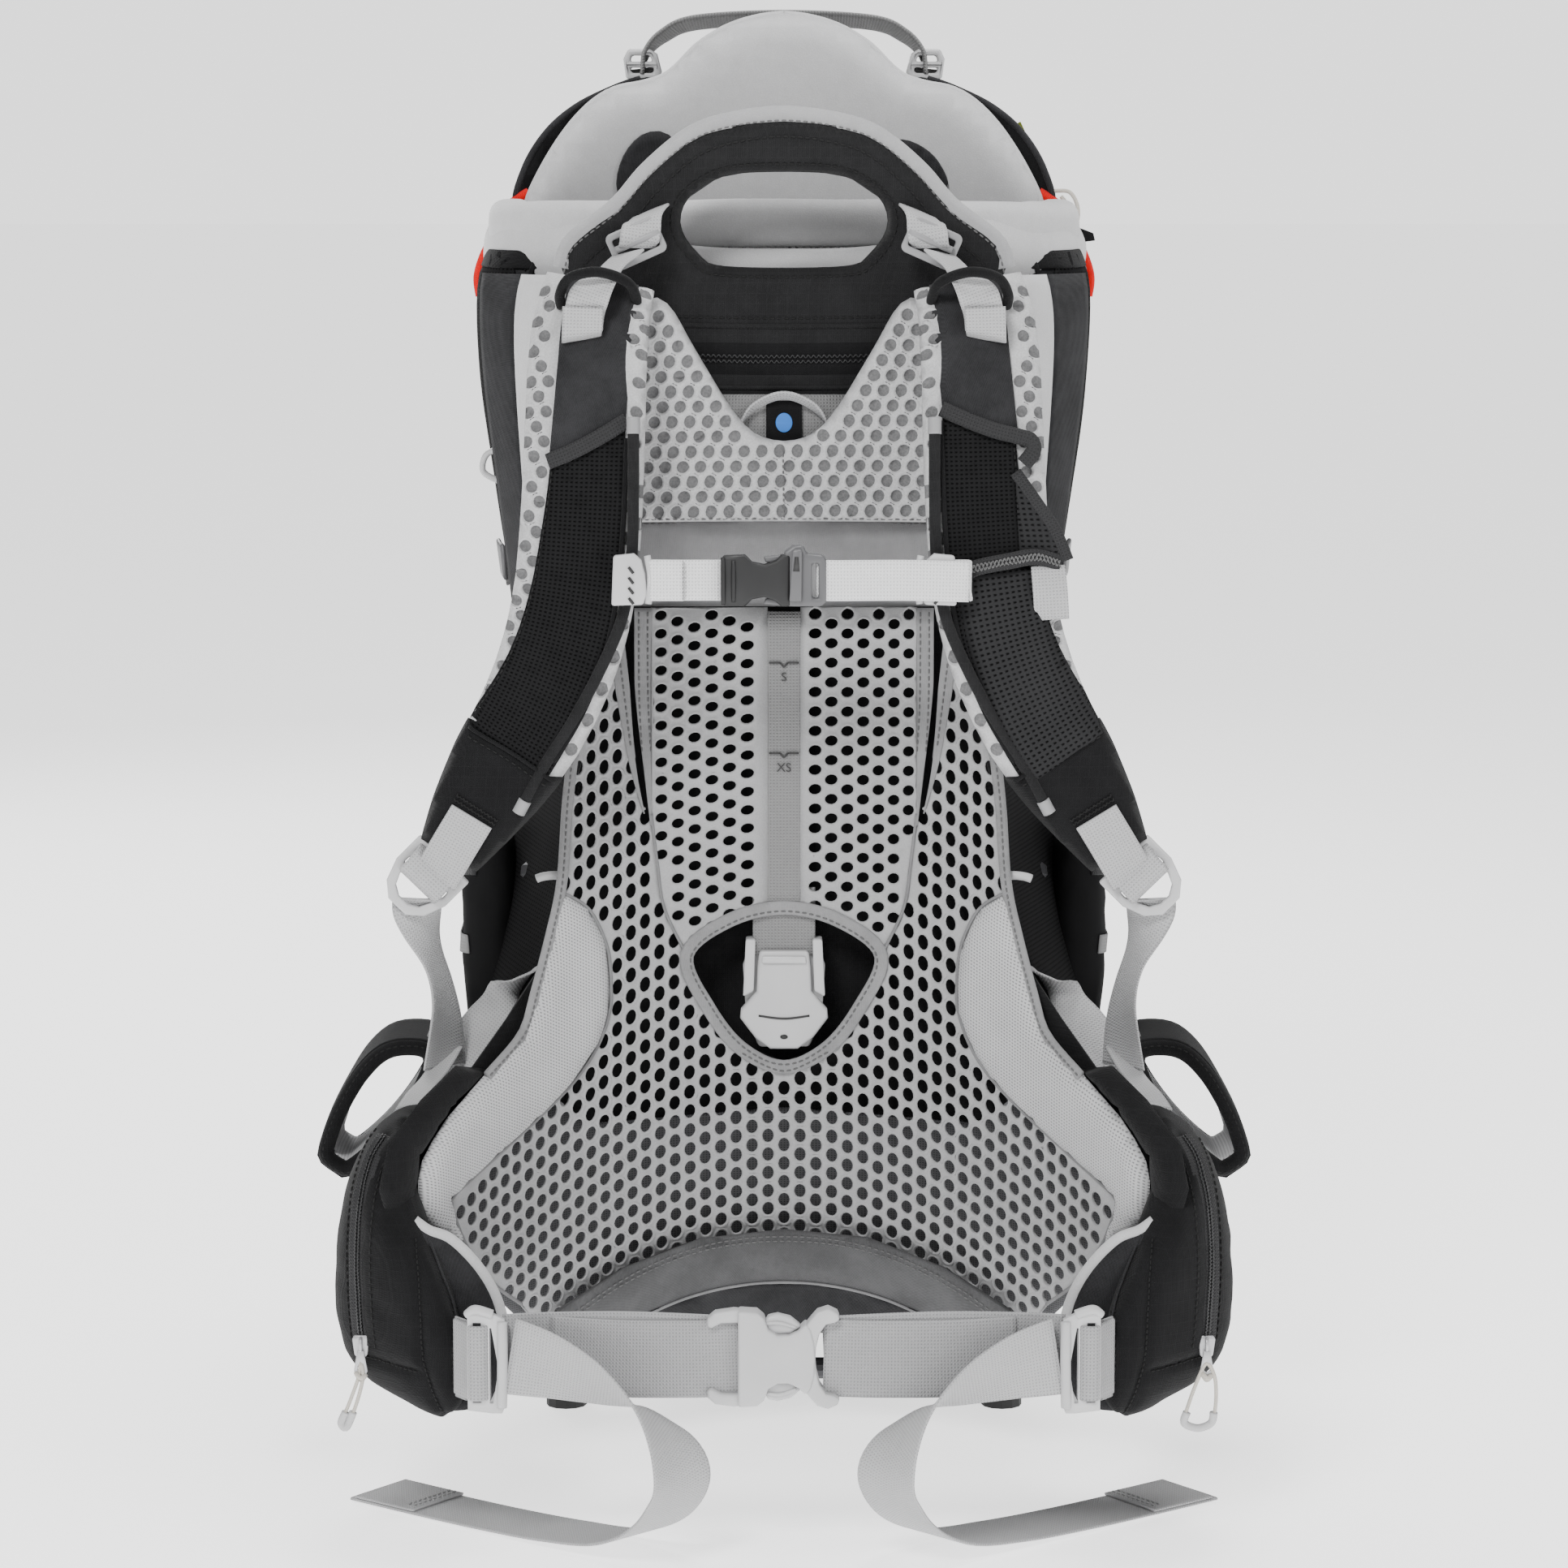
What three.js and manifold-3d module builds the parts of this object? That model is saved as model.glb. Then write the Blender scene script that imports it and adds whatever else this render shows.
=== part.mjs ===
// Framed child carrier backpack, standing on its open kickstand.
// Millimetres, +Z up, wearer at -Y, child at +Y, mirror plane x = 0, floor at z = 0.

import * as THREE from 'three';
import { mergeVertices } from 'three/addons/utils/BufferGeometryUtils.js';
import Module from 'manifold-3d';

const wasm = await Module();
wasm.setup();

// ---------------------------------------------------------------- driving sizes

const GAP = 0.5;                  // clearance between neighbouring pieces
const FRAME_TUBE_R = 7;           // main frame and kickstand tube
const HOOP_TUBE_R = 6;            // seat hoop and base bar
const MESH_THICKNESS = 3;         // suspended back mesh
const WEBBING_THICKNESS = 1.6;
const BELT_WEBBING = 38;
const SHOULDER_WEBBING = 25;
const CHEST_WEBBING = 20;

const LEG = { x: 118, y: 110 };                    // main frame leg at the floor
const BASE_BAR_Z = 20;
const KICK = { x: 150, pivotY: 200, pivotZ: 252, footY: 306, barZ: 11 };
const BELT = { y: -181, z: 105 };                  // belt webbing line in front
const CHEST = { y: -98, z: 469 };                  // chest strap line

const COLOURS = {
  black: 0x1f1f21, charcoal: 0x3a3a3d, grey: 0x77777a,
  lightGrey: 0xb4b4b6, paleGrey: 0xcfcfd0, aluminium: 0x9a9a9c, rubber: 0x1a1a1a,
};

// ---------------------------------------------------------------- helpers

const vec = (x, y, z) => new THREE.Vector3(x, y, z);
const mix = (a, b, t) => a + (b - a) * t;

// Straight-line interpolation in a table of [input, value] rows.
function lookup(table, input) {
  if (input <= table[0][0]) return table[0][1];
  for (let i = 1; i < table.length; i += 1) {
    const [x0, y0] = table[i - 1];
    const [x1, y1] = table[i];
    if (input <= x1) return mix(y0, y1, (input - x0) / (x1 - x0));
  }
  return table[table.length - 1][1];
}

// Positions only, with shared vertices merged.
function weld(geometry) {
  const flat = geometry.clone();
  for (const name of Object.keys(flat.attributes)) {
    if (name !== 'position') flat.deleteAttribute(name);
  }
  return mergeVertices(flat, 1e-4);
}

function warp(geometry, map) {
  const bent = weld(geometry);
  const position = bent.attributes.position;
  for (let i = 0; i < position.count; i += 1) {
    const p = map(position.getX(i), position.getY(i), position.getZ(i));
    position.setXYZ(i, p.x, p.y, p.z);
  }
  return bent;
}

function toSolid(geometry) {
  const flat = weld(geometry);
  return new wasm.Manifold(new wasm.Mesh({
    numProp: 3,
    vertProperties: new Float32Array(flat.attributes.position.array),
    triVerts: new Uint32Array(flat.index.array),
  }));
}

function fromSolid(solid) {
  const mesh = solid.getMesh();
  const geometry = new THREE.BufferGeometry();
  geometry.setAttribute('position', new THREE.BufferAttribute(mesh.vertProperties, 3));
  geometry.setIndex(new THREE.BufferAttribute(mesh.triVerts, 1));
  return geometry;
}

const subtract = (body, ...tools) =>
  fromSolid(tools.reduce((solid, tool) => solid.subtract(toSolid(tool)), toSolid(body)));
const join = (body, ...others) =>
  fromSolid(others.reduce((solid, other) => solid.add(toSolid(other)), toSolid(body)));

// The same piece on the other side of the mirror plane.
function mirrored(geometry) {
  const copy = weld(geometry);
  copy.scale(-1, 1, 1);
  const index = copy.index.array;
  for (let i = 0; i < index.length; i += 3) {
    [index[i], index[i + 1]] = [index[i + 1], index[i]];
  }
  return copy;
}

// A thick sheet over point(u, v); its thickness is centred on that surface.
function sheet(point, columns, rows, thickness) {
  const step = 1e-3;
  return warp(new THREE.BoxGeometry(1, 1, 1, columns, rows, 1), (bx, by, bz) => {
    const u = bx + 0.5;
    const v = by + 0.5;
    const along = point(u + step, v).sub(point(u - step, v));
    const across = point(u, v + step).sub(point(u, v - step));
    const normal = along.cross(across).normalize();
    const depth = typeof thickness === 'function' ? thickness(u, v) : thickness;
    return point(u, v).addScaledVector(normal, bz * depth);
  });
}

// Flat webbing along a smooth path; each row is the place of its middle line,
// then the direction of its width.
function webbing(rows, width, steps, thickness = WEBBING_THICKNESS) {
  const path = new THREE.CatmullRomCurve3(rows.map(([x, y, z]) => vec(x, y, z)));
  const sides = new THREE.CatmullRomCurve3(rows.map(([, , , x, y, z]) => vec(x, y, z)));
  const widthAt = typeof width === 'function' ? width : () => width;
  const point = (u, v) => {
    const t = Math.min(Math.max(u, 0), 1);
    const beyond = path.getTangent(t).multiplyScalar((u - t) * 100);
    const side = sides.getPoint(t).normalize();
    return path.getPoint(t).add(beyond).addScaledVector(side, (v - 0.5) * widthAt(t));
  };
  return sheet(point, steps, 1, thickness);
}

function tube(points, radius, steps, sides = 12) {
  const section = new THREE.Shape();
  for (let i = 0; i < sides; i += 1) {
    const angle = (i / sides) * 2 * Math.PI;
    const move = i === 0 ? 'moveTo' : 'lineTo';
    section[move](radius * Math.cos(angle), radius * Math.sin(angle));
  }
  section.closePath();
  const extrudePath = new THREE.CatmullRomCurve3(points.map((p) => vec(...p)));
  return new THREE.ExtrudeGeometry(section, { steps, bevelEnabled: false, extrudePath });
}

// Both halves of a path that is symmetric about x = 0; the last point is on it.
const bothSides = (half) =>
  [...half, ...half.slice(0, -1).reverse().map(([x, ...rest]) => [-x, ...rest])];

function outline(points) {
  const shape = new THREE.Shape();
  shape.moveTo(...points[0]);
  shape.splineThru(points.slice(1).map(([x, z]) => new THREE.Vector2(x, z)));
  shape.closePath();
  return shape;
}

function polygon(points) {
  return new THREE.Shape(points.map(([x, z]) => new THREE.Vector2(x, z)));
}

function roundedRect(width, height, radius) {
  const shape = new THREE.Shape();
  const x = width / 2 - radius;
  const z = height / 2 - radius;
  shape.absarc(x, z, radius, 0, Math.PI / 2, false);
  shape.absarc(-x, z, radius, Math.PI / 2, Math.PI, false);
  shape.absarc(-x, -z, radius, Math.PI, 1.5 * Math.PI, false);
  shape.absarc(x, -z, radius, 1.5 * Math.PI, 2 * Math.PI, false);
  shape.closePath();
  return shape;
}

// A shape drawn in x and z, made solid from y = front to y = back.
function plate(shape, front, back, bevel = 0, curveSegments = 1) {
  const geometry = new THREE.ExtrudeGeometry(shape, {
    depth: back - front - 2 * bevel,
    bevelEnabled: bevel > 0,
    bevelThickness: bevel,
    bevelSize: bevel,
    bevelOffset: -bevel,
    bevelSegments: 1,
    curveSegments,
  });
  geometry.rotateX(Math.PI / 2);
  geometry.translate(0, back - bevel, 0);
  return geometry;
}

function block(sizeX, sizeY, sizeZ, x, y, z) {
  return new THREE.BoxGeometry(sizeX, sizeY, sizeZ).translate(x, y, z);
}

// A cylinder along X between two x values.
function axleX(radius, x0, x1, y, z, sides = 12) {
  const cylinder = new THREE.CylinderGeometry(radius, radius, Math.abs(x1 - x0), sides);
  return cylinder.rotateZ(Math.PI / 2).translate((x0 + x1) / 2, y, z);
}

// A closed body whose level sections are rounded boxes; rows are
// [z, halfWidth, yFront, yBack], and power sets how square the corners are.
function tower(rows, power, sides = 20) {
  const levels = rows.length - 1;
  const cylinder = new THREE.CylinderGeometry(1, 1, levels, sides, levels);
  return warp(cylinder, (cx, cy, cz) => {
    const [z, halfWidth, yFront, yBack] = rows[Math.round(cy + levels / 2)];
    const radius = Math.hypot(cx, cz);
    const angle = Math.atan2(-cz, cx);
    const squash = (value) => Math.sign(value) * Math.abs(value) ** power;
    const x = radius * halfWidth * squash(Math.cos(angle));
    const y = (yFront + yBack) / 2 + (radius * (yBack - yFront) / 2) * squash(Math.sin(angle));
    return vec(x, y, z);
  });
}

const model = new THREE.Group();

function add(name, geometry, colour, roughness = 0.85, metalness = 0) {
  const material = new THREE.MeshStandardMaterial({
    color: COLOURS[colour], roughness, metalness,
  });
  const welded = weld(geometry);
  welded.computeVertexNormals();
  const mesh = new THREE.Mesh(welded, material);
  mesh.name = name;
  model.add(mesh);
}

// Adds NAME_L as built (at negative x) and its mirror image as NAME_R.
function addPair(name, geometry, ...look) {
  add(`${name}_L`, geometry, ...look);
  add(`${name}_R`, mirrored(geometry), ...look);
}

// ---------------------------------------------------------------- frame tubes

function mainFrameTube() {
  const half = [
    [-LEG.x, LEG.y, 6], [-LEG.x, LEG.y - 1, 36], [-LEG.x, 88, 130], [-114, 54, 230],
    [-108, 34, 330], [-103, 26, 430], [-101, 20, 540], [-99, 18, 592], [-87, 17, 624],
    [-64, 16, 650], [-34, 15, 669], [0, 15, 675],
  ];
  return tube(bothSides(half), FRAME_TUBE_R, 40, 8);
}

function baseFoot() {
  const height = 34;
  const socketFloor = 5.4;
  const boot = new THREE.CylinderGeometry(10.5, 11, height, 12).rotateX(Math.PI / 2);
  boot.translate(-LEG.x, LEG.y, height / 2);
  const socket = new THREE.CylinderGeometry(8.6, 8.6, height, 12).rotateX(Math.PI / 2);
  socket.translate(-LEG.x, LEG.y, height / 2 + socketFloor);
  return subtract(boot, socket);
}

function baseBar() {
  const end = LEG.x - 11 - GAP;
  return axleX(HOOP_TUBE_R, -end, end, LEG.y, BASE_BAR_Z, 12);
}

function seatHoop() {
  const half = [
    [-117.8, 41, 306], [-127, 43, 305], [-133, 62, 300], [-133, 130, 285], [-134, 200, 272],
    [-130, 252, 266], [-108, 286, 263], [-60, 298, 262], [0, 300, 262],
  ];
  return tube(bothSides(half), HOOP_TUBE_R, 30, 8);
}

// ---------------------------------------------------------------- kickstand

function kickstandTube() {
  const bossR = 11;
  const { x, pivotY, pivotZ, footY, barZ } = KICK;
  const half = [
    [-x, pivotY, pivotZ], [-x, mix(pivotY, footY, 0.5), mix(pivotZ, barZ, 0.5)],
    [-x, mix(pivotY, footY, 0.82), mix(pivotZ, barZ, 0.82)], [-x + 6, footY - 6, barZ + 13],
    [-x + 24, footY, barZ], [-100, footY, barZ], [-50, footY, barZ], [0, footY, barZ],
  ];
  const bosses = [-1, 1].map((side) =>
    axleX(bossR, side * (x - 7), side * (x + 7), pivotY, pivotZ));
  const holes = [-1, 1].map((side) =>
    axleX(4.4, side * (x - 12), side * (x + 12), pivotY, pivotZ));
  return subtract(join(tube(bothSides(half), FRAME_TUBE_R, 32, 8), ...bosses), ...holes);
}

// Plastic lug under the seat hoop, with the pin that the leg turns on.
function kickstandBracket() {
  const { x, pivotY, pivotZ } = KICK;
  const faceX = -(x - 7 - GAP);
  const capX = -(x + 7 + GAP);
  const lug = block(15, 26, 22, faceX + 7.5, pivotY, pivotZ);
  const pin = axleX(4, faceX + 2, capX - 1, pivotY, pivotZ);
  const cap = axleX(9, capX, capX - 3, pivotY, pivotZ);
  return join(lug, pin, cap);
}

function kickstandFoot() {
  const footX = -62;
  const pad = block(40, 24, 12, footX, KICK.footY, 6);
  const channel = axleX(FRAME_TUBE_R + 2 * GAP, footX - 30, footX + 30, KICK.footY, KICK.barZ);
  return subtract(pad, channel);
}

// ---------------------------------------------------------------- back panel

// Depth of the back panel at its middle line, by height.
const PANEL_DEPTH = [
  [60, 48], [85, 34], [120, 16], [160, 0], [220, -12], [300, -8], [400, -2], [450, 0],
];
// How strongly the panel wraps forwards, as x squared over this length, by height.
const PANEL_WRAP = [
  [160, 230], [220, 240], [260, 300], [300, 450], [360, 800], [450, 1500],
];
const PANEL_HALF_WIDTH = [
  [62, 110], [89, 120], [99, 134], [116, 149], [138, 160], [157, 173], [165, 177],
  [180, 177], [190, 174], [199, 169], [208, 163], [220, 151], [231, 137], [249, 127],
  [274, 120], [305, 113], [360, 109], [405, 97], [425, 88], [445, 77],
];
const panelY = (x, z) => lookup(PANEL_DEPTH, z) - (x * x) / lookup(PANEL_WRAP, z);

const WINDOW = [
  [-50, 270], [-28, 287], [0, 293], [28, 287], [50, 270], [39, 243], [22, 221],
  [0, 211], [-22, 221], [-39, 243],
];

function backPanel() {
  const [bottom, top] = [62, 445];
  const heights = PANEL_HALF_WIDTH.map(([z]) => z);
  const rows = heights.length - 1;
  const point = (u, v) => {
    const place = Math.min(Math.max(v, 0), 1) * rows;
    const row = Math.min(Math.floor(place), rows - 1);
    const z = v < 0 ? bottom + v * 100 : v > 1 ? top + (v - 1) * 100
      : mix(heights[row], heights[row + 1], place - row);
    const x = (2 * u - 1) * lookup(PANEL_HALF_WIDTH, z);
    return vec(x, panelY(x, z) + MESH_THICKNESS / 2, z);
  };
  const panel = sheet(point, 10, rows, MESH_THICKNESS);
  return subtract(panel, plate(polygon(WINDOW), -60, 60));
}

function sizeStrip() {
  const point = (u, v) => {
    const z = mix(296, 444, v);
    return vec(mix(-8.5, 8.5, u), panelY(0, z) - GAP - 0.6, z);
  };
  return sheet(point, 1, 6, 1.2);
}

function lumbarBand() {
  const point = (u, v) => {
    const x = mix(-108, 108, u);
    const z = mix(58, 119 - (x * x) / 400, v);
    return vec(x, panelY(x, z) - 7.5 - Math.abs(x) * 0.02, z);
  };
  return sheet(point, 14, 4, 6);
}

// Stiffened grab panel with its hand hole, over the top of the frame arch.
function handlePanel() {
  const side = [
    [0, 691], [27, 688], [47, 681], [68, 664], [84, 646], [109, 627], [117, 617],
    [106, 602], [88, 576], [78, 545], [76, 500],
  ];
  const points = [...side, ...side.slice(1).reverse().map(([x, z]) => [-x, z])];
  const shape = polygon(points);
  const hole = roundedRect(106, 49, 24).getPoints(2);
  shape.holes.push(new THREE.Path(hole.map((p) => new THREE.Vector2(p.x, p.y + 640))));
  return plate(shape, -4, 6, 1);
}

// Lock for the back length, behind the window, and its release lever.
function torsoLockBody() {
  const y = -8;
  const frame = plate(roundedRect(44, 58, 7), y, y + 12, 1.5);
  frame.translate(0, 0, 246);
  const recess = block(30, 8, 40, 0, y + 1, 250);
  return subtract(frame, recess);
}

function torsoLockLever() {
  const lever = plate(roundedRect(28, 37, 4), -11, -4.5, 1.2);
  return lever.translate(0, 0, 250);
}

// ---------------------------------------------------------------- child side

const COCKPIT = [
  [276, 112, 64, 226], [300, 122, 62, 238], [360, 128, 60, 250], [430, 134, 58, 256],
  [500, 148, 56, 254], [560, 158, 54, 246], [606, 160, 54, 240], [620, 156, 56, 240],
];

function cockpitShell() {
  const wall = 8;
  const outer = tower(COCKPIT, 0.6);
  const inside = COCKPIT.map(([z, halfWidth, yFront, yBack], row) =>
    [row === 0 ? z + wall : z + (row === COCKPIT.length - 1 ? 20 : 0),
      halfWidth - wall, yFront + wall, yBack - wall]);
  const legHoles = [-1, 1].map((side) => {
    const hole = new THREE.CylinderGeometry(44, 44, 60, 12).rotateZ(Math.PI / 2);
    return hole.scale(1, 0.8, 1).translate(side * 136, 118, 350);
  });
  return subtract(outer, tower(inside, 0.6), ...legHoles);
}

// Padded back rest whose domed top stands above the cockpit.
function headrestPad() {
  const halfWidth = [
    [440, 108], [560, 112], [612, 132], [640, 138], [663, 131], [685, 117], [703, 99],
    [712, 74], [724, 54], [738, 36], [745, 14],
  ];
  const heights = halfWidth.map(([z]) => z);
  const rows = heights.length - 1;
  const point = (u, v) => {
    const place = Math.min(Math.max(v, 0), 1) * rows;
    const row = Math.min(Math.floor(place), rows - 1);
    const z = mix(heights[row], heights[row + 1], place - row);
    const x = (2 * u - 1) * lookup(halfWidth, z);
    const y = lookup([[440, 232], [600, 222], [660, 210], [745, 206]], z) - (x * x) / 480;
    return vec(x, y, z);
  };
  const thickness = (u, v) => 8 + 10 * Math.sqrt(Math.max(0, 1 - (2 * u - 1) ** 4)) * (1 - v ** 6);
  return warp(new THREE.BoxGeometry(1, 1, 1, 12, rows, 1), (bx, by, bz) => {
    const [u, v] = [bx + 0.5, by + 0.5];
    return point(u, v).add(vec(0, -bz * thickness(u, v), 0));
  });
}

function frontRoll() {
  const half = [
    [-145, 150, 637], [-140, 112, 638], [-114, 78, 642], [-60, 66, 645], [0, 62, 646],
  ];
  return tube(bothSides(half), 14, 20, 8);
}

function seatPad() {
  return tower([
    [285, 92, 84, 206], [292, 98, 80, 212], [318, 98, 80, 212], [328, 88, 90, 202],
  ], 0.6, 24);
}

// Child's chest harness: a yoke of two shoulder straps with a chest plate.
function childHarness() {
  const y = 190;
  const shape = polygon([
    [-16, 430], [16, 430], [24, 470], [46, 560], [52, 600], [36, 600], [28, 566],
    [8, 500], [-8, 500], [-28, 566], [-36, 600], [-52, 600], [-46, 560], [-24, 470],
  ]);
  return plate(shape, y - 10, y - 2, 1);
}

function storageCompartment() {
  return tower([
    [44, 84, 84, 256], [56, 98, 74, 272], [120, 104, 68, 284], [200, 104, 66, 286],
    [240, 100, 70, 280], [252, 88, 84, 262],
  ], 0.55);
}

function sunshadePocket() {
  return tower([
    [556, 100, 258, 280], [580, 116, 252, 292], [630, 126, 245, 296],
    [680, 112, 242, 282], [704, 84, 242, 262],
  ], 0.7);
}

function sidePocket() {
  const pocket = plate(roundedRect(98, 116, 22), 0, 28, 8).rotateZ(Math.PI / 2);
  return warp(pocket, (x, y, z) => vec(x - 141 - 4 * (z / 58), y + 102, z + 264));
}

function rearGrabHandle() {
  const half = [
    [-79, 254, 712, 0, 1, -0.2], [-77, 253, 728, 0, 1, -0.3], [-62, 251, 739, 0, 1, -0.4],
    [-30, 250, 745, 0, 1, -0.4], [0, 250, 746, 0, 1, -0.4],
  ];
  const rows = [...half, ...half.slice(0, -1).reverse().map(([x, ...rest]) => [-x, ...rest])];
  return webbing(rows, 20, 24, 3);
}

// Padded loop that a foot rests in; the foot points along Y.
function footStirrup() {
  const outer = [
    [-177, 212], [-203, 214], [-222, 202], [-236, 180], [-242, 160], [-237, 148],
    [-222, 146], [-200, 164], [-182, 190],
  ];
  const inner = [
    [-186, 204], [-202, 207], [-217, 196], [-229, 177], [-235, 160], [-231, 155],
    [-223, 153], [-205, 170], [-189, 194],
  ];
  const shape = outline(outer);
  shape.holes.push(outline(inner));
  return plate(shape, 22, 78, 1, 2);
}

// ---------------------------------------------------------------- hip belt

// Plan curve of the hip wing at its top and at its bottom, back to front.
const WING_TOP_Z = 200;
const WING_BOTTOM_Z = 60;
const WING_TOP = new THREE.CatmullRomCurve3([
  [-131, -53], [-161, -86], [-182, -114], [-191, -134], [-188, -150], [-178, -160],
].map(([x, y]) => vec(x, y, WING_TOP_Z)));
const WING_BOTTOM = new THREE.CatmullRomCurve3([
  [-129, 10], [-161, -31], [-182, -67], [-191, -103], [-186, -136], [-160, -160],
].map(([x, y]) => vec(x, y, WING_BOTTOM_Z)));

function wingPoint(s, z) {
  const t = Math.min(Math.max(s, 0), 1);
  const height = (z - WING_BOTTOM_Z) / (WING_TOP_Z - WING_BOTTOM_Z);
  const at = (curve) => curve.getPoint(t).add(curve.getTangent(t).multiplyScalar((s - t) * 100));
  const p = at(WING_BOTTOM).lerp(at(WING_TOP), height);
  return vec(p.x, p.y, z);
}

// Unit vector pointing out of the wing, level with the floor.
function wingOutward(s, z) {
  const along = wingPoint(s + 1e-3, z).sub(wingPoint(s - 1e-3, z));
  return vec(along.y, -along.x, 0).normalize();
}

const WING_UPPER_EDGE = [[0, 218], [0.25, 208], [0.5, 199], [0.75, 176], [0.9, 160], [1, 148]];
const WING_LOWER_EDGE = [[0, 74], [0.25, 66], [0.6, 60], [1, 58]];

function wingLayer(inner, outer, fromS, toS, columns, rows) {
  return warp(new THREE.BoxGeometry(1, 1, 1, columns, rows, 1), (bx, by, bz) => {
    const s = mix(fromS, toS, bx + 0.5);
    const v = by + 0.5;
    const z = mix(lookup(WING_LOWER_EDGE, s), lookup(WING_UPPER_EDGE, s), v);
    const reach = bz > 0 ? outer(s, v) : inner(s, v);
    return wingPoint(s, z).addScaledVector(wingOutward(s, z), reach);
  });
}

const PAD_HALF = 4.5;

function hipPad() {
  return wingLayer(() => -PAD_HALF, () => PAD_HALF, 0, 1, 10, 4);
}

function hipPocket() {
  const bulge = (s, v) => {
    const across = 1 - Math.abs(2 * v - 1) ** 3;
    const length = 1 - Math.abs(2 * (s - 0.22) / 0.78 - 1) ** 4;
    return 4 + 22 * Math.sqrt(Math.max(across * length, 0));
  };
  const base = PAD_HALF + 3 * GAP;
  return wingLayer(() => base, (s, v) => base + bulge(s, v), 0.22, 1, 10, 6);
}

function zipSlider() {
  const body = block(5, 4, 12, -225, -143, 101);
  const pull = block(2.4, 2.4, 26, -225, -143, 84);
  return join(body, pull);
}

function beltAdjuster() {
  const frame = plate(roundedRect(19, 50, 3), BELT.y + 3, BELT.y + 7.5, 0.8);
  const slot = block(4, 20, BELT_WEBBING + 1.5, 0, BELT.y, 0);
  const [near, far] = [slot.clone().translate(-5, 0, 0), slot.translate(5, 0, 0)];
  return subtract(frame, near, far).translate(-142, 0, BELT.z - 5);
}

function beltWebbing() {
  const y = BELT.y + 0.5;
  const rows = [
    [-133.5, y, BELT.z, 0, 0, 1], [-85, y, BELT.z, 0, 0, 1], [-36.5, y, BELT.z, 0, 0, 1],
  ];
  return webbing(rows, BELT_WEBBING, 6);
}

// Free end of the belt webbing: out of the adjuster, round in a loop, and back
// along the floor to a folded end.
function beltTail() {
  const rows = [
    [-131, -187, 105, 0, 0, 1], [-110, -192, 101, 0, -0.35, 0.93],
    [-89, -198, 94, -0.1, -0.65, 0.75], [-68, -203, 82, -0.25, -0.9, 0.35],
    [-54, -204, 62, -0.55, -0.8, 0.2], [-50, -196, 42, -0.66, -0.74, 0.1],
    [-60, -179, 21, -0.68, -0.72, 0.05], [-80, -161, 8, -0.62, -0.78, 0.03],
    [-108, -139, 4, -0.56, -0.83, 0], [-140, -114, 2.4, -0.54, -0.84, 0],
    [-175, -87, 2, -0.55, -0.83, 0], [-207, -62, 2, -0.55, -0.83, 0],
  ];
  return webbing(rows, BELT_WEBBING, 32);
}

// Side-release buckle: a socket half with a mouth, and a pronged half inside it.
function buckleSocket({ x, y, z, width, height, depth }) {
  const body = plate(roundedRect(width, height, 6), y - depth / 2, y + depth / 2, 1.5);
  body.translate(x, 0, z);
  const mouth = block(width, depth - 5, height - 12, x + 6, y, z);
  const windows = [-1, 1].map((side) =>
    block(width * 0.45, depth - 4, 12, x + width * 0.1, y, z + side * height / 2));
  return subtract(body, mouth, ...windows);
}

function bucklePlug({ x, y, z, width, height, depth, reach }) {
  const base = plate(roundedRect(width, height, 4), y - depth / 2, y + depth / 2, 1.2);
  base.translate(x, 0, z);
  const spread = (height - 19) / 2;
  const prongs = [-1, 0, 1].map((place) =>
    block(reach + 4, depth - 6.5, 6, x - width / 2 - reach / 2 + 2, y, z + place * spread));
  const slot = block(4, depth + 4, height - 10, x + width / 4, y, z);
  return subtract(join(base, ...prongs), slot);
}

const BELT_SOCKET = {
  x: -17.5, y: BELT.y - 1, z: BELT.z - 1, width: 36, height: 48, depth: 13,
};
const BELT_PLUG = {
  x: 13, y: BELT.y - 1, z: BELT.z - 1, width: 24, height: 46, depth: 12, reach: 20,
};

// ---------------------------------------------------------------- harness

// Yoke surface in front of the back panel; it slides up and down over it.
const yokeY = (x) => -8 - (x * x) / 700;

function yokePanel() {
  const point = (u, v) => {
    const x = mix(-76, 76, u);
    return vec(x, yokeY(x), mix(448, 490, v));
  };
  return sheet(point, 8, 1, 3);
}

function yokePad() {
  const side = [[0, 530], [16, 534], [28, 549], [47, 581], [58, 601], [62, 606], [70, 598]];
  const lower = [[80, 580], [80, 491.5]];
  const right = [...side, ...lower];
  const shape = polygon([...right, ...right.slice(1).reverse().map(([x, z]) => [-x, z])]);
  return warp(plate(shape, -24, -12, 1.5), (x, y, z) => vec(x, y - (x * x) / 900, z));
}

// Middle line of the left shoulder strap: place, then width direction.
const STRAP = [
  [-91, -30, 611, 1, 0, 0], [-95, -42, 594, 1, -0.05, 0], [-97, -56, 568, 1, -0.1, 0],
  [-98, -68, 532, 1, -0.1, -0.02], [-99.5, -75, 496, 1, -0.08, -0.05],
  [-103, -79, 460, 1, -0.05, -0.18], [-111, -80, 428, 0.95, 0, -0.35],
  [-124, -79, 398, 0.86, 0, -0.55], [-140, -76, 372, 0.78, 0, -0.66],
  [-154, -73, 350, 0.74, 0, -0.7], [-166, -71, 330, 0.73, 0, -0.72],
];
const STRAP_WIDTH = [[0, 54], [0.12, 58], [0.5, 59], [0.65, 57], [0.82, 52], [0.92, 42], [1, 30]];

function shoulderStrap() {
  const strap = webbing(STRAP, (t) => lookup(STRAP_WIDTH, t), 16, 13);
  const rail = tube([
    [-73.5, -80, 545], [-73.5, -84, 510], [-74.5, -87, 478], [-79, -88, 450],
    [-90, -88, 424], [-104, -86, 398], [-118, -84, 376], [-128, -82, 358],
  ], 4, 14, 6);
  return join(strap, rail);
}

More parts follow.
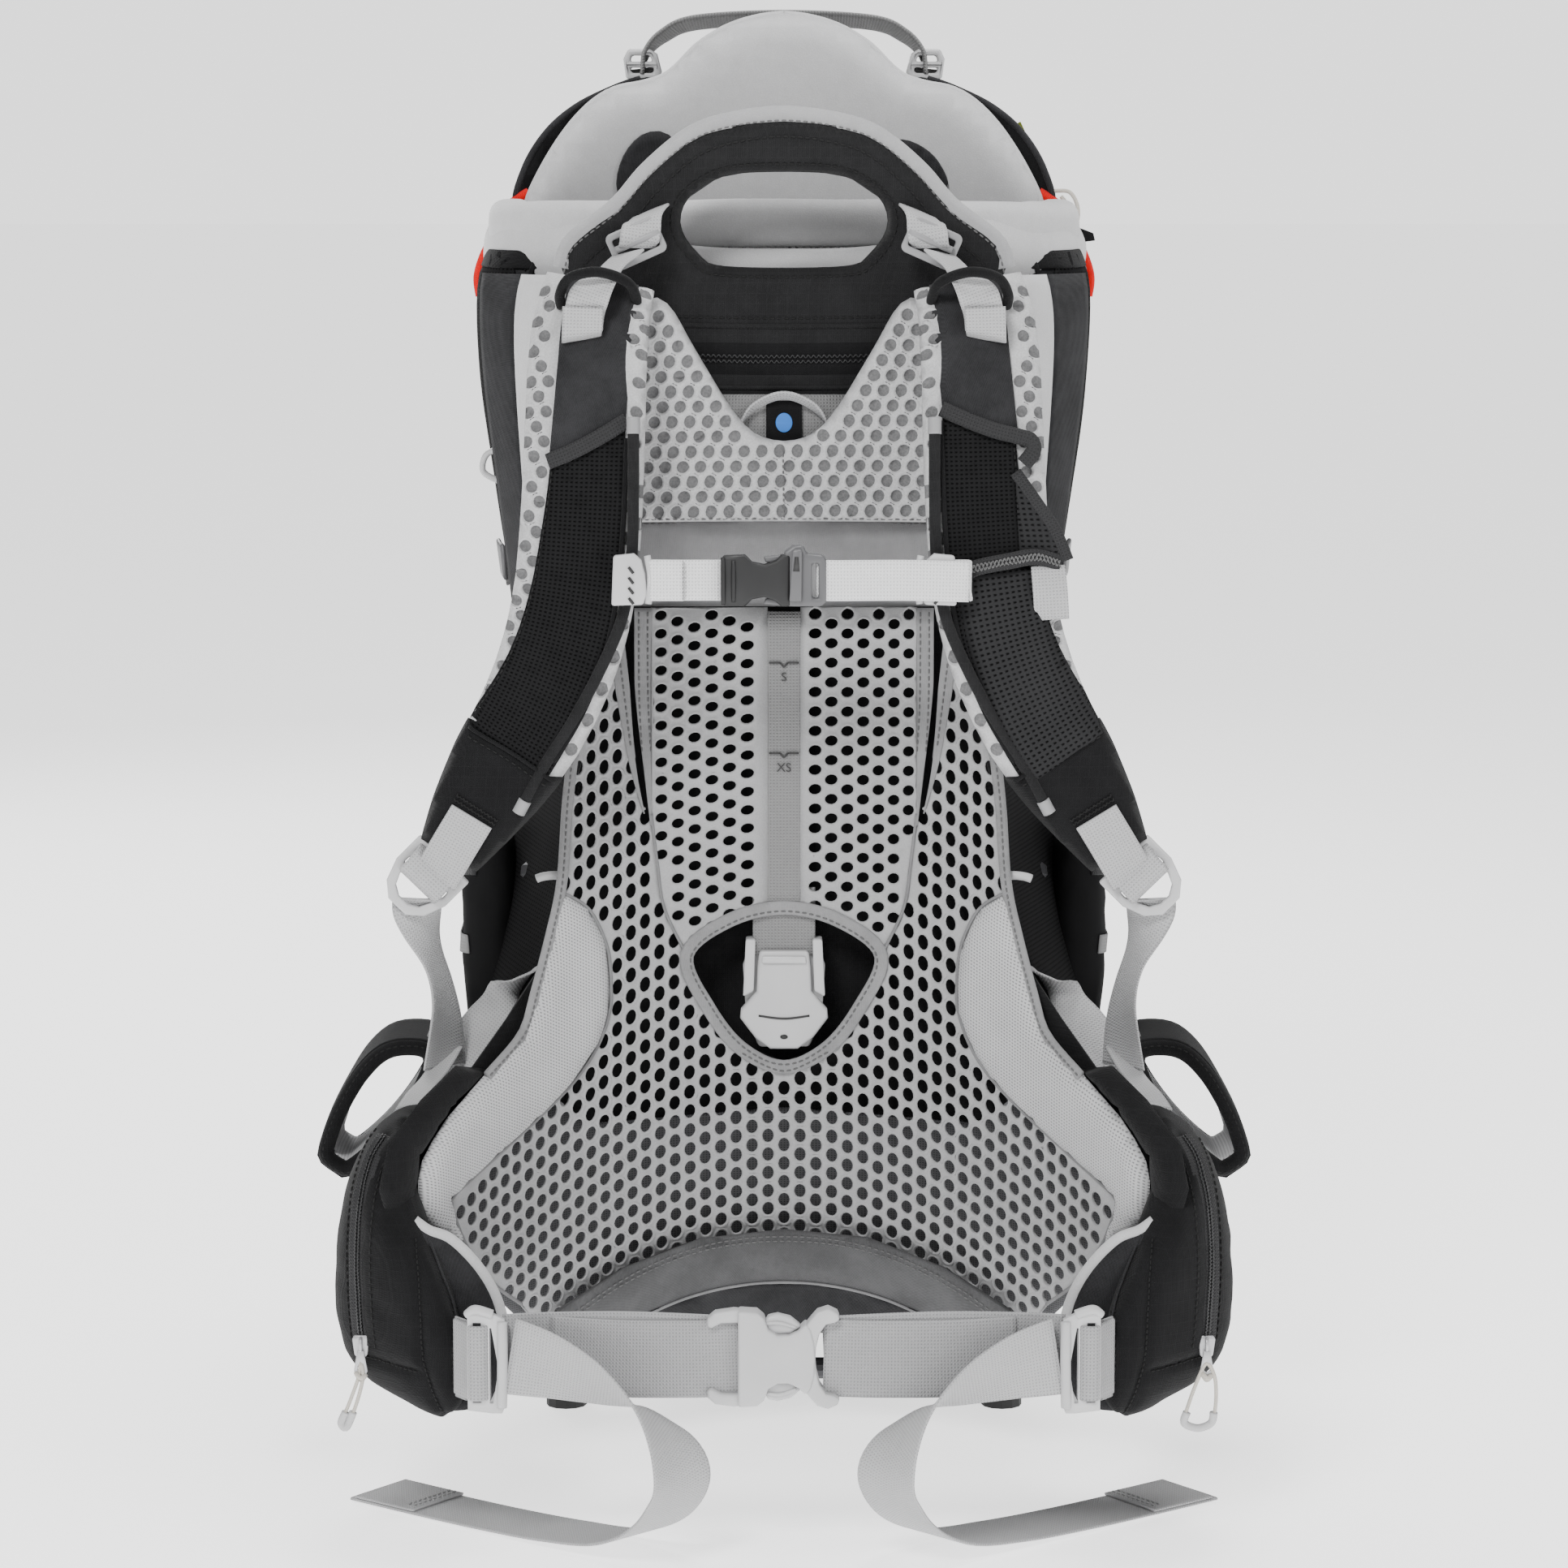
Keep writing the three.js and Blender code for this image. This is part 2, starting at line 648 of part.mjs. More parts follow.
function loadLifterWebbing() {
  const rows = [
    [-99, -55, 588, 1, 0.1, 0.35], [-95, -54, 601, 1, 0.1, 0.4],
    [-88, -49, 613, 1, 0.2, 0.5], [-81, -37, 620, 1, 0.2, 0.5], [-77.5, -30, 624, 1, 0.2, 0.5],
  ];
  return webbing(rows, CHEST_WEBBING, 10);
}

function ladderLock(width, height, thickness, slotWidth) {
  const frame = plate(roundedRect(width, height, 3), -thickness / 2, thickness / 2, 0.8);
  const slots = [-1, 1].map((side) =>
    block(slotWidth, thickness + 6, height * 0.2, 0, 0, side * height * 0.24));
  return subtract(frame, ...slots);
}

function loadLifterBuckle() {
  const lock = ladderLock(28, 20, 4, CHEST_WEBBING);
  return lock.rotateY(THREE.MathUtils.degToRad(-24)).translate(-73, -22, 632);
}

function lowerAdjuster() {
  const lock = ladderLock(34, 30, 5, SHOULDER_WEBBING);
  return lock.rotateY(THREE.MathUtils.degToRad(-45)).translate(-179, -68, 315);
}

function lowerWebbing() {
  const rows = [
    [-186, -64, 303, 0.74, 0, -0.67], [-181, -60, 292, 0.85, 0.3, -0.4],
    [-176, -52, 276, 0.7, 0.7, 0], [-171, -44, 256, 0.75, 0.65, 0.1],
    [-172, -38, 236, 1, 0.2, 0.2], [-174, -34, 220, 1, 0, 0.25],
  ];
  return webbing(rows, SHOULDER_WEBBING, 16);
}

function chestSlider() {
  const body = plate(roundedRect(15, 25, 3), CHEST.y - 1, CHEST.y + 5, 1);
  return body.translate(-75.5, 0, CHEST.z);
}

function chestWebbing(x0, x1, y) {
  const rows = [x0, (x0 + x1) / 2, x1].map((x) => [x, y, CHEST.z, 0, 0, 1]);
  return webbing(rows, CHEST_WEBBING, 4);
}

const CHEST_SOCKET = {
  x: -16.5, y: CHEST.y, z: CHEST.z, width: 30, height: 25, depth: 10,
};
const CHEST_PLUG = {
  x: 9.5, y: CHEST.y, z: CHEST.z, width: 21, height: 25, depth: 9, reach: 15,
};

// ---------------------------------------------------------------- assembly

add('main_frame_tube', mainFrameTube(), 'aluminium', 0.4, 0.8);
add('base_bar', baseBar(), 'aluminium', 0.4, 0.8);
addPair('base_foot', baseFoot(), 'rubber', 0.9);
add('seat_hoop', seatHoop(), 'aluminium', 0.4, 0.8);
addPair('kickstand_bracket', kickstandBracket(), 'charcoal', 0.5);
add('kickstand_tube', kickstandTube(), 'aluminium', 0.4, 0.8);
addPair('kickstand_foot', kickstandFoot(), 'rubber', 0.9);

add('back_panel_mesh', backPanel(), 'lightGrey');
add('size_strip', sizeStrip(), 'grey');
add('lumbar_band', lumbarBand(), 'charcoal');
add('handle_panel', handlePanel(), 'black');
add('torso_lock_body', torsoLockBody(), 'paleGrey', 0.45);
add('torso_lock_lever', torsoLockLever(), 'paleGrey', 0.45);

add('cockpit_shell', cockpitShell(), 'charcoal');
add('headrest_pad', headrestPad(), 'paleGrey');
add('front_roll_pad', frontRoll(), 'paleGrey');
add('seat_pad', seatPad(), 'charcoal');
add('child_harness', childHarness(), 'black');
add('storage_compartment', storageCompartment(), 'black');
add('sunshade_pocket', sunshadePocket(), 'charcoal');
addPair('side_pocket', sidePocket(), 'black');
add('rear_grab_handle', rearGrabHandle(), 'lightGrey');
addPair('foot_stirrup', footStirrup(), 'black');

addPair('hip_pad', hipPad(), 'lightGrey');
addPair('hip_pocket', hipPocket(), 'black');
addPair('zip_slider', zipSlider(), 'lightGrey', 0.4, 0.5);
addPair('belt_adjuster', beltAdjuster(), 'lightGrey', 0.45);
addPair('belt_webbing', beltWebbing(), 'lightGrey');
addPair('belt_tail', beltTail(), 'lightGrey');
add('belt_buckle_female', buckleSocket(BELT_SOCKET), 'paleGrey', 0.45);
add('belt_buckle_male', bucklePlug(BELT_PLUG), 'paleGrey', 0.45);

add('yoke_panel', yokePanel(), 'grey');
add('yoke_pad', yokePad(), 'paleGrey');
addPair('shoulder_strap', shoulderStrap(), 'black');
addPair('load_lifter_webbing', loadLifterWebbing(), 'lightGrey');
addPair('load_lifter_buckle', loadLifterBuckle(), 'lightGrey', 0.45);
addPair('lower_adjuster', lowerAdjuster(), 'lightGrey', 0.45);
addPair('lower_webbing', lowerWebbing(), 'lightGrey');
addPair('chest_slider', chestSlider(), 'lightGrey', 0.45);
add('chest_webbing_L', chestWebbing(-67.4, -32, CHEST.y + GAP), 'lightGrey');
add('chest_webbing_R', chestWebbing(20.6, 89, CHEST.y - 2.5), 'lightGrey');
add('chest_buckle_female', buckleSocket(CHEST_SOCKET), 'black', 0.4);
add('chest_buckle_male', bucklePlug(CHEST_PLUG), 'grey', 0.4);

// The origin stands at the middle of the footprint, on the floor.
const FOOTPRINT = { front: BELT.y - 7.5, back: KICK.footY + 12 };
model.position.y = -(FOOTPRINT.front + FOOTPRINT.back) / 2;

export default model;
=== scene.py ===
import math

import bmesh
import bpy
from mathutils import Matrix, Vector, noise
from mathutils.bvhtree import BVHTree
from mathutils.geometry import delaunay_2d_cdt
from mathutils.kdtree import KDTree


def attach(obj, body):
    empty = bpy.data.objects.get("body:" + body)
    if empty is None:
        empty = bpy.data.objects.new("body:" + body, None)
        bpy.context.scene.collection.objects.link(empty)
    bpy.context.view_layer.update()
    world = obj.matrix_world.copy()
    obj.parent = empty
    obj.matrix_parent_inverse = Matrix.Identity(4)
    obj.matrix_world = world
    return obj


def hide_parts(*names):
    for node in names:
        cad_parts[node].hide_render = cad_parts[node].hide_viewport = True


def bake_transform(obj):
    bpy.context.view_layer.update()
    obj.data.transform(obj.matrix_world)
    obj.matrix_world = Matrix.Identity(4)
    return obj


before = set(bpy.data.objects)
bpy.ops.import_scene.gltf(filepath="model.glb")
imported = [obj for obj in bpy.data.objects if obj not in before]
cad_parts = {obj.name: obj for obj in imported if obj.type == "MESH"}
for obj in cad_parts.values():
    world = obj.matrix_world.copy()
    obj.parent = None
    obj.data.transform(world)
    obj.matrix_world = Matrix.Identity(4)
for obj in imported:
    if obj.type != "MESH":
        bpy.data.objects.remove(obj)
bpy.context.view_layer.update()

# ------------------------------------------------------------------ sizes
# Design sizes are millimetres: x to the right, y away from the wearer with
# zero on the back panel, z up from the floor.

MM = 0.001
PANEL_ORIGIN_Y = 64.75          # the frame's origin lies this far behind the back panel
BELT_WEBBING = 38.0
SHOULDER_WEBBING = 25.0
CHEST_WEBBING = 20.0
WEBBING_THICKNESS = 1.6
THREAD = 0.45                   # stitch thread radius
CHEST_Y, CHEST_Z = -98, 469     # middle of the chest strap
BELT_Y, BELT_Z = -181, 105      # middle of the hip belt's webbing
LOCK_X, LOCK_Z = -143.5, 101.5  # middle of the left belt adjuster
SIDES = (("L", 1), ("R", -1))   # suffix, and the sign that mirrors a left-hand x
HAND = {"L": "left", "R": "right"}

CAMERA_PLACE = (0, -2400, 690)
CAMERA_PITCH = 7.94             # degrees down
CAMERA_LENS = 109.08
CAMERA_SENSOR = 36
WORLD_LIGHT = 0.3
BACKDROP = 1.85                 # brightness of the backdrop to the camera
FLOOR_GLOW = 1.5
FLOOR_REACH = 30.0
LIGHT_TARGET = (0, 0, 0.4)
LIGHTS = {                      # place in metres, diameter, power
    "key": ((-0.8, -2.2, 2.2), 0.8, 66),
    "fill": ((1.9, -1.9, 1.3), 1.4, 20),
    "top": ((0.2, 0.3, 2.4), 1.0, 36),
    "back": ((-0.8, 2.2, 1.5), 1.2, 30),
}


def at(x, y, z):
    """The place in metres of a point in design millimetres."""
    return Vector((x * MM, (y - PANEL_ORIGIN_Y) * MM, z * MM))


def from_metres(point):
    """Back from metres to design millimetres."""
    return (point.x / MM, point.y / MM + PANEL_ORIGIN_Y, point.z / MM)


def mix(a, b, t):
    """A straight blend of two values."""
    return a + (b - a) * t


def mix_point(p, q, t):
    """A straight blend of two points."""
    return tuple(mix(a, b, t) for a, b in zip(p, q))


def along(row, share):
    """The point at a share of an evenly spaced row of points."""
    k = share * (len(row) - 1)
    i = min(int(k), len(row) - 2)
    return mix_point(row[i], row[i + 1], k - i)


def clamp(value, low=0.0, high=1.0):
    """The value, kept between two limits."""
    return max(low, min(high, value))


def lookup(table, value):
    """Smooth interpolation in rows of (input, output)."""
    if value <= table[0][0]:
        return table[0][1]
    for i in range(1, len(table)):
        if value <= table[i][0]:
            x0, y0 = table[i - 1]
            x1, y1 = table[i]
            before = table[i - 2] if i > 1 else table[i - 1]
            after = table[i + 1] if i + 1 < len(table) else table[i]
            slope0 = (y1 - before[1]) / max(x1 - before[0], 1e-9)
            slope1 = (after[1] - y0) / max(after[0] - x0, 1e-9)
            width = x1 - x0
            t = (value - x0) / width
            a, b = slope0 * width, slope1 * width
            return ((2 * t ** 3 - 3 * t ** 2 + 1) * y0 + (t ** 3 - 2 * t ** 2 + t) * a
                    + (-2 * t ** 3 + 3 * t ** 2) * y1 + (t ** 3 - t ** 2) * b)
    return table[-1][1]


def smooth_path(points, count, closed=False):
    """Catmull-Rom points through any list of equal-length rows, evenly spaced."""
    rows = [tuple(p) for p in points]
    size = len(rows)
    spans = size if closed else size - 1
    dense = []
    for i in range(spans):
        if closed:
            p0, p1, p2, p3 = (rows[(i + k) % size] for k in (-1, 0, 1, 2))
        else:
            p0, p1 = rows[max(i - 1, 0)], rows[i]
            p2, p3 = rows[i + 1], rows[min(i + 2, size - 1)]
        for step in range(12):
            t = step / 12
            dense.append(tuple(
                0.5 * (2 * b + (c - a) * t + (2 * a - 5 * b + 4 * c - d) * t ** 2
                       + (3 * b - a - 3 * c + d) * t ** 3)
                for a, b, c, d in zip(p0, p1, p2, p3)))
    dense.append(rows[0] if closed else rows[-1])
    total = [0.0]
    for a, b in zip(dense, dense[1:]):
        total.append(total[-1] + math.dist(a[:3], b[:3]))
    result = []
    k = 0
    for i in range(count):
        want = total[-1] * i / (count if closed else count - 1)
        while k < len(dense) - 2 and total[k + 1] < want:
            k += 1
        span = max(total[k + 1] - total[k], 1e-9)
        t = clamp((want - total[k]) / span)
        result.append(mix_point(dense[k], dense[k + 1], t))
    return result


def flip(points, sign):
    """Left-hand points as they are, or mirrored to the right-hand side."""
    return [(p[0] * sign, *p[1:]) for p in points]


# ------------------------------------------------------------------ materials

def new_material(name, colour, roughness=0.8, sheen=0.0, metallic=0.0, specular=0.5):
    """A plain material with a name."""
    material = bpy.data.materials.new(name)
    material.use_nodes = True
    nodes = material.node_tree.nodes
    shader = nodes["Principled BSDF"]
    shader.inputs["Base Color"].default_value = (*colour, 1)
    shader.inputs["Roughness"].default_value = roughness
    shader.inputs["Metallic"].default_value = metallic
    shader.inputs["Specular IOR Level"].default_value = specular
    if sheen:
        shader.inputs["Sheen Weight"].default_value = sheen
        shader.inputs["Sheen Roughness"].default_value = 0.5
    return material


class Graph:
    """Short-hand for one material's nodes."""

    def __init__(self, material):
        self.tree = material.node_tree
        self.shader = self.tree.nodes["Principled BSDF"]
        self.coords = self.tree.nodes.new("ShaderNodeTexCoord")

    def link(self, value, socket):
        if isinstance(value, bpy.types.NodeSocket):
            self.tree.links.new(value, socket)
        else:
            socket.default_value = value

    def maths(self, operation, a, b=0.0):
        made = self.tree.nodes.new("ShaderNodeMath")
        made.operation = operation
        self.link(a, made.inputs[0])
        self.link(b, made.inputs[1])
        return made.outputs[0]

    def add(self, a, b):
        return self.maths("ADD", a, b)

    def times(self, a, b):
        return self.maths("MULTIPLY", a, b)

    def axes(self, source):
        split = self.tree.nodes.new("ShaderNodeSeparateXYZ")
        self.tree.links.new(source, split.inputs[0])
        return split.outputs

    def wave(self, value, pitch):
        """A sine of that pitch in metres."""
        return self.maths("SINE", self.times(value, 2 * math.pi / pitch))

    def noise(self, source, scale, detail=2.0, roughness=0.5):
        made = self.tree.nodes.new("ShaderNodeTexNoise")
        self.tree.links.new(source, made.inputs["Vector"])
        made.inputs["Scale"].default_value = scale
        made.inputs["Detail"].default_value = detail
        made.inputs["Roughness"].default_value = roughness
        return made.outputs["Fac"]

    def ramp(self, value, low, high, out_low=0.0, out_high=1.0):
        made = self.tree.nodes.new("ShaderNodeMapRange")
        self.link(value, made.inputs["Value"])
        made.inputs["From Min"].default_value = low
        made.inputs["From Max"].default_value = high
        made.inputs["To Min"].default_value = out_low
        made.inputs["To Max"].default_value = out_high
        return made.outputs["Result"]

    def colour(self, factor, dark, light):
        made = self.tree.nodes.new("ShaderNodeMix")
        made.data_type = "RGBA"
        self.link(factor, made.inputs["Factor"])
        made.inputs["A"].default_value = (*dark, 1)
        made.inputs["B"].default_value = (*light, 1)
        self.tree.links.new(made.outputs["Result"], self.shader.inputs["Base Color"])

    def bump(self, height, strength=0.5, distance=0.0005):
        made = self.tree.nodes.new("ShaderNodeBump")
        made.inputs["Strength"].default_value = strength
        made.inputs["Distance"].default_value = distance
        self.tree.links.new(height, made.inputs["Height"])
        self.tree.links.new(made.outputs["Normal"], self.shader.inputs["Normal"])


def shade(colour, factor):
    """The colour, darker or lighter by a factor."""
    return tuple(clamp(channel * factor) for channel in colour)


def packcloth(name, colour, pitch=0.0011, contrast=0.2, ripstop=0.0, sheen=0.06):
    """Plain woven pack fabric, with faint larger mottling and optional ripstop lines."""
    material = new_material(name, colour, roughness=0.85, sheen=sheen, specular=0.08)
    g = Graph(material)
    x, y, z = g.axes(g.coords.outputs["Object"])
    warp = g.times(g.wave(g.add(x, y), pitch), g.wave(z, pitch))
    weave = g.add(warp, g.times(g.wave(x, pitch), g.wave(y, pitch)))
    mottle = g.noise(g.coords.outputs["Object"], 45.0, 4.0, 0.65)
    fine = g.noise(g.coords.outputs["Object"], 900.0, 2.0)
    tone = g.add(g.ramp(mottle, 0.3, 0.7), g.times(weave, 0.25))
    tone = g.add(tone, g.times(g.maths("SUBTRACT", fine, 0.5), 0.8))
    if ripstop:
        lines = g.maths("MAXIMUM", g.wave(g.add(x, y), ripstop), g.wave(z, ripstop))
        weave = g.add(weave, g.times(g.ramp(lines, 0.9, 1.0), 1.6))
        tone = g.add(tone, g.times(g.ramp(lines, 0.93, 1.0), 0.5))
    g.colour(tone, shade(colour, 1 - contrast), shade(colour, 1 + contrast))
    g.bump(weave, 0.35, 0.00025)
    return material


def woven_band(name, colour, pitch=0.0016, contrast=0.35):
    """Webbing: rows of small pits between raised picks, laid out along its length, with painted
    shade darkening the pits.
    """
    material = new_material(name, colour, roughness=0.72, sheen=0.05, specular=0.25)
    g = Graph(material)
    u, v, _ = g.axes(g.coords.outputs["UV"])
    rib = g.wave(u, pitch)
    cell = g.times(rib, g.wave(v, pitch * 1.05))
    height = g.add(g.times(cell, 0.6), g.times(rib, 0.4))
    # painted shade: the tone darkens where the weave sinks into pits
    pits = g.ramp(height, -0.75, 0.2)
    fuzz = g.noise(g.coords.outputs["UV"], 700.0, 2.0)
    mottle = g.noise(g.coords.outputs["UV"], 60.0, 3.0)
    tone = g.add(g.times(pits, 0.7), g.times(fuzz, 0.25))
    tone = g.add(tone, g.times(mottle, 0.15))
    g.colour(tone, shade(colour, 1 - contrast), shade(colour, 1 + contrast * 0.4))
    g.bump(height, 0.6, 0.0004)
    return material


def netting(name, thread, gap, pitch=0.0013, slant=0.0, sheen=0.0):
    """Fine net: light threads over dark gaps, in the surface's own coordinates."""
    material = new_material(name, thread, roughness=0.9, sheen=sheen, specular=0.05)
    g = Graph(material)
    u, v, _ = g.axes(g.coords.outputs["UV"])
    leaned = g.add(v, g.times(u, slant))
    rows = g.wave(leaned, pitch)
    columns = g.wave(g.add(u, g.times(rows, pitch * 0.18)), pitch * 1.15)
    holes = g.times(g.ramp(rows, -0.2, 0.9), g.ramp(columns, -0.6, 0.6))
    wide = g.noise(g.coords.outputs["UV"], 40.0, 3.0)
    tone = g.add(g.times(holes, 0.85),
                   g.times(g.ramp(wide, 0.3, 0.7), 0.12))
    g.colour(tone, thread, gap)
    g.bump(g.maths("SUBTRACT", 1.0, holes), 0.5, 0.0004)
    return material


def knit(name, colour, scale=1500.0, contrast=0.16, sheen=0.3, bump=0.00018):
    """Brushed or knitted face: fine loops with soft mottling."""
    material = new_material(name, colour, roughness=0.9, sheen=sheen, specular=0.25)
    g = Graph(material)
    loops = g.tree.nodes.new("ShaderNodeTexVoronoi")
    loops.inputs["Scale"].default_value = scale
    g.tree.links.new(g.coords.outputs["Object"], loops.inputs["Vector"])
    mottle = g.noise(g.coords.outputs["Object"], 120.0, 5.0, 0.7)
    broad = g.noise(g.coords.outputs["Object"], 18.0, 2.0)
    tone = g.add(g.times(loops.outputs["Distance"], 0.5),
                   g.times(mottle, 0.7))
    tone = g.add(tone, g.times(g.maths("SUBTRACT", broad, 0.5), 0.4))
    g.colour(tone, shade(colour, 1 - contrast), shade(colour, 1 + contrast))
    height = g.add(loops.outputs["Distance"], mottle)
    g.bump(height, 0.5, bump)
    return material


def moulded(name, colour, roughness=0.42, grain=0.00006):
    """Injection-moulded plastic with a fine grain, and its sharp edges painted lighter as a
    highlight.
    """
    material = new_material(name, colour, roughness=roughness, specular=0.5)
    g = Graph(material)
    fine = g.noise(g.coords.outputs["Object"], 2600.0, 2.0)
    broad = g.noise(g.coords.outputs["Object"], 60.0, 3.0)
    edge = g.tree.nodes.new("ShaderNodeNewGeometry")
    # painted highlight: sharp convex edges are made lighter in colour
    edge_highlight = g.ramp(edge.outputs["Pointiness"], 0.5, 0.62)
    tone = g.add(g.times(broad, 0.6), g.times(edge_highlight, 0.5))
    g.colour(tone, shade(colour, 0.88), shade(colour, 1.16))
    rough = g.ramp(broad, 0.3, 0.7, roughness - 0.06, roughness + 0.08)
    g.tree.links.new(rough, g.shader.inputs["Roughness"])
    g.bump(fine, 0.4, grain)
    return material


def powder_coat(name, colour):
    """Coated metal with a fine orange-peel surface."""
    material = new_material(name, colour, roughness=0.38, metallic=0.6, specular=0.5)
    g = Graph(material)
    peel = g.noise(g.coords.outputs["Object"], 900.0, 3.0, 0.6)
    scuff = g.noise(g.coords.outputs["Object"], 35.0, 6.0, 0.75)
    g.colour(g.ramp(scuff, 0.35, 0.75), shade(colour, 0.85), shade(colour, 1.3))
    g.tree.links.new(g.ramp(scuff, 0.3, 0.7, 0.3, 0.5), g.shader.inputs["Roughness"])
    g.bump(peel, 0.35, 0.00012)
    return material


def grey(level, blue):
    """A near-neutral grey, with its own blue channel."""
    return (level, level, blue)


# Every material, by the function that makes it.
LOOKS = {
    packcloth: {
        "black_fabric": dict(colour=grey(0.0085, 0.009), ripstop=0.0052),
        "dark_fabric": dict(colour=grey(0.024, 0.0255), contrast=0.3),
        "panel_fabric": dict(colour=grey(0.015, 0.0156), ripstop=0.0052),
        "lumbar_fabric": dict(colour=grey(0.085, 0.087), pitch=0.0009),
        "grey_fabric": dict(colour=grey(0.19, 0.193), pitch=0.0009, contrast=0.12),
        "binding": dict(colour=grey(0.24, 0.243), pitch=0.0008, contrast=0.14),
        "red_trim": dict(colour=(0.6, 0.006, 0.006)),
        "olive_tag": dict(colour=(0.11, 0.13, 0.02)),
    },
    woven_band: {
        "light_webbing": dict(colour=grey(0.4, 0.405)),
        "belt_webbing": dict(colour=grey(0.33, 0.335)),
        "pale_webbing": dict(colour=grey(0.72, 0.725)),
        "grey_webbing": dict(colour=grey(0.2, 0.2)),
        "black_webbing": dict(colour=grey(0.02, 0.021), contrast=0.5),
    },
    knit: {
        "panel_mesh": dict(colour=grey(0.33, 0.334), scale=1300.0, sheen=0.1),
        "spacer_mesh": dict(colour=grey(0.43, 0.434), scale=1100.0, contrast=0.3, sheen=0.1),
        # painted shade: darker floor colour for the pits of the spacer mesh
        "dimple": dict(colour=grey(0.13, 0.132), scale=900.0, contrast=0.5, sheen=0.0),
        "brushed_fabric": dict(colour=grey(0.47, 0.475), scale=1500.0, contrast=0.16, sheen=0.3),
        "binding_cloth": dict(colour=grey(0.33, 0.335), scale=1700.0, sheen=0.1),
        "pale_thread": dict(colour=grey(0.4, 0.4), scale=2500.0, sheen=0.0),
        "grey_thread": dict(colour=grey(0.12, 0.12), scale=2500.0, sheen=0.0),
        "dark_thread": dict(colour=grey(0.013, 0.013), scale=2500.0, sheen=0.0),
        "beige_cord": dict(colour=(0.5, 0.47, 0.42), scale=1700.0),
    },
    netting: {
        "fine_mesh": dict(thread=grey(0.5, 0.505), gap=grey(0.16, 0.164), pitch=0.0016, slant=0.4),
        "black_mesh": dict(thread=grey(0.012, 0.0125), gap=grey(0.0006, 0.0006), pitch=0.0021),
        "pocket_mesh": dict(thread=grey(0.026, 0.027), gap=grey(0.0006, 0.0006), pitch=0.0026),
        "dark_net": dict(thread=grey(0.13, 0.135), gap=grey(0.04, 0.042)),
    },
    moulded: {
        "grey_plastic": dict(colour=grey(0.5, 0.505)),
        "mid_plastic": dict(colour=grey(0.27, 0.275)),
        "dark_grey_plastic": dict(colour=grey(0.1, 0.104)),
        "black_plastic": dict(colour=grey(0.007, 0.0075), roughness=0.55),
        "rubber": dict(colour=grey(0.014, 0.014), roughness=0.7, grain=0.0002),
        "zip_coil": dict(colour=grey(0.015, 0.016), roughness=0.4),
        "ink": dict(colour=grey(0.02, 0.02), roughness=0.6),
        "blue_dot": dict(colour=(0.02, 0.16, 0.55), roughness=0.5),
    },
    powder_coat: {
        "zip_metal": dict(colour=grey(0.5, 0.51)),
        "frame_tube": dict(colour=grey(0.06, 0.064)),
    },
}
MATERIALS = {name: maker(name, **look)
             for maker, looks in LOOKS.items() for name, look in looks.items()}


# ------------------------------------------------------------------ builders

def finish_piece(piece, body, material, replaces=(), smooth=True):
    """Gives a piece its material, slot, body and the node it replaces."""
    piece.data.materials.append(MATERIALS[material])
    if smooth and piece.type == "MESH":
        for polygon in piece.data.polygons:
            polygon.use_smooth = True
    if replaces:
        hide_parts(*replaces)
    if body:
        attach(piece, body)
    return piece


def mesh_piece(name, vertices, faces, uvs=None):
    """A new mesh object in the scene."""
    mesh = bpy.data.meshes.new(name)
    mesh.from_pydata(vertices, [], faces)
    if uvs:
        layer = mesh.uv_layers.new(name="UVMap")
        for loop in mesh.loops:
            layer.data[loop.index].uv = uvs[loop.vertex_index]
    mesh.validate()
    mesh.update()
    piece = bpy.data.objects.new(name, mesh)
    bpy.context.scene.collection.objects.link(piece)
    return piece


def add_modifier(piece, kind, **settings):
    """A modifier with its settings."""
    modifier = piece.modifiers.new(kind.title(), kind)
    for key, value in settings.items():
        setattr(modifier, key, value)
    return modifier


def apply_modifiers(piece):
    """Replaces a piece's mesh by what its modifiers make of it."""
    evaluated = piece.evaluated_get(bpy.context.evaluated_depsgraph_get())
    mesh = bpy.data.meshes.new_from_object(evaluated)
    piece.modifiers.clear()
    old = piece.data
    piece.data = mesh
    bpy.data.meshes.remove(old)


def swept(name, frames, section, body, material, closed=False, caps=True, replaces=(),
          smooth=True):
    """Sweeps a closed section along frames of (centre, side, up); section is (a, b) pairs."""
    vertices, faces, uvs = [], [], []
    ring = len(section)
    length = 0.0
    perimeter = [0.0]
    for a, b in zip(section, section[1:]):
        perimeter.append(perimeter[-1] + math.dist(a, b))
    for i, (centre, side, up) in enumerate(frames):
        if i:
            length += (centre - frames[i - 1][0]).length
        for k, (a, b) in enumerate(section):
            vertices.append(centre + side * (a * MM) + up * (b * MM))
            uvs.append((length, perimeter[k] * MM))
    count = len(frames)
    for i in range(count if closed else count - 1):
        j = (i + 1) % count
        for k in range(ring):
            m = (k + 1) % ring
            faces.append((i * ring + k, i * ring + m, j * ring + m, j * ring + k))
    if caps and not closed:
        faces.append(tuple(range(ring - 1, -1, -1)))
        faces.append(tuple((count - 1) * ring + k for k in range(ring)))
    piece = mesh_piece(name, vertices, faces, uvs)
    return finish_piece(piece, body, material, replaces, smooth)


def band_section(width, thickness, steps=6):
    """Flat band with rounded long edges; starts in the middle of the front face."""
    half, r = width / 2, thickness / 2
    flat = half - r
    points = [(mix(-flat, flat, i / steps), r) for i in range(steps + 1)]
    points += [(flat + r * math.sin(a), r * math.cos(a)) for a in (0.9, 1.57, 2.24)]
    points += [(mix(flat, -flat, i / steps), -r) for i in range(steps + 1)]
    points += [(-flat - r * math.sin(a), -r * math.cos(a)) for a in (0.9, 1.57, 2.24)]
    return points


def round_section(radius, sides=10):
    """Points of a circle, for sweeping."""
    return [(radius * math.cos(2 * math.pi * i / sides), radius * math.sin(2 * math.pi * i / sides))
            for i in range(sides)]


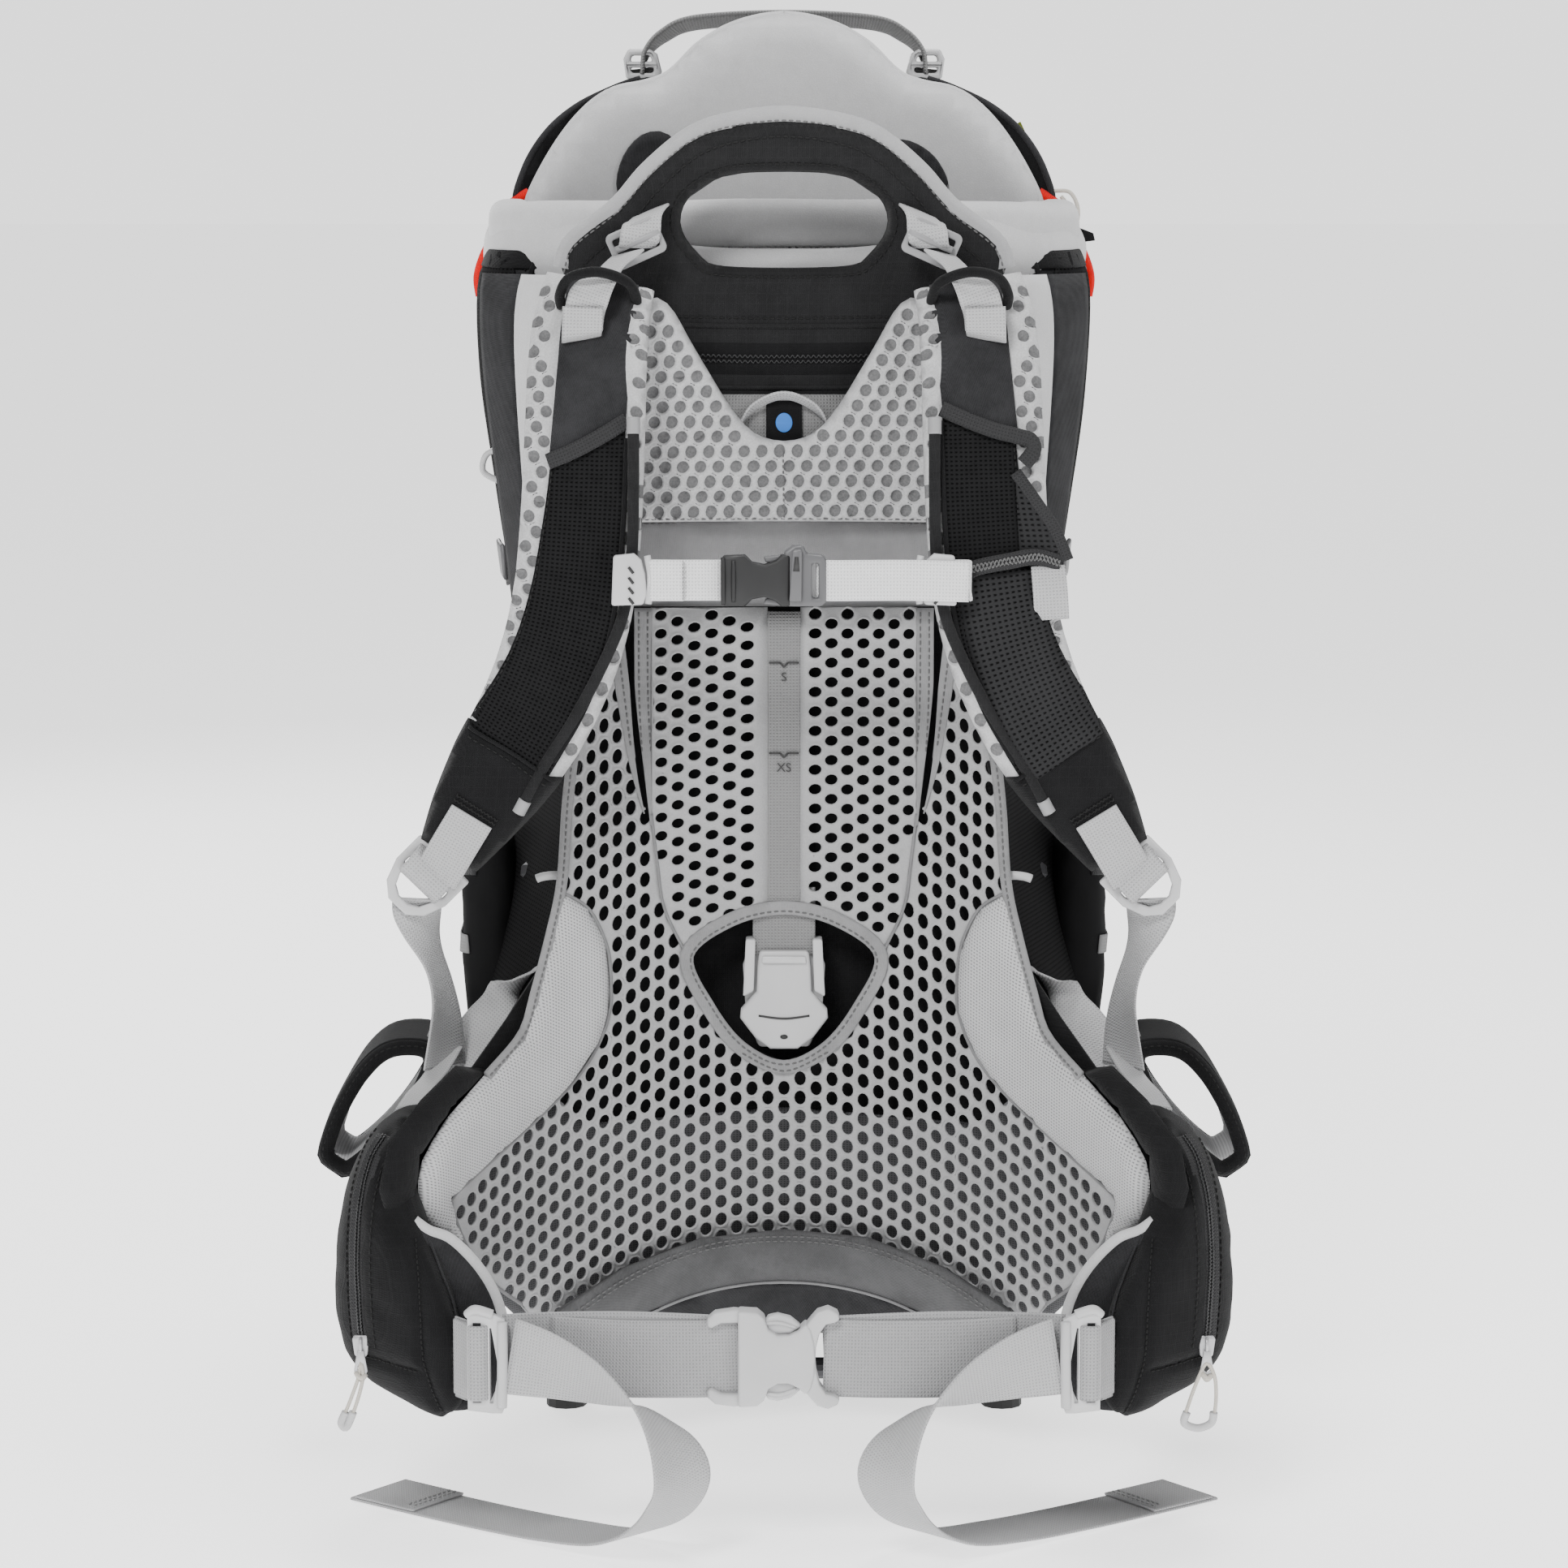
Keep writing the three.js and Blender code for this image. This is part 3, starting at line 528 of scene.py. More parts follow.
def ribbon_frames(rows, count):
    """Frames from rows of (x, y, z, side x, side y, side z) in design millimetres."""
    frames = []
    path = smooth_path(rows, count)
    points = [at(*row[:3]) for row in path]
    for i, row in enumerate(path):
        ahead = points[min(i + 1, count - 1)] - points[max(i - 1, 0)]
        ahead.normalize()
        side = Vector(row[3:6])
        side -= ahead * side.dot(ahead)
        side.normalize()
        frames.append((points[i], side, side.cross(ahead)))
    return frames


def ribbon(name, rows, width, body, material="light_webbing", count=24, replaces=(),
           thickness=WEBBING_THICKNESS):
    """Flat webbing along rows of place and facing."""
    return swept(name, ribbon_frames(rows, count), band_section(width, thickness), body,
                 material, replaces=replaces)


def turning_frames(points, count, closed=False, lean=Vector((0, 0, 1))):
    """Frames for a round section: the side direction is carried along the path."""
    path = [at(*p[:3]) for p in smooth_path(points, count, closed)]
    frames = []
    side = None
    for i, point in enumerate(path):
        before = path[i - 1] if i or closed else path[0]
        after = path[(i + 1) % count] if i + 1 < count or closed else path[-1]
        ahead = (after - before).normalized()
        if side is None:
            side = ahead.cross(lean if abs(ahead.dot(lean)) < 0.9 else Vector((1, 0, 0)))
        side = (side - ahead * side.dot(ahead)).normalized()
        frames.append((point, side, side.cross(ahead)))
    return frames


def cord(name, points, radius, body, material, count=24, closed=False, sides=8, replaces=()):
    """A round cord through the points."""
    return swept(name, turning_frames(points, count, closed), round_section(radius, sides),
                 body, material, closed, replaces=replaces)


def stitches(name, points, body, material="grey_thread", stitch=2.4, gap=1.2):
    """Separate short thread stitches along a polyline of vectors in metres."""
    vertices, faces = [], []
    run = [0.0]
    for a, b in zip(points, points[1:]):
        run.append(run[-1] + (b - a).length)

    def place(distance):
        k = 0
        while k < len(run) - 2 and run[k + 1] < distance:
            k += 1
        return points[k].lerp(points[k + 1], (distance - run[k]) / max(run[k + 1] - run[k], 1e-9))

    start = 0.0
    while start + stitch * MM < run[-1]:
        a, b = place(start), place(start + stitch * MM)
        ahead = (b - a).normalized()
        side = ahead.cross(Vector((0, 1, 0.01))).normalized()
        up = side.cross(ahead)
        base = len(vertices)
        for centre, size in ((a, 0.5), (a.lerp(b, 0.2), 1), (a.lerp(b, 0.8), 1), (b, 0.5)):
            for direction in (side, up, -side, -up):
                vertices.append(centre + direction * (THREAD * size * MM))
        for ring in range(3):
            for k in range(4):
                m = (k + 1) % 4
                low, high = base + ring * 4, base + ring * 4 + 4
                faces.append((low + k, low + m, high + m, high + k))
        faces.append((base + 3, base + 2, base + 1, base))
        faces.append((base + 12, base + 13, base + 14, base + 15))
        start += (stitch + gap) * MM
    piece = mesh_piece(name, vertices, faces)
    return finish_piece(piece, body, material)


def sheet_piece(name, point, columns, rows, thickness, body, material):
    """A sheet over point(u, v) in design millimetres, made solid by its thickness."""
    vertices = [at(*point(i / columns, j / rows))
                for j in range(rows + 1) for i in range(columns + 1)]
    uvs = [(v.x + v.y, v.z) for v in vertices]
    faces = []
    for j in range(rows):
        for i in range(columns):
            a = j * (columns + 1) + i
            faces.append((a, a + 1, a + columns + 2, a + columns + 1))
    piece = mesh_piece(name, vertices, faces, uvs)
    add_modifier(piece, "SOLIDIFY", thickness=thickness * MM, offset=0.0)
    return finish_piece(piece, body, material)


def anticlockwise(loop):
    """The same loop, turned to run anticlockwise."""
    area = sum(a[0] * b[1] - b[0] * a[1] for a, b in zip(loop, [*loop[1:], loop[0]]))
    return list(loop) if area > 0 else list(reversed(loop))


def triangulate(loops, inside=(), spacing=0.0):
    """Triangles of the first loop: flat vertices, (face, loops it lies in) and, by vertex,
    the input point it came from. Inner points are laid every spacing."""
    points, indices = [], []
    for loop in loops:
        indices.append(list(range(len(points), len(points) + len(loop))))
        points += [Vector(p) for p in anticlockwise(loop)]
    points += [Vector(p) for p in inside]
    if spacing:
        low = [min(p[k] for p in loops[0]) for k in (0, 1)]
        high = [max(p[k] for p in loops[0]) for k in (0, 1)]
        for i in range(1, int((high[0] - low[0]) / spacing) + 1):
            for j in range(1, int((high[1] - low[1]) / spacing) + 1):
                points.append(Vector((low[0] + (i - 0.5) * spacing + 0.013,
                                      low[1] + (j - 0.5) * spacing + 0.017)))
    flat, _, faces, vertex_of, _, loop_of = delaunay_2d_cdt(points, [], indices, 0, 1e-4, True)
    kept = [(tuple(face), set(owner)) for face, owner in zip(faces, loop_of) if 0 in owner]
    return flat, kept, vertex_of, indices


def cut_sheet(name, outline, surface, body, material, pits=(), rings=((0.0, 0.0),),
              floor=None, floor_lift=0.0, spacing=9.0, thickness=1.6, holes=(), replaces=()):
    """A sheet cut to a flat outline and laid on surface(a, b, lift) -> (x, y, z).

    Each pit is (a, b, radius a, radius b, tilt). Rings are (growth, lift) pairs, from the
    outermost to the hole's own edge; a floor material closes the pit, else it is open.
    """
    loops = [outline, *holes]
    lifts = {}
    inner = set()
    inside = []
    for a, b, ra, rb, tilt in pits:
        for growth, lift in rings:
            loops.append(ellipse(a, b, ra + growth, rb + growth, tilt))
            lifts[len(loops) - 1] = lift
        inner.add(len(loops) - 1)
        if floor:
            inside.append((a, b))
    flat, faces, vertex_of, indices = triangulate(loops, inside, spacing)
    lift_at = {}
    for loop, lift in lifts.items():
        for index in indices[loop]:
            lift_at[index] = lift
    first_inside = sum(len(loop) for loop in loops)
    for i in range(len(inside)):
        lift_at[first_inside + i] = floor_lift
    cut = set(range(1, 1 + len(holes)))
    kept, kinds = [], []
    for face, owner in faces:
        in_pit = bool(owner & inner)
        if owner & cut or (in_pit and not floor):
            continue
        kept.append(face)
        kinds.append(1 if in_pit else 0)
    used = sorted({i for face in kept for i in face})
    number = {old: new for new, old in enumerate(used)}
    vertices = []
    for i in used:
        lift = next((lift_at[k] for k in vertex_of[i] if k in lift_at), 0.0)
        vertices.append(at(*surface(flat[i].x, flat[i].y, lift)))
    uvs = [(flat[i].x * MM, flat[i].y * MM) for i in used]
    piece = mesh_piece(name, vertices, [tuple(number[i] for i in face) for face in kept], uvs)
    finish_piece(piece, body, material, replaces)
    if floor:
        piece.data.materials.append(MATERIALS[floor])
        for polygon, kind in zip(piece.data.polygons, kinds):
            polygon.material_index = kind
    add_modifier(piece, "SOLIDIFY", thickness=thickness * MM, offset=0.0)
    return piece


def ellipse(cx, cy, rx, ry, tilt=0.0, sides=12):
    """A flat oval of points."""
    c, s = math.cos(tilt), math.sin(tilt)
    points = []
    for i in range(sides):
        a = 2 * math.pi * i / sides
        x, y = rx * math.cos(a), ry * math.sin(a)
        points.append((cx + c * x - s * y, cy + s * x + c * y))
    return points


def plate(name, outline, front, back, body, material, bevel=1.0, holes=(), replaces=(),
          turn=0.0, centre=(0, 0, 0)):
    """A moulded plate drawn in x and z, between two depths, with rounded edges; turn is
    its angle about y in degrees, from z towards x."""
    flat, faces, _, _ = triangulate([outline, *holes])
    kept = [face for face, owner in faces if owner == {0}]
    used = sorted({i for face in kept for i in face})
    number = {old: new for new, old in enumerate(used)}
    kept = [tuple(number[i] for i in face) for face in kept]
    count = len(used)
    c, s = math.cos(math.radians(turn)), math.sin(math.radians(turn))

    def place(p, depth):
        x, z = p
        return at(centre[0] + c * x + s * z, centre[1] + depth, centre[2] - s * x + c * z)

    vertices = [place(flat[i], front) for i in used] + [place(flat[i], back) for i in used]
    solid = [*kept, *(tuple(i + count for i in reversed(face)) for face in kept)]
    edges = {(a, b) for face in kept for a, b in zip(face, [*face[1:], face[0]])}
    solid += [(b, a, a + count, b + count) for a, b in sorted(edges) if (b, a) not in edges]
    piece = mesh_piece(name, vertices, solid)
    if bevel:
        add_modifier(piece, "BEVEL", width=bevel * MM, segments=3, limit_method="ANGLE",
                     angle_limit=math.radians(50), use_clamp_overlap=True)
    return finish_piece(piece, body, material, replaces)


def rounded(width, height, radius, cx=0.0, cz=0.0, steps=5):
    """Outline of a rounded rectangle, anticlockwise."""
    points = []
    for quarter, (sx, sz) in enumerate(((1, 1), (-1, 1), (-1, -1), (1, -1))):
        for i in range(steps + 1):
            a = math.pi / 2 * (quarter + i / steps)
            points.append((cx + sx * (width / 2 - radius) + radius * math.cos(a),
                           cz + sz * (height / 2 - radius) + radius * math.sin(a)))
    return points


# ------------------------------------------------------------------ surfaces to work on

class Track:
    """Flat coordinates on a band: a across, b along its length, lift above its face."""

    def __init__(self, rows, count=80, sign=1):
        self.path = smooth_path([(r[0] * sign, r[1], r[2], r[3], r[4] * sign, r[5] * sign)
                                 for r in rows], count)
        self.run = [0.0]
        for a, b in zip(self.path, self.path[1:]):
            self.run.append(self.run[-1] + math.dist(a[:3], b[:3]))
        self.length = self.run[-1]
        self.sign = sign

    def frame(self, b):
        last = len(self.path) - 2
        k = min(int(clamp(b / self.length) * (last + 1)), last)
        t = (b - self.run[k]) / (self.run[k + 1] - self.run[k])
        row = [mix(p, q, t) for p, q in zip(self.path[k], self.path[k + 1])]
        before, after = self.path[max(k - 1, 0)], self.path[min(k + 2, last + 1)]
        ahead = Vector(after[:3]) - Vector(before[:3])
        ahead.normalize()
        side = Vector(row[3:6])
        side = (side - ahead * side.dot(ahead)).normalized()
        return Vector(row[:3]), side, ahead.cross(side)

    def place(self, a, b, lift=0.0):
        """Lift is towards the wearer on a band that runs downwards with its side along x."""
        centre, side, up = self.frame(b)
        return tuple(centre + side * (a * self.sign) + up * lift)


def edge_distance(a, b, loop):
    """Distance from a flat point to the nearest edge of a loop."""
    best = 1e9
    p = Vector((a, b))
    for q, r in zip(loop, [*loop[1:], loop[0]]):
        q, r = Vector(q), Vector(r)
        span = r - q
        t = clamp((p - q).dot(span) / max(span.length_squared, 1e-9))
        best = min(best, (p - q - span * t).length)
    return best


def lifted(surface, rise):
    """The same surface, raised by a constant height."""
    return lambda a, b, lift=0.0: surface(a, b, lift + rise)


def pillowed(surface, loop, height, reach, low=0.0):
    """The same surface, raised by height in the middle and falling away within reach."""
    def raised(a, b, lift=0.0):
        t = clamp(edge_distance(a, b, loop) / reach)
        return surface(a, b, lift + low + height * math.sqrt(1 - (1 - t) ** 2))
    return raised


def tape(name, path, width, surface, body, material, lift=0.8, thickness=1.2, count=40,
         closed=False, taper=None):
    """A narrow band laid on a surface along a flat path; taper(t) scales its width."""
    rows = smooth_path(path, count, closed)
    frames = []

    def spot(a, b):
        return at(*surface(a, b, lift))

    for i, (a, b) in enumerate(rows):
        before = rows[i - 1] if i or closed else rows[0]
        after = rows[(i + 1) % count] if i + 1 < count or closed else rows[-1]
        da, db = after[0] - before[0], after[1] - before[1]
        span = math.hypot(da, db)
        na, nb = db / span, -da / span
        side = (spot(a + na, b + nb) - spot(a - na, b - nb)).normalized()
        ahead = (spot(*after) - spot(*before)).normalized()
        scale = taper(i / (count - 1)) if taper else 1.0
        frames.append((spot(a, b), side * scale, side.cross(ahead)))
    return swept(name, frames, band_section(width, thickness), body, material, closed)


def sewn(name, path, surface, body, material="grey_thread", lift=1.6, closed=False, **style):
    """Stitches on a surface along a flat path."""
    rows = smooth_path(path, 60, closed)
    if closed:
        rows.append(rows[0])
    return stitches(name, [at(*surface(a, b, lift)) for a, b in rows], body, material, **style)


def beside(path, distance):
    """The flat path moved sideways, to its right."""
    result = []
    for i, p in enumerate(path):
        before, after = path[max(i - 1, 0)], path[min(i + 1, len(path) - 1)]
        da, db = after[0] - before[0], after[1] - before[1]
        span = math.hypot(da, db) or 1.0
        result.append((p[0] + distance * db / span, p[1] - distance * da / span))
    return result


def inside_loop(a, b, loop):
    """True when the flat point lies inside the loop."""
    hit = False
    for (x0, y0), (x1, y1) in zip(loop, [*loop[1:], loop[0]]):
        if (y0 > b) != (y1 > b) and a < x0 + (b - y0) * (x1 - x0) / (y1 - y0):
            hit = not hit
    return hit


def both_halves(half):
    """A closed outline from its right half, which runs between two points on x = 0."""
    return [*half, *[(-x, z) for x, z in reversed(half) if abs(x) > 1e-6]]


def grid(loop, pitch_a, pitch_b, origin=(0.0, 0.0), margin=0.0, drop=None, turn=0.0):
    """Staggered points inside a loop, at least margin from its edge. Each column is moved by
    half a pitch against its neighbour, or by drop millimetres if that is given."""
    low = [min(p[k] for p in loop) for k in (0, 1)]
    high = [max(p[k] for p in loop) for k in (0, 1)]
    middle = [(p + q) / 2 for p, q in zip(low, high)]
    reach = math.dist(low, high) / 2 + pitch_b
    c, s = math.cos(turn), math.sin(turn)
    points = []
    for i in range(-int(reach / pitch_a), int(reach / pitch_a) + 1):
        p = i * pitch_a
        move = i * drop if drop is not None else (i % 2) * pitch_b / 2
        for j in range(-int(reach / pitch_b), int(reach / pitch_b) + 1):
            q = j * pitch_b + (move % pitch_b)
            a = middle[0] + origin[0] + c * p - s * q
            b = middle[1] + origin[1] + s * p + c * q
            if inside_loop(a, b, loop) and edge_distance(a, b, loop) >= margin:
                points.append((a, b))
    return points


# ------------------------------------------------------------------ camera, floor and light

def make_camera():
    """The camera, in front of the wearer's side."""
    data = bpy.data.cameras.new("camera")
    data.sensor_width = CAMERA_SENSOR
    data.lens = CAMERA_LENS
    camera = bpy.data.objects.new("camera", data)
    camera.location = at(*CAMERA_PLACE)
    camera.rotation_euler = (math.radians(90 - CAMERA_PITCH), 0, 0)
    bpy.context.scene.collection.objects.link(camera)
    bpy.context.scene.camera = camera


def make_floor():
    """The floor under the part."""
    far = FLOOR_REACH
    floor = mesh_piece("floor", [(-far, -far, 0), (far, -far, 0), (far, far, 0), (-far, far, 0)],
                       [(0, 1, 2, 3)])
    material = new_material("floor", (0.9, 0.9, 0.9), roughness=0.8, specular=0.1)
    shader = material.node_tree.nodes["Principled BSDF"]
    shader.inputs["Emission Color"].default_value = (1, 1, 1, 1)
    shader.inputs["Emission Strength"].default_value = FLOOR_GLOW
    g = Graph(material)
    g.colour(g.noise(g.coords.outputs["Object"], 3.0), (0.88, 0.88, 0.88), (0.91, 0.91, 0.91))
    floor.data.materials.append(material)


def make_light(name, place, size, power):
    """One area light that looks at the target."""
    data = bpy.data.lights.new(name, "AREA")
    data.shape = "DISK"
    data.size = size
    data.energy = power
    light = bpy.data.objects.new(name, data)
    light.location = place
    way = Vector(LIGHT_TARGET) - Vector(place)
    light.rotation_euler = way.to_track_quat("-Z", "Y").to_euler()
    bpy.context.scene.collection.objects.link(light)


def make_world():
    """Soft light all round, with a paler tone where the backdrop shows."""
    world = bpy.data.worlds.new("studio")
    bpy.context.scene.world = world
    world.use_nodes = True
    tree = world.node_tree
    soft = tree.nodes["Background"]
    soft.inputs["Color"].default_value = (1, 1, 1, 1)
    soft.inputs["Strength"].default_value = WORLD_LIGHT
    seen = tree.nodes.new("ShaderNodeBackground")
    seen.inputs["Color"].default_value = (1, 1, 1, 1)
    seen.inputs["Strength"].default_value = BACKDROP
    ray = tree.nodes.new("ShaderNodeLightPath")
    choose = tree.nodes.new("ShaderNodeMixShader")
    tree.links.new(ray.outputs["Is Camera Ray"], choose.inputs["Fac"])
    tree.links.new(soft.outputs["Background"], choose.inputs[1])
    tree.links.new(seen.outputs["Background"], choose.inputs[2])
    tree.links.new(choose.outputs["Shader"], tree.nodes["World Output"].inputs["Surface"])


def make_studio():
    """Backdrop, floor and lights."""
    make_world()
    make_floor()
    for name, settings in LIGHTS.items():
        make_light(name, *settings)


# ------------------------------------------------------------------ loose belt ends

BELT_TAIL = [
    (-131, -187, 105, 0, 0, 1), (-110, -192, 101, 0, -0.35, 0.93),
    (-89, -198, 94, -0.1, -0.65, 0.75), (-68, -203, 82, -0.25, -0.9, 0.35),
    (-54, -204, 62, -0.55, -0.8, 0.2), (-50, -196, 42, -0.66, -0.74, 0.1),
    (-60, -179, 21, -0.68, -0.72, 0.05), (-80, -161, 8, -0.62, -0.78, 0.03),
    (-108, -139, 4, -0.56, -0.83, 0), (-140, -114, 2.4, -0.54, -0.84, 0),
    (-175, -87, 2, -0.55, -0.83, 0), (-207, -62, 2, -0.55, -0.83, 0),
]


def turned_rows(rows, sign):
    """Rows of place and width direction, mirrored to the other side."""
    return [(x * sign, y, z, sx * sign, sy, sz) for x, y, z, sx, sy, sz in rows]


def belt_tails():
    """The two loose ends of the hip belt, folded and sewn at their tips."""
    for side, sign in SIDES:
        rows = turned_rows(BELT_TAIL, sign)
        frames = ribbon_frames(rows, 96)
        band = swept(f"belt_tail_{side}_webbing", frames,
                     band_section(BELT_WEBBING, WEBBING_THICKNESS), "frame", "light_webbing",
                     replaces=(f"belt_tail_{side}",))
        fold_frames = [(c + u * (0.0017 if u.z > 0 else -0.0017), s, u)
                       for c, s, u in frames[-13:-1]]
        fold = swept(f"belt_tail_{side}_fold", fold_frames, band_section(BELT_WEBBING, 1.5),
                     "frame", "light_webbing")
        for k in (1, 2):
            c, s, u = fold_frames[k]
            up = u if u.z > 0 else -u
            ends = [c + s * (w * MM) + up * 0.0012 for w in (-17, 17)]
            stitches(f"belt_tail_{side}_seam_{k}", ends, "frame",
                                       "pale_thread")


# ------------------------------------------------------------------ back panel

PANEL_DEPTH = [(60, 48), (85, 34), (120, 16), (160, 0), (220, -12), (300, -8), (400, -2),
               (450, 0)]
PANEL_WRAP = [(160, 230), (220, 240), (260, 300), (300, 450), (360, 800), (450, 1500)]
FLAT_WRAP = 240.0               # the wrap that the panel's cloth is cut to


def panel_y(x, z):
    """Depth of the back panel at a place on it."""
    return lookup(PANEL_DEPTH, z) - x * x / lookup(PANEL_WRAP, z)


def arc(x):
    """Length along the cloth from the middle line out to x."""
    u = 2 * x / FLAT_WRAP
    return (u * math.sqrt(1 + u * u) + math.asinh(u)) * FLAT_WRAP / 4


def from_arc(a):
    """The x that lies this far round the panel from its middle."""
    x = a
    for _ in range(6):
        x -= (arc(x) - a) / math.hypot(1, 2 * x / FLAT_WRAP)
    return x


def on_panel(a, z, lift=0.0):
    """The place on the back panel at a flat pattern point, lifted off it."""
    x = from_arc(a)
    slope = 2 * x / lookup(PANEL_WRAP, z)
    n = math.hypot(1, slope)
    return (x - lift * slope / n, panel_y(x, z) - lift / n, z)


def cut_line(points):
    """Flat pattern points for points seen from the front."""
    return [(arc(x), z) for x, z in points]


WINDOW = [(-50, 270), (-28, 287), (0, 293), (28, 287), (50, 270), (39, 243), (22, 221),
          (0, 211), (-22, 221), (-39, 243)]
FIELD_SEAM = [(50, 270), (61.5, 295), (67.6, 338)]
FIELD_SLOT = [(67.6, 338), (74, 350), (81, 423), (82, 440)]
FIELD_RIM = [(90, 440), (97, 405), (105, 380), (109, 355), (111, 330), (112.5, 305)]
FIELD_GUSSET = [(112.5, 305), (99, 296), (90, 277), (88, 259), (88.5, 246), (94.5, 229),
                (106, 213), (124, 197), (141, 184), (156, 173), (164, 166), (163, 157),
                (158, 138), (149, 116), (134, 96)]
FIELD_BOTTOM = [(125, 78), (86, 98), (45, 109), (0, 113)]
GUSSET_RIM = [(112.5, 305), (118, 284), (125, 258), (131, 240), (147, 224), (163.5, 208),
              (170, 199), (175, 190), (177, 180), (177, 166), (174, 157), (164, 148)]
HOLE_RINGS = ((0.6, 0.0), (0.25, 0.4), (0.0, 0.15))


def perforated_field():
    """The back mesh with its pattern of holes."""
    half = cut_line([(0, 211), (22, 221), (39, 243), *FIELD_SEAM, *FIELD_SLOT[1:], *FIELD_RIM,
                     *FIELD_GUSSET[1:], *FIELD_BOTTOM])
    outline = both_halves(half)
    pits = []
    for a, b in grid(outline, 8.3, 10.4, origin=(0, 3), margin=2.0):
        lean = math.radians(clamp(a / 130, -1, 1) * 34)
        pits.append((a, b, 3.6, 4.45, lean))
    cut_sheet("back_mesh_field", outline, on_panel, "frame", "panel_mesh", pits, HOLE_RINGS,
              spacing=14.0, thickness=1.9, replaces=("back_panel_mesh",))


def centre_strips():
    """Two denser strips in the middle of the back mesh."""
    for side, sign in SIDES:
        loop = [(8.3, 446), (67.5, 446), (67.5, 340), (61.5, 295), (50, 271), (28, 287.5),
                (8.3, 292.5)]
        outline = cut_line(flip(loop, -sign))
        pits = []
        if sign > 0:
            for a, b in grid(outline, 9.3, 9.3, origin=(2.2, 0), margin=2.2, drop=-3.1):
                pits.append((a, b, 4.1, 3.0, math.radians(12)))
        else:
            for a, b in grid(outline, 8.4, 9.9, origin=(1.5, 0), margin=2.2):
                pits.append((a, b, 3.9, 3.2, math.radians(8)))
        cut_sheet(f"back_mesh_strip_{side}", outline, lifted(on_panel, 0.9), "frame",
                  "panel_mesh", pits, HOLE_RINGS, spacing=14.0, thickness=1.7)


def panel_bindings():
    """Bindings, seams and stitches on the back panel."""
    def strip_edge(t):
        return mix(1.0, 0.08, clamp((t - 0.35) / 0.65))

    for side, sign in SIDES:
        def line(points):
            return cut_line(flip(points, -sign))
        tape(f"strip_binding_{side}", line([(71.5, 446), (71.4, 400), (69.5, 365), (67.8, 336)]),
             9.0, on_panel, "frame", "binding", lift=1.6, taper=strip_edge)
        tape(f"slot_binding_{side}", line([(85.5, 440), (83.6, 420), (77.5, 370), (71.2, 342)]),
             7.5, on_panel, "frame", "binding", lift=1.2, taper=strip_edge)
        for k, shift in enumerate((-2.6, 2.6)):
            inner = beside(line([(71.5, 444), (71.4, 400), (70.0, 372)]), shift)
            sewn(f"strip_stitch_{side}_{k}", inner, on_panel, "frame", lift=2.4)
        sewn(f"slot_stitch_{side}", line([(85.5, 436), (83.4, 420), (78, 376)]), on_panel,
             "frame", lift=2.0)
        tape(f"field_seam_{side}", line([(67.7, 342), (64.6, 316), (61.5, 295), (50.5, 271)]),
             1.5, on_panel, "frame", "grey_fabric", lift=1.9, thickness=1.0)
        rim = line([(89, 446), (97, 408), (105.5, 380), (109.6, 350), (112.5, 310), (118, 284),
                    (125, 258), (131, 240), (147, 224)])
        tape(f"panel_rim_{side}", rim, 6.0, on_panel, "frame", "binding", lift=1.2,
             thickness=3.4)
        sewn(f"panel_rim_stitch_{side}", beside(rim, 0.6 * sign), on_panel, "frame", lift=3.2)
        tape(f"field_edge_{side}", line(FIELD_GUSSET), 1.8, on_panel, "frame", "grey_fabric",
             lift=1.3, thickness=1.4, count=60)
    window = cut_line(WINDOW)
    tape("window_binding", window, 7.4, on_panel, "frame", "binding", lift=1.9, thickness=2.2,
         closed=True, count=72)
    sewn("window_stitch", [(a * 0.965, 250 + (b - 250) * 0.965) for a, b in window], on_panel,
         "frame", lift=3.2, closed=True)
    sewn("window_stitch_outer", [(a * 1.05, 251 + (b - 251) * 1.05) for a, b in window[6:9]],
         on_panel, "frame", lift=3.2)


def gussets():
    """Fine mesh gussets at the hips."""
    for side, sign in SIDES:
        loop = cut_line(flip([*GUSSET_RIM, *reversed(FIELD_GUSSET[1:13])], -sign))
        raised = pillowed(on_panel, loop, 6.0, 10.0, low=-1.0)
        cut_sheet(f"gusset_{side}", loop, raised, "frame", "fine_mesh", spacing=5.0,
                  thickness=1.4)


def lumbar():
    """Padded band with its darker arch."""
    top = [(0, 121), (46, 118), (87, 107), (122, 90)]
    outline = both_halves(cut_line([(0, 60), (60, 60), (108, 62), (118, 66), *reversed(top)]))

    def front(a, b, lift=0.0):
        return on_panel(a, b, lift + 8.0 + 0.02 * abs(a))
    raised = pillowed(front, outline, 3.0, 6.0, low=-1.5)
    cut_sheet("lumbar_pad", outline, raised, "frame", "lumbar_fabric", spacing=5.0,
              thickness=3.0, replaces=("lumbar_band",))
    edge = cut_line([(-x, z) for x, z in reversed(top)] + top[1:])
    for k, drop in enumerate((3.4, 6.0)):
        sewn(f"lumbar_stitch_{k}", [(a * 0.97, b - drop) for a, b in edge], raised, "frame",
             lift=1.7)
    arch = both_halves(cut_line([(0, 62), (50, 62), (82, 66), (78, 79), (57, 84), (30, 88.5),
                                 (0, 90)]))
    cut_sheet("lumbar_arch", arch, lifted(raised, 1.8), "frame", "dark_fabric", spacing=7.0,
              thickness=0.8)
    tape("lumbar_arch_edge", cut_line([(-80, 77), (-57, 84), (-30, 88.5), (0, 90), (30, 88.5),
                                       (57, 84), (80, 77)]), 1.6, raised, "frame",
         "grey_fabric", lift=2.4)


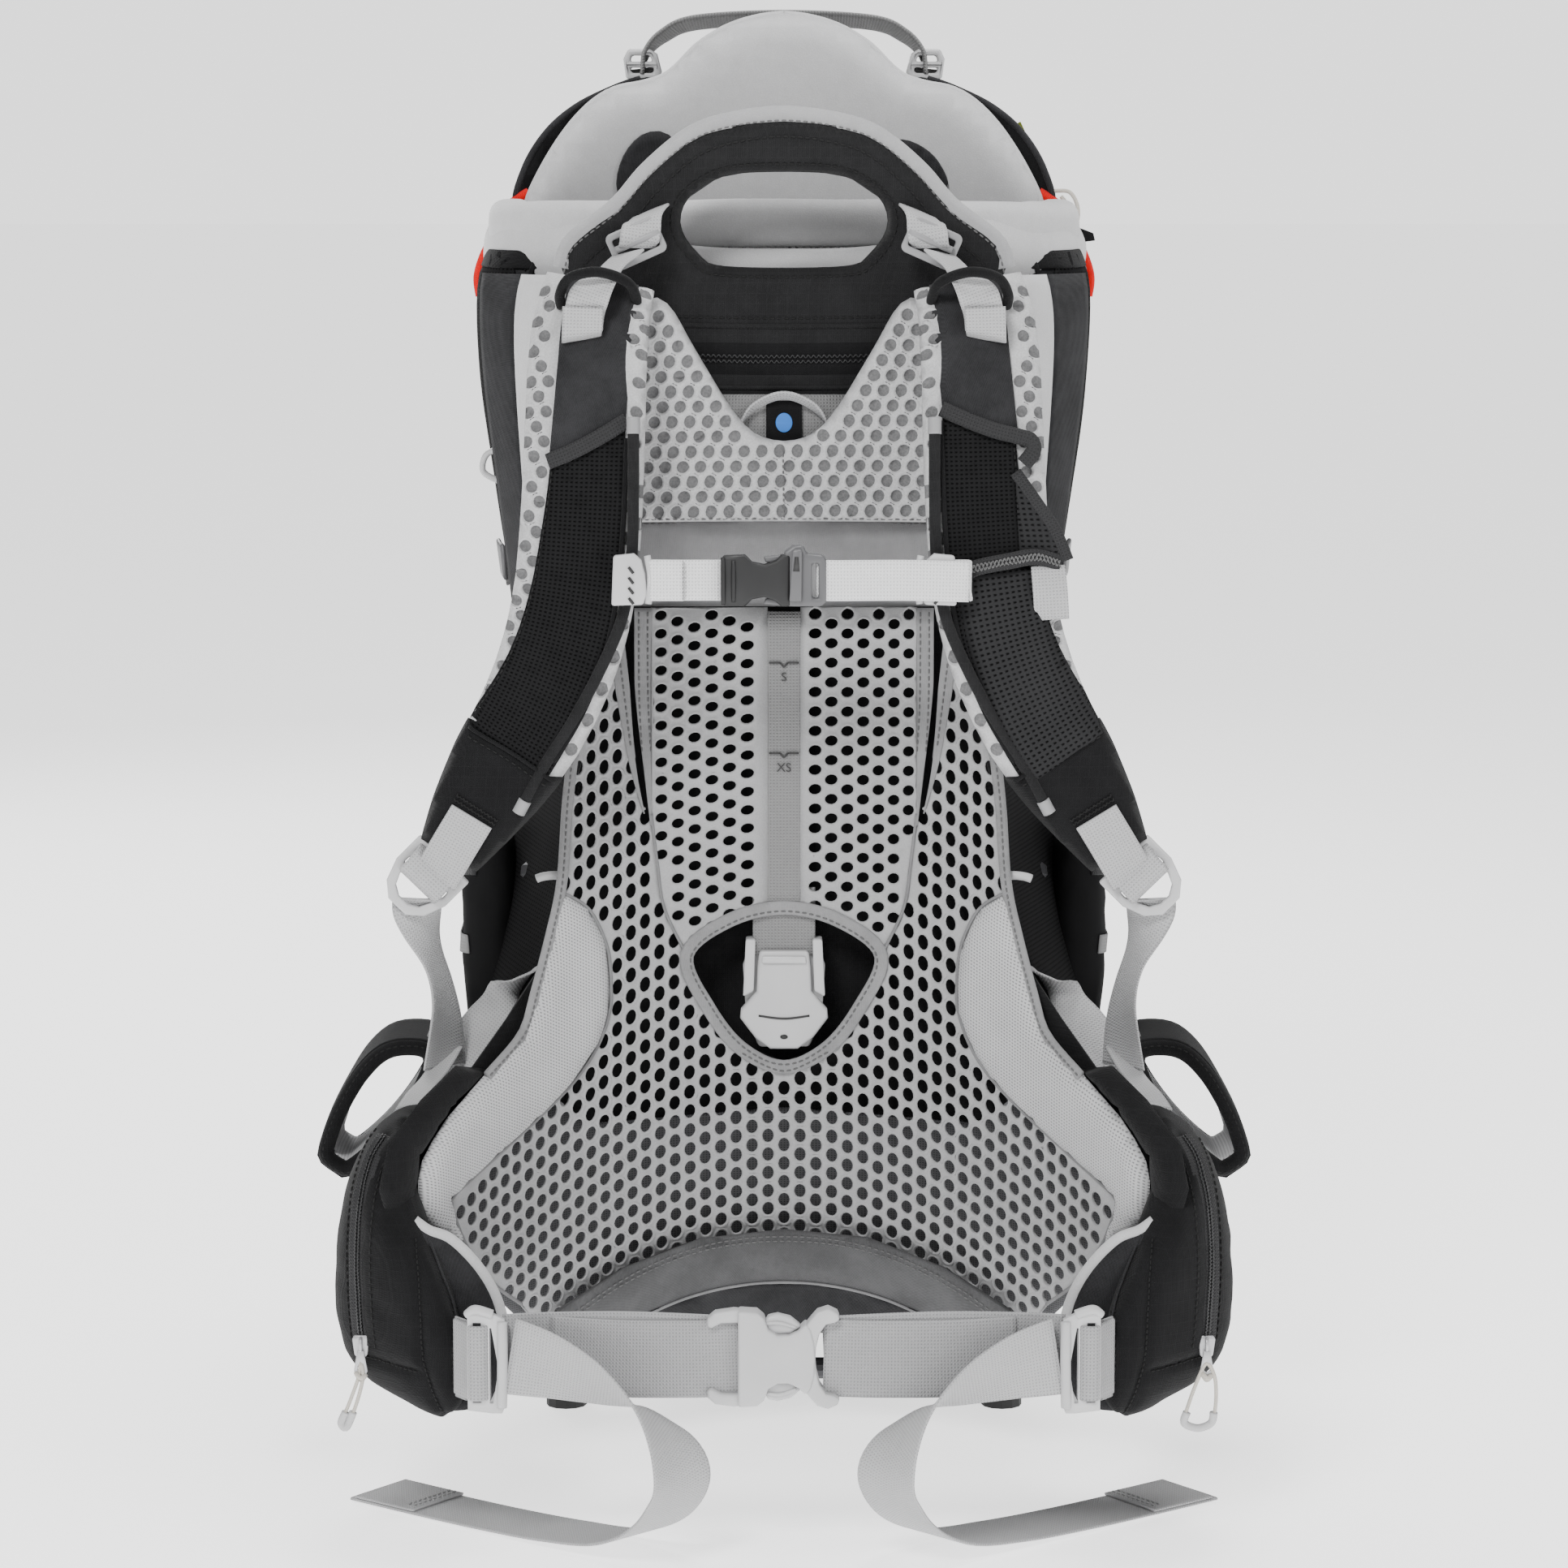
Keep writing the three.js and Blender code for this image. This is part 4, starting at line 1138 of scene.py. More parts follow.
def lettering(name, text, height, spot, body, material):
    """Flat printed letters facing the wearer, centred on a spot in design millimetres."""
    curve = bpy.data.curves.new(name + "_curve", "FONT")
    curve.body = text
    curve.size = height * MM * 1.4
    curve.extrude = 0.00008
    curve.align_x = "CENTER"
    maker = bpy.data.objects.new(name + "_maker", curve)
    mesh = bpy.data.meshes.new_from_object(maker)
    for vertex in mesh.vertices:
        x, z, y = vertex.co
        vertex.co = at(*spot) + Vector((x, -y, z))
    bpy.data.objects.remove(maker)
    mesh.materials.clear()
    piece = bpy.data.objects.new(name, mesh)
    bpy.context.scene.collection.objects.link(piece)
    return finish_piece(piece, body, material, smooth=False)


def size_marks():
    """The size strip with its two marks."""
    rows = [(0, panel_y(0, z) - 1.6, z, 1, 0, 0) for z in (444, 400, 350, 296)]
    ribbon("size_band", rows, 17.0, "frame", "grey_webbing", 30, ("size_strip",), 1.2)
    for text, line_z, letter_z in (("S", 418, 408.6), ("XS", 372, 362.6)):
        y = min(panel_y(0, line_z), panel_y(0, letter_z)) - 2.9
        for k, (x0, x1) in enumerate(((-7.6, -1.8), (1.8, 7.6))):
            ribbon(f"size_line_{text}_{k}", [(x0, y, line_z, 0, 0, 1), (x1, y, line_z, 0, 0, 1)],
                   1.0, "frame", "ink", 4, thickness=0.4)
        ribbon(f"size_tick_{text}",
               [(-1.8, y, line_z, 0, 0, 1), (0, y, line_z - 2.0, 0.7, 0, 0.7),
                (1.8, y, line_z, 0, 0, 1)], 1.1, "frame", "ink", 8, thickness=0.4)
        lettering(f"size_letter_{text}", text, 4.6, (0, y, letter_z), "frame", "ink")


def length_lock():
    """Lock of the back length, with its lever, webbing and window."""
    body = [(-17, 274), (17, 274), (21, 262), (19.5, 236), (13, 220), (-13, 220), (-19.5, 236),
            (-21, 262)]
    plate("lock_housing", body, -6, 3, "frame", "grey_plastic", 1.6,
          replaces=("torso_lock_body",))
    for side, sign in SIDES:
        cheek = [(-19.5 * sign, 277), (-14.5 * sign, 277), (-15.5 * sign, 250),
                 (-21 * sign, 247)]
        plate(f"lock_cheek_{side}", cheek, -12, 0, "frame", "grey_plastic", 1.2)
    lever = [(-12.5, 271), (12.5, 271), (13.5, 262), (14, 250), (22, 241), (22.5, 236),
             (15, 226), (7, 220), (-7, 220), (-15, 226), (-22.5, 236), (-22, 241), (-14, 250),
             (-13.5, 262)]
    plate("lock_lever_plate", lever, -12.5, -7.5, "lock_lever", "grey_plastic", 1.8,
          replaces=("torso_lock_lever",))
    plate("lock_lever_ridge", [(-11, 268.5), (11, 268.5), (11.5, 265), (-11.5, 265)], -14.2,
          -12.0, "lock_lever", "grey_plastic", 0.7)
    ribbon("lock_slot", [(-13, -12.7, 237.5, 0, 0, 1), (0, -13.0, 236, 0, 0, 1),
                         (13, -12.7, 237.5, 0, 0, 1)], 1.1, "lock_lever", "ink", 12,
           thickness=0.5)
    plate("lock_hole", ellipse(0, 226.5, 2.0, 1.2), -12.9, -12.3, "lock_lever", "ink", 0)
    ribbon("lock_webbing", [(0, -6, 303, 1, 0, 0), (0, -8, 287, 1, 0, 0), (0, -7.4, 268, 1, 0, 0)],
           32, "frame", "grey_webbing", 14)
    backing = [(-62, 205), (62, 205), (62, 300), (-62, 300)]
    plate("window_backing", backing, 11, 13, "frame", "black_fabric", 0.5)


# ------------------------------------------------------------------ yoke and upper panel

DIMPLE_RINGS = ((0.75, 0.0), (0.35, 0.4), (-0.15, -1.3))
DIMPLE_FLOOR = -2.4
NET_RINGS = ((1.2, 0.0), (0.2, -0.35), (-1.2, -0.8))


def dimples(loop, pitch=8.6, size=3.35, turn=-0.5, margin=-0.5):
    """Pits of the spacer mesh that fill a loop."""
    return [(a, b, size, size * 1.08, turn) for a, b in
            grid(loop, pitch * 0.9, pitch, origin=(1.3, 2.1), margin=margin, turn=turn)]


def dimpled(name, loop, surface, body, margin=3.2, replaces=(), size=3.35, spacing=6.0, **more):
    """Spacer mesh with round pits whose floors are painted darker, as shade inside the pits."""
    return cut_sheet(name, loop, surface, body, "spacer_mesh",
                     dimples(loop, size=size, margin=margin), DIMPLE_RINGS, "dimple",
                     DIMPLE_FLOOR, spacing=spacing, thickness=1.0, replaces=replaces, **more)


YOKE_HALF = [(0, 530), (16, 534), (28, 549), (47, 581), (57, 600), (64, 606), (72, 600),
             (80, 584), (80, 491.5), (0, 491.5)]


def on_yoke(a, z, lift=0.0):
    """The place on the yoke at a flat pattern point, lifted off it."""
    return (a, -19 - a * a / 900 - lift, z)


def yoke():
    """Yoke pad, the grey panel below it, and the label and loop at the neck."""
    loop = smooth_corners(both_halves(YOKE_HALF))
    raised = pillowed(on_yoke, loop, 5.0, 7.0, low=-0.6)
    pad = dimpled("yoke_front", loop, raised, "harness", replaces=("yoke_pad",), spacing=5.0)
    under = pillowed(lambda a, z, lift=0.0: (a, -18.5 - a * a / 900 + lift, z), loop, 5.0, 6.0,
                     low=-0.4)
    cut_sheet("yoke_back", loop, under, "harness", "spacer_mesh", spacing=9.0, thickness=1.0)
    sewn("yoke_middle_seam", [(-0.5, 528), (0, 493)], raised, "harness", lift=0.9, stitch=1.6)
    sewn("yoke_lower_seam", [(-79, 492.6), (0, 492.6), (79, 492.6)], raised, "harness",
         lift=0.5)
    panel = [(-76, 448), (76, 448), (77, 493), (-77, 493)]

    def on_yoke_panel(a, z, lift=0.0):
        return (a, -8 - a * a / 700 - lift - 2.2 * math.sin(math.pi * (z - 448) / 45), z)
    cut_sheet("yoke_lower_panel", panel, on_yoke_panel, "harness", "grey_fabric",
              spacing=7.0, thickness=2.2, replaces=("yoke_panel",))
    sewn("yoke_panel_stitch", [(-74, 489.6), (0, 489.6), (74, 489.6)], on_yoke_panel,
         "harness", lift=1.5)
    label = [(-9, 530), (9, 530), (9, 551), (-9, 551)]
    plate("neck_label", label, -9.5, -8.2, "harness", "black_fabric", 0.3)
    plate("neck_label_dot", ellipse(0, 540, 4.2, 4.9, sides=28), -10.0, -9.2, "harness",
          "blue_dot", 0.2)
    ribbon("neck_loop", [(-24, -9, 536, 0.5, -0.4, 0.7), (-15, -12, 548, 0.25, -0.6, 0.7),
                         (0, -14, 554, 0, -0.7, 0.7), (15, -12, 548, -0.25, -0.6, 0.7),
                         (24, -9, 536, -0.5, -0.4, 0.7)], 6.0, "harness", "light_webbing",
           30, thickness=1.4)
    band = [(-32, 522), (32, 522), (37, 554), (-37, 554)]
    cut_sheet("neck_band", band, lambda a, z, lift=0.0: (a, -6.6 - lift, z), "harness",
              "grey_webbing", thickness=1.2)


HANDLE_HALF = [(0, 691), (27, 688), (47, 681), (68, 664), (84, 646), (107, 629), (112, 620),
               (106, 602), (88, 576), (78, 545), (76, 500), (0, 500)]
HAND_HOLE = [(-30, 617), (30, 617), (44, 624), (52.5, 637), (50, 650), (38, 660), (20, 665),
             (-20, 665), (-38, 660), (-50, 650), (-52.5, 637), (-44, 624)]


def smooth_corners(loop):
    """The same outline with its corners eased."""
    dense = []
    for a, b in zip(loop, [*loop[1:], loop[0]]):
        steps = max(1, int(math.dist(a, b) / 5))
        dense += [(mix(a[0], b[0], i / steps), mix(a[1], b[1], i / steps)) for i in range(steps)]
    for _ in range(2):
        dense = [((p[0] + 2 * q[0] + r[0]) / 4, (p[1] + 2 * q[1] + r[1]) / 4)
                 for p, q, r in zip([dense[-1], *dense[:-1]], dense, [*dense[1:], dense[0]])]
    return dense


def upper_panel():
    """Stiffened grab panel with its hand hole, bindings, folds and zip."""
    loop = both_halves(HANDLE_HALF)
    hole = smooth_path(HAND_HOLE, 60, closed=True)

    def crown(a, z, lift=0.0):
        grip = clamp((z - 606) / 25)
        edge = min(edge_distance(a, z, loop), edge_distance(a, z, hole))
        round_off = 1 - clamp(edge / 9)
        return (a, -2.5 - lift - grip * 6.0 * math.sqrt(1 - round_off ** 2), z)
    cut_sheet("upper_panel_front", loop, crown, "frame", "panel_fabric", spacing=5.0,
              thickness=1.6, holes=[hole], replaces=("handle_panel",))
    cut_sheet("upper_panel_back", loop, lambda a, z, lift=0.0: (a, 14 - crown(a, z)[1] * 0.4, z),
              "frame", "panel_fabric", spacing=8.0, thickness=1.2, holes=[hole])
    wall("hand_hole_lining", hole, -3, 16, "frame", "panel_fabric")
    arch = [(-112, 618), (-107, 631), (-84, 649), (-68, 667), (-47, 684), (-27, 691), (0, 694),
            (27, 691), (47, 684), (68, 667), (84, 649), (107, 631), (112, 618)]
    for k, (inset, width, material, depth) in enumerate(((1.5, 10.0, "binding_cloth", 0.0),
                                                         (-2.2, 3.4, "binding_cloth", 2.4))):
        path = [(x * (1 - inset / 180), z - inset * (1 - abs(x) / 260)) for x, z in arch]
        tape(f"arch_edge_{k}", path, width, lambda a, z, c=0.0: (a, -1.0 - c + depth, z),
             "frame", material, lift=1.5, thickness=6.0 if k == 0 else 5.0, count=72)
    path = [(x * 0.985, z - 3.5) for x, z in arch]
    sewn("arch_stitch", path, lambda a, z, c=0.0: (a, -1.0 - c, z), "frame", lift=6.0)
    hem = [(x * 0.93, z - 11.5) for x, z in arch]
    sewn("arch_inner_stitch", hem, crown, "frame", "dark_thread", lift=1.2)
    ring = [(x * 1.07, 641 + (z - 641) * 1.14) for x, z in HAND_HOLE]
    sewn("hand_hole_stitch", smooth_path(ring, 60, closed=True), crown, "frame", "dark_thread",
         lift=1.1, closed=True)
    for name, z in (("upper", 592), ("hem", 549)):
        sewn(f"panel_stitch_{name}", [(-72, z + 1), (0, z), (72, z + 1)], crown, "frame",
             "dark_thread", lift=1.2)
    for name, z, width in (("upper", 588, 2.2), ("middle", 557, 2.0), ("hem", 546, 3.0)):
        tape(f"panel_fold_{name}", [(-72, z + 1), (0, z), (72, z + 1)], width, crown, "frame",
             "panel_fabric", lift=1.2, thickness=1.6)
    zip_line("upper_zip", [(-66, 572.5), (0, 571.5), (66, 572.5)], crown, "frame", 0.6)


def wall(name, loop, front, back, body, material):
    """A lining round a hole, from one depth to another."""
    count = len(loop)
    vertices = [at(x, y, z) for y in (front, back) for x, z in loop]
    faces = [(i, (i + 1) % count, (i + 1) % count + count, i + count) for i in range(count)]
    piece = mesh_piece(name, vertices, faces)
    add_modifier(piece, "SOLIDIFY", thickness=1.2 * MM, offset=0)
    return finish_piece(piece, body, material)


def zip_line(name, path, surface, body, lift):
    """Woven zip tape with two rows of coil."""
    tape(name + "_tape", path, 16.0, surface, body, "black_fabric", lift=lift, thickness=0.8)
    rows = smooth_path(path, 200)
    step = max(1, int(len(rows) / (math.dist(rows[0], rows[-1]) / 1.5)))
    for k, shift in enumerate((-1.3, 1.3)):
        coil = []
        for i, (a, b) in enumerate(beside(rows, shift)[::step]):
            swing, rise = (0.75, 1.3) if i % 2 else (-0.75, 0.7)
            coil.append(surface(a, b + swing, lift + rise))
        cord(f"{name}_coil_{k}", coil, 0.42, body, "zip_coil", len(coil) * 3, sides=5)


# ------------------------------------------------------------------ shoulder straps

STRAP = [
    (-91, -30, 611, 1, 0, 0), (-95, -42, 594, 1, -0.05, 0), (-97, -56, 568, 1, -0.1, 0),
    (-98, -68, 532, 1, -0.1, -0.02), (-99.5, -75, 496, 1, -0.08, -0.05),
    (-103, -79, 460, 1, -0.05, -0.18), (-111, -80, 428, 0.95, 0, -0.35),
    (-124, -79, 398, 0.86, 0, -0.55), (-140, -76, 372, 0.78, 0, -0.66),
    (-154, -73, 350, 0.74, 0, -0.7), (-166, -71, 330, 0.73, 0, -0.72),
]
STRAP_WIDTH = [(0, 54), (0.12, 58), (0.5, 59), (0.65, 57), (0.82, 52), (0.92, 42), (1, 30)]
STRAP_RAIL = [
    (-73.5, -81, 545), (-73.5, -85, 510), (-74.5, -88, 478), (-79, -89, 450),
    (-90, -89, 424), (-104, -87, 398), (-118, -85, 376), (-128, -83, 358),
]


def strap_outline(track, start, end, left=None, right=None, grow=0.0, steps=24):
    """Outline between two places along a strap; left and right cut it narrower."""
    lower, upper = [], []
    for i in range(steps + 1):
        b = mix(start, end, i / steps)
        half = lookup(STRAP_WIDTH, b / track.length) / 2 + grow
        low = -half if left is None else max(left(b) if callable(left) else left, -half)
        high = half if right is None else min(right(b) if callable(right) else right, half)
        lower.append((low, b))
        upper.append((high, b))
    return [*lower, *reversed(upper)]


def strap_layers(side, sign):
    """Mesh front and lining of a strap; gives its track, length and upper surface."""
    track = Track(STRAP, sign=sign)
    end = track.length
    full = strap_outline(track, 0, end)
    top = pillowed(track.place, full, 5.6, 8.0)
    pits = strap_outline(track, 4, end - 66)
    front = cut_sheet(f"strap_mesh_{side}", full, top, "harness", "spacer_mesh",
                      [p for p in dimples(pits, margin=0.8) if p[0] < -18 or p[0] > 22.5],
                      DIMPLE_RINGS, "dimple", DIMPLE_FLOOR, spacing=6.0, thickness=1.0,
                      replaces=(f"shoulder_strap_{side}",))
    under = pillowed(lambda a, b, lift=0.0: track.place(a, b, -lift), full, 6.0, 8.0)
    cut_sheet(f"strap_lining_{side}", full, under, "harness", "spacer_mesh", spacing=9.0,
              thickness=1.0)
    over = pillowed(track.place, full, 7.4, 8.0)
    return track, end, over


def outer_margin(b):
    """How far the light edge of the strap reaches in from its outer side."""
    return lookup([(0, -14), (90, -15), (150, -20), (200, -24), (260, -30)], b)


def strap_cover(side, hem_b, drop, over):
    """Dark cloth on the upper strap and the bound hem that crosses it."""
    def hem_at(a):
        return hem_b + drop * (0.2 - a / 36)
    cover = [(-15, 2), (20, 2), (21, hem_at(21)), (8, hem_at(8) + 1), (-5, hem_at(-5) + 1),
             (-16, hem_at(-16))]
    cut_sheet(f"strap_cover_{side}", cover, lifted(over, 0.9), "harness", "dark_fabric",
              spacing=6.0, thickness=1.1)
    hem = [(-16.5, hem_at(-16)), (-5, hem_at(-5) + 1), (8, hem_at(8) + 1), (22, hem_at(22))]
    lift = 2.6
    if side == "R":
        hem = [(-18, hem_at(-16) + 13), (-23, hem_at(-16) + 7), (-22, hem_at(-16) + 2), *hem]
        lift = 3.4
    tape(f"strap_hem_{side}", hem, 8.0, over, "harness", "black_webbing", lift=lift,
         thickness=1.3)


def strap_cap(side, track, end):
    """Black end of the strap, with its stitched bars."""
    cap = strap_outline(track, end - 64, end + 0.1, grow=0.8)
    longer = strap_outline(track, end - 90, end + 0.1, grow=0.8)
    capped = pillowed(track.place, longer, 8.0, 8.5)
    cut_sheet(f"strap_cap_{side}", cap, capped, "harness", "black_fabric", spacing=5.0,
              thickness=1.2)
    under = pillowed(lambda a, b, lift=0.0: track.place(a, b, -lift), cap, 6.9, 8.5)
    cut_sheet(f"strap_cap_under_{side}", cap, under, "harness", "black_fabric", spacing=8.0,
              thickness=1.0)
    tape(f"strap_cap_edge_{side}", [(-25, end - 62), (0, end - 63), (25, end - 62)], 2.0,
         capped, "harness", "black_fabric", lift=1.0)
    sewn(f"strap_cap_stitch_{side}", [(-23, end - 58), (0, end - 59), (23, end - 58)], capped,
         "harness", "dark_thread", lift=1.0)
    for k, b in enumerate((end - 30, end - 27.5)):
        zigzag = [(mix(-12, 12, i / 24), b + (0.9 if i % 2 else -0.9)) for i in range(25)]
        stitches(f"strap_cap_bar_{side}_{k}", [at(*capped(p, q, 1.2)) for p, q in zigzag],
                 "harness", "dark_thread", 1.6, 0.1)


def strap_rail(side, sign):
    """Thin tube that the chest strap slides on, with a collar at each end."""
    cord(f"strap_rail_{side}", flip(STRAP_RAIL, sign), 2.9, "harness", "panel_fabric", 60,
         sides=14)
    for k, ends in enumerate(([(-73.5, -80.8, 547), (-73.5, -82.0, 539)],
                              [(-127.5, -83.2, 359), (-131, -82.2, 352.5)])):
        cord(f"rail_collar_{side}_{k}", flip(ends, sign), 3.4, "harness", "mid_plastic", 8,
             sides=14)


def shoulder_straps():
    """Both straps, each with its net, cap, rail and edges."""
    for side, sign in SIDES:
        track, end, over = strap_layers(side, sign)
        hem_b, drop = (86, 19) if side == "L" else (78, 13)
        strap_cover(side, hem_b, drop, over)
        net = strap_outline(track, hem_b - 12, end - 58, outer_margin, 21)
        hollows = dimples(net, pitch=14.0, margin=5.0)
        cut_sheet(f"strap_net_{side}", net, over, "harness", "black_mesh", hollows, NET_RINGS,
                  "black_mesh", -0.9, spacing=6.0, thickness=0.9)
        strap_cap(side, track, end)
        strap_rail(side, sign)
        tape(f"strap_inner_edge_{side}", [(22, hem_b), (21.5, 150), (21, 210), (19, end - 70)],
             2.4, over, "harness", "black_fabric", lift=0.6)
        margin = [(outer_margin(b) + 1.2, b) for b in range(hem_b + 6, int(end) - 66, 12)]
        sewn(f"strap_net_stitch_{side}", margin, over, "harness", "dark_thread", lift=0.8)
        keeper(side, sign)
        lower_end(side, sign, track, end)
        if side == "R":
            stash_pocket(track, over, end)


def stash_pocket(track, over, end):
    """Mesh pocket on the right strap, with a gaping hem and a small loop."""
    lower = strap_outline(track, 150, end - 56, lambda b: outer_margin(b) - 1, 18)
    full = pillowed(over, lower, 4.0, 12.0)
    cut_sheet("stash_front", lower, full, "harness", "pocket_mesh", spacing=6.0, thickness=1.0)
    mouth = [(19, -2), (8, 3), (-8, 5), (-22, 6), (-34, 1)]
    hem = []
    for a, rise in mouth:
        x, y, z = track.place(a, 150 - rise, 0)
        hem.append((x, y - 11 - 3 * math.sin((a + 34) / 53 * math.pi), z, 0.1, 0.25, 1))
    ribbon("stash_hem", hem, 8.0, "harness", "black_webbing", 30, thickness=1.6)
    back = smooth_path([track.place(-14, 103, 8.6), track.place(-23, 117, 9.6),
                        track.place(-32, 133, 10.4), track.place(-37, 149, 11.0)], 24)
    ribbon("stash_back_hem", [(*p, 0.7, 0.1, 0.7) for p in back], 6.0, "harness",
           "black_webbing", 24, thickness=1.4)

    def gusset(u, v):
        k = mix(0.04, 0.999, u)
        inner = track.place(-14, mix(103, 150, k), 8.8)
        return mix_point(inner, back[int(k * 23)], v)
    sheet_piece("stash_gusset", gusset, 23, 6, 0.8, "harness", "pocket_mesh")
    for k in range(2):
        zigzag = []
        for i in range(30):
            row = smooth_path(hem, 30)[i]
            zigzag.append(at(row[0], row[1] - 1.3, row[2] + (2.2 if (i + k) % 2 else -2.2)))
        stitches(f"stash_zigzag_{k}", zigzag, "harness", stitch=1.8, gap=0.2)
    for k, shift in enumerate((0, 2.4)):
        x, y, z = track.place(-27, 153, 9)
        rows = [(x, y - shift, z + 2, 0.98, 0.1, -0.15), (x + 1, y - 3 - shift, z - 10, 1, 0, -0.2),
                (x + 2, y - 1 - shift, z - 24, 1, 0, -0.2)]
        ribbon(f"stash_loop_{k}", rows, 17, "harness", "light_webbing", 12, thickness=1.2)


def keeper(side, sign):
    """Black loop at the top of the strap that keeps the load lifter's loose end down."""
    rows = flip([(-110, -46, 600), (-110, -55, 606), (-105, -60, 614), (-91, -63, 617),
                 (-77, -58, 612), (-73, -47, 604), (-73, -38, 598)], sign)
    cord(f"strap_keeper_{side}", rows, 2.6, "harness", "black_fabric", 48, sides=10)
    path = [(-99, -56, 585, 1, 0.1, 0.18), (-98, -61, 596, 1, 0.1, 0.2),
            (-95, -61, 606, 1, 0.12, 0.3), (-89, -52, 615, 1, 0.2, 0.45),
            (-82, -38, 621, 1, 0.2, 0.45), (-77.5, -29, 625, 1, 0.2, 0.45)]
    lifter = ribbon(f"load_lifter_{side}", turned_rows(path, sign), CHEST_WEBBING, None,
                    "light_webbing", 40, (f"load_lifter_webbing_{side}",))
    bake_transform(lifter)
    end_rows = [(-99.5, -58, 584, 1, 0.1, 0.18), (-99, -63.5, 588, 1, 0.1, 0.18),
                (-98.5, -64, 600, 1, 0.1, 0.2)]
    ribbon(f"load_lifter_fold_{side}", turned_rows(end_rows, sign), CHEST_WEBBING, "harness",
           "light_webbing", 14, thickness=1.3)


def lower_end(side, sign, track, end):
    """Webbing sewn on the strap's end, its ladder lock and the webbing down to the hip."""
    sewn_on = [(*track.place(0, end + past, lift), 0.74, 0, -0.7 * sign)
               for past, lift in ((-25, 9.4), (-12, 9.2), (2, 7.5), (13, 4.5))]
    ribbon(f"strap_end_webbing_{side}", sewn_on, SHOULDER_WEBBING - 2, "harness",
           "light_webbing", 30)
    body = f"lower_adjuster_{HAND[side]}"
    lock = [(-17, 15), (17, 15), (17, -2), (13, -13), (6, -19), (-6, -19), (-13, -13), (-17, -2)]
    slots = [rounded(26, 5, 1.5, 0, 9.5, 3), rounded(26, 5, 1.5, 0, 1.5, 3),
             [(-11, -5), (11, -5), (8, -11.5), (3, -14.5), (-3, -14.5), (-8, -11.5)]]
    plate(f"lower_lock_{side}", flip(lock, sign), -1.8, 2.6, body, "grey_plastic", 1.1,
          [flip(slot, sign) for slot in slots], (f"lower_adjuster_{side}",), 45 * sign,
          (-179 * sign, -69, 317))
    roll = [(-186 * sign, -72.5, 323), (-171 * sign, -72.5, 308)]
    cord(f"lower_lock_bar_{side}", roll, 2.7, body, "grey_plastic", 6, sides=12)
    wrap = [(-171, -70, 327, 0.7, 0, -0.7), (-175, -76, 322, 0.7, 0, -0.7),
            (-180, -76.5, 316.5, 0.7, 0, -0.7), (-182, -70, 314, 0.7, 0, -0.7)]
    ribbon(f"lower_lock_wrap_{side}", turned_rows(wrap, sign), SHOULDER_WEBBING, body,
           "light_webbing", 18)
    down = [(-184, -67, 307, 0.74, 0, -0.67), (-181, -62, 295, 0.7, 0.6, -0.3),
            (-176, -54, 276, 0.3, 0.95, 0), (-172, -46, 256, 0.35, 0.93, 0.1),
            (-171, -40, 236, 0.6, 0.75, 0.2), (-172, -36, 216, 0.8, 0.55, 0.2)]
    lower = ribbon(f"lower_strap_{side}", turned_rows(down, sign), SHOULDER_WEBBING, None,
                   "light_webbing", 50, (f"lower_webbing_{side}",))
    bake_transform(lower)


def lifter_buckles():
    """Ladder locks of the two load lifters, with the webbing that anchors them."""
    for side, sign in SIDES:
        body = f"lifter_buckle_{HAND[side]}"
        slots = [rounded(21.4, high - low - 2.6, 1.2, 0, (low + high) / 2, 3)
                 for low, high in ((-7.1, 0.6), (0.6, 7.1))]
        plate(f"lifter_lock_{side}", flip(rounded(27, 19, 3.2), sign), -1.9, 1.9, body,
              "mid_plastic", 0.9, slots, (f"load_lifter_buckle_{side}",), -24 * sign,
              (-73.5 * sign, -22.5, 630))
        bar = [(-83.5 * sign, -26, 626.5), (-62 * sign, -26, 636)]
        cord(f"lifter_bar_{side}", bar, 1.9, body, "mid_plastic", 6, sides=10)
        rows = [(-73, -24.5, 628, 1, 0.1, 0.45), (-71.5, -26.5, 633.5, 1, 0.1, 0.45),
                (-70, -22, 641, 1, 0.1, 0.45), (-66, -8, 646, 1, 0.1, 0.45)]
        ribbon(f"lifter_anchor_{side}", turned_rows(rows, sign), CHEST_WEBBING, "frame",
               "light_webbing", 20)


# ------------------------------------------------------------------ chest strap

def chest_clips():
    """Sliders that hold the chest strap on the two rails."""
    y, body = CHEST_Y, "chest_strap"
    for side, sign in SIDES:
        clip = [(-83, 481), (-73, 482), (-69.5, 479), (-67.5, 472), (-66.5, 462), (-68.5, 457),
                (-84, 456.5)]
        plate(f"chest_clip_{side}", flip(clip, sign), y - 1.5, y + 3.5, body, "grey_plastic",
              1.3, replaces=(f"chest_slider_{side}",))
        cord(f"chest_clip_bar_{side}", flip([(-66.5, y - 0.5, 481), (-64.8, y - 0.5, 470),
                                              (-66, y - 0.5, 457.5)], sign), 1.7, body,
             "grey_plastic", 10, sides=10)
        for k in range(4):
            ridge = [(-75.5, y - 1.8, 475.5 - 5 * k), (-73.2, y - 1.8, 472.5 - 5 * k)]
            cord(f"chest_clip_ridge_{side}_{k}", flip(ridge, sign), 0.8, body, "ink", 4, sides=6)


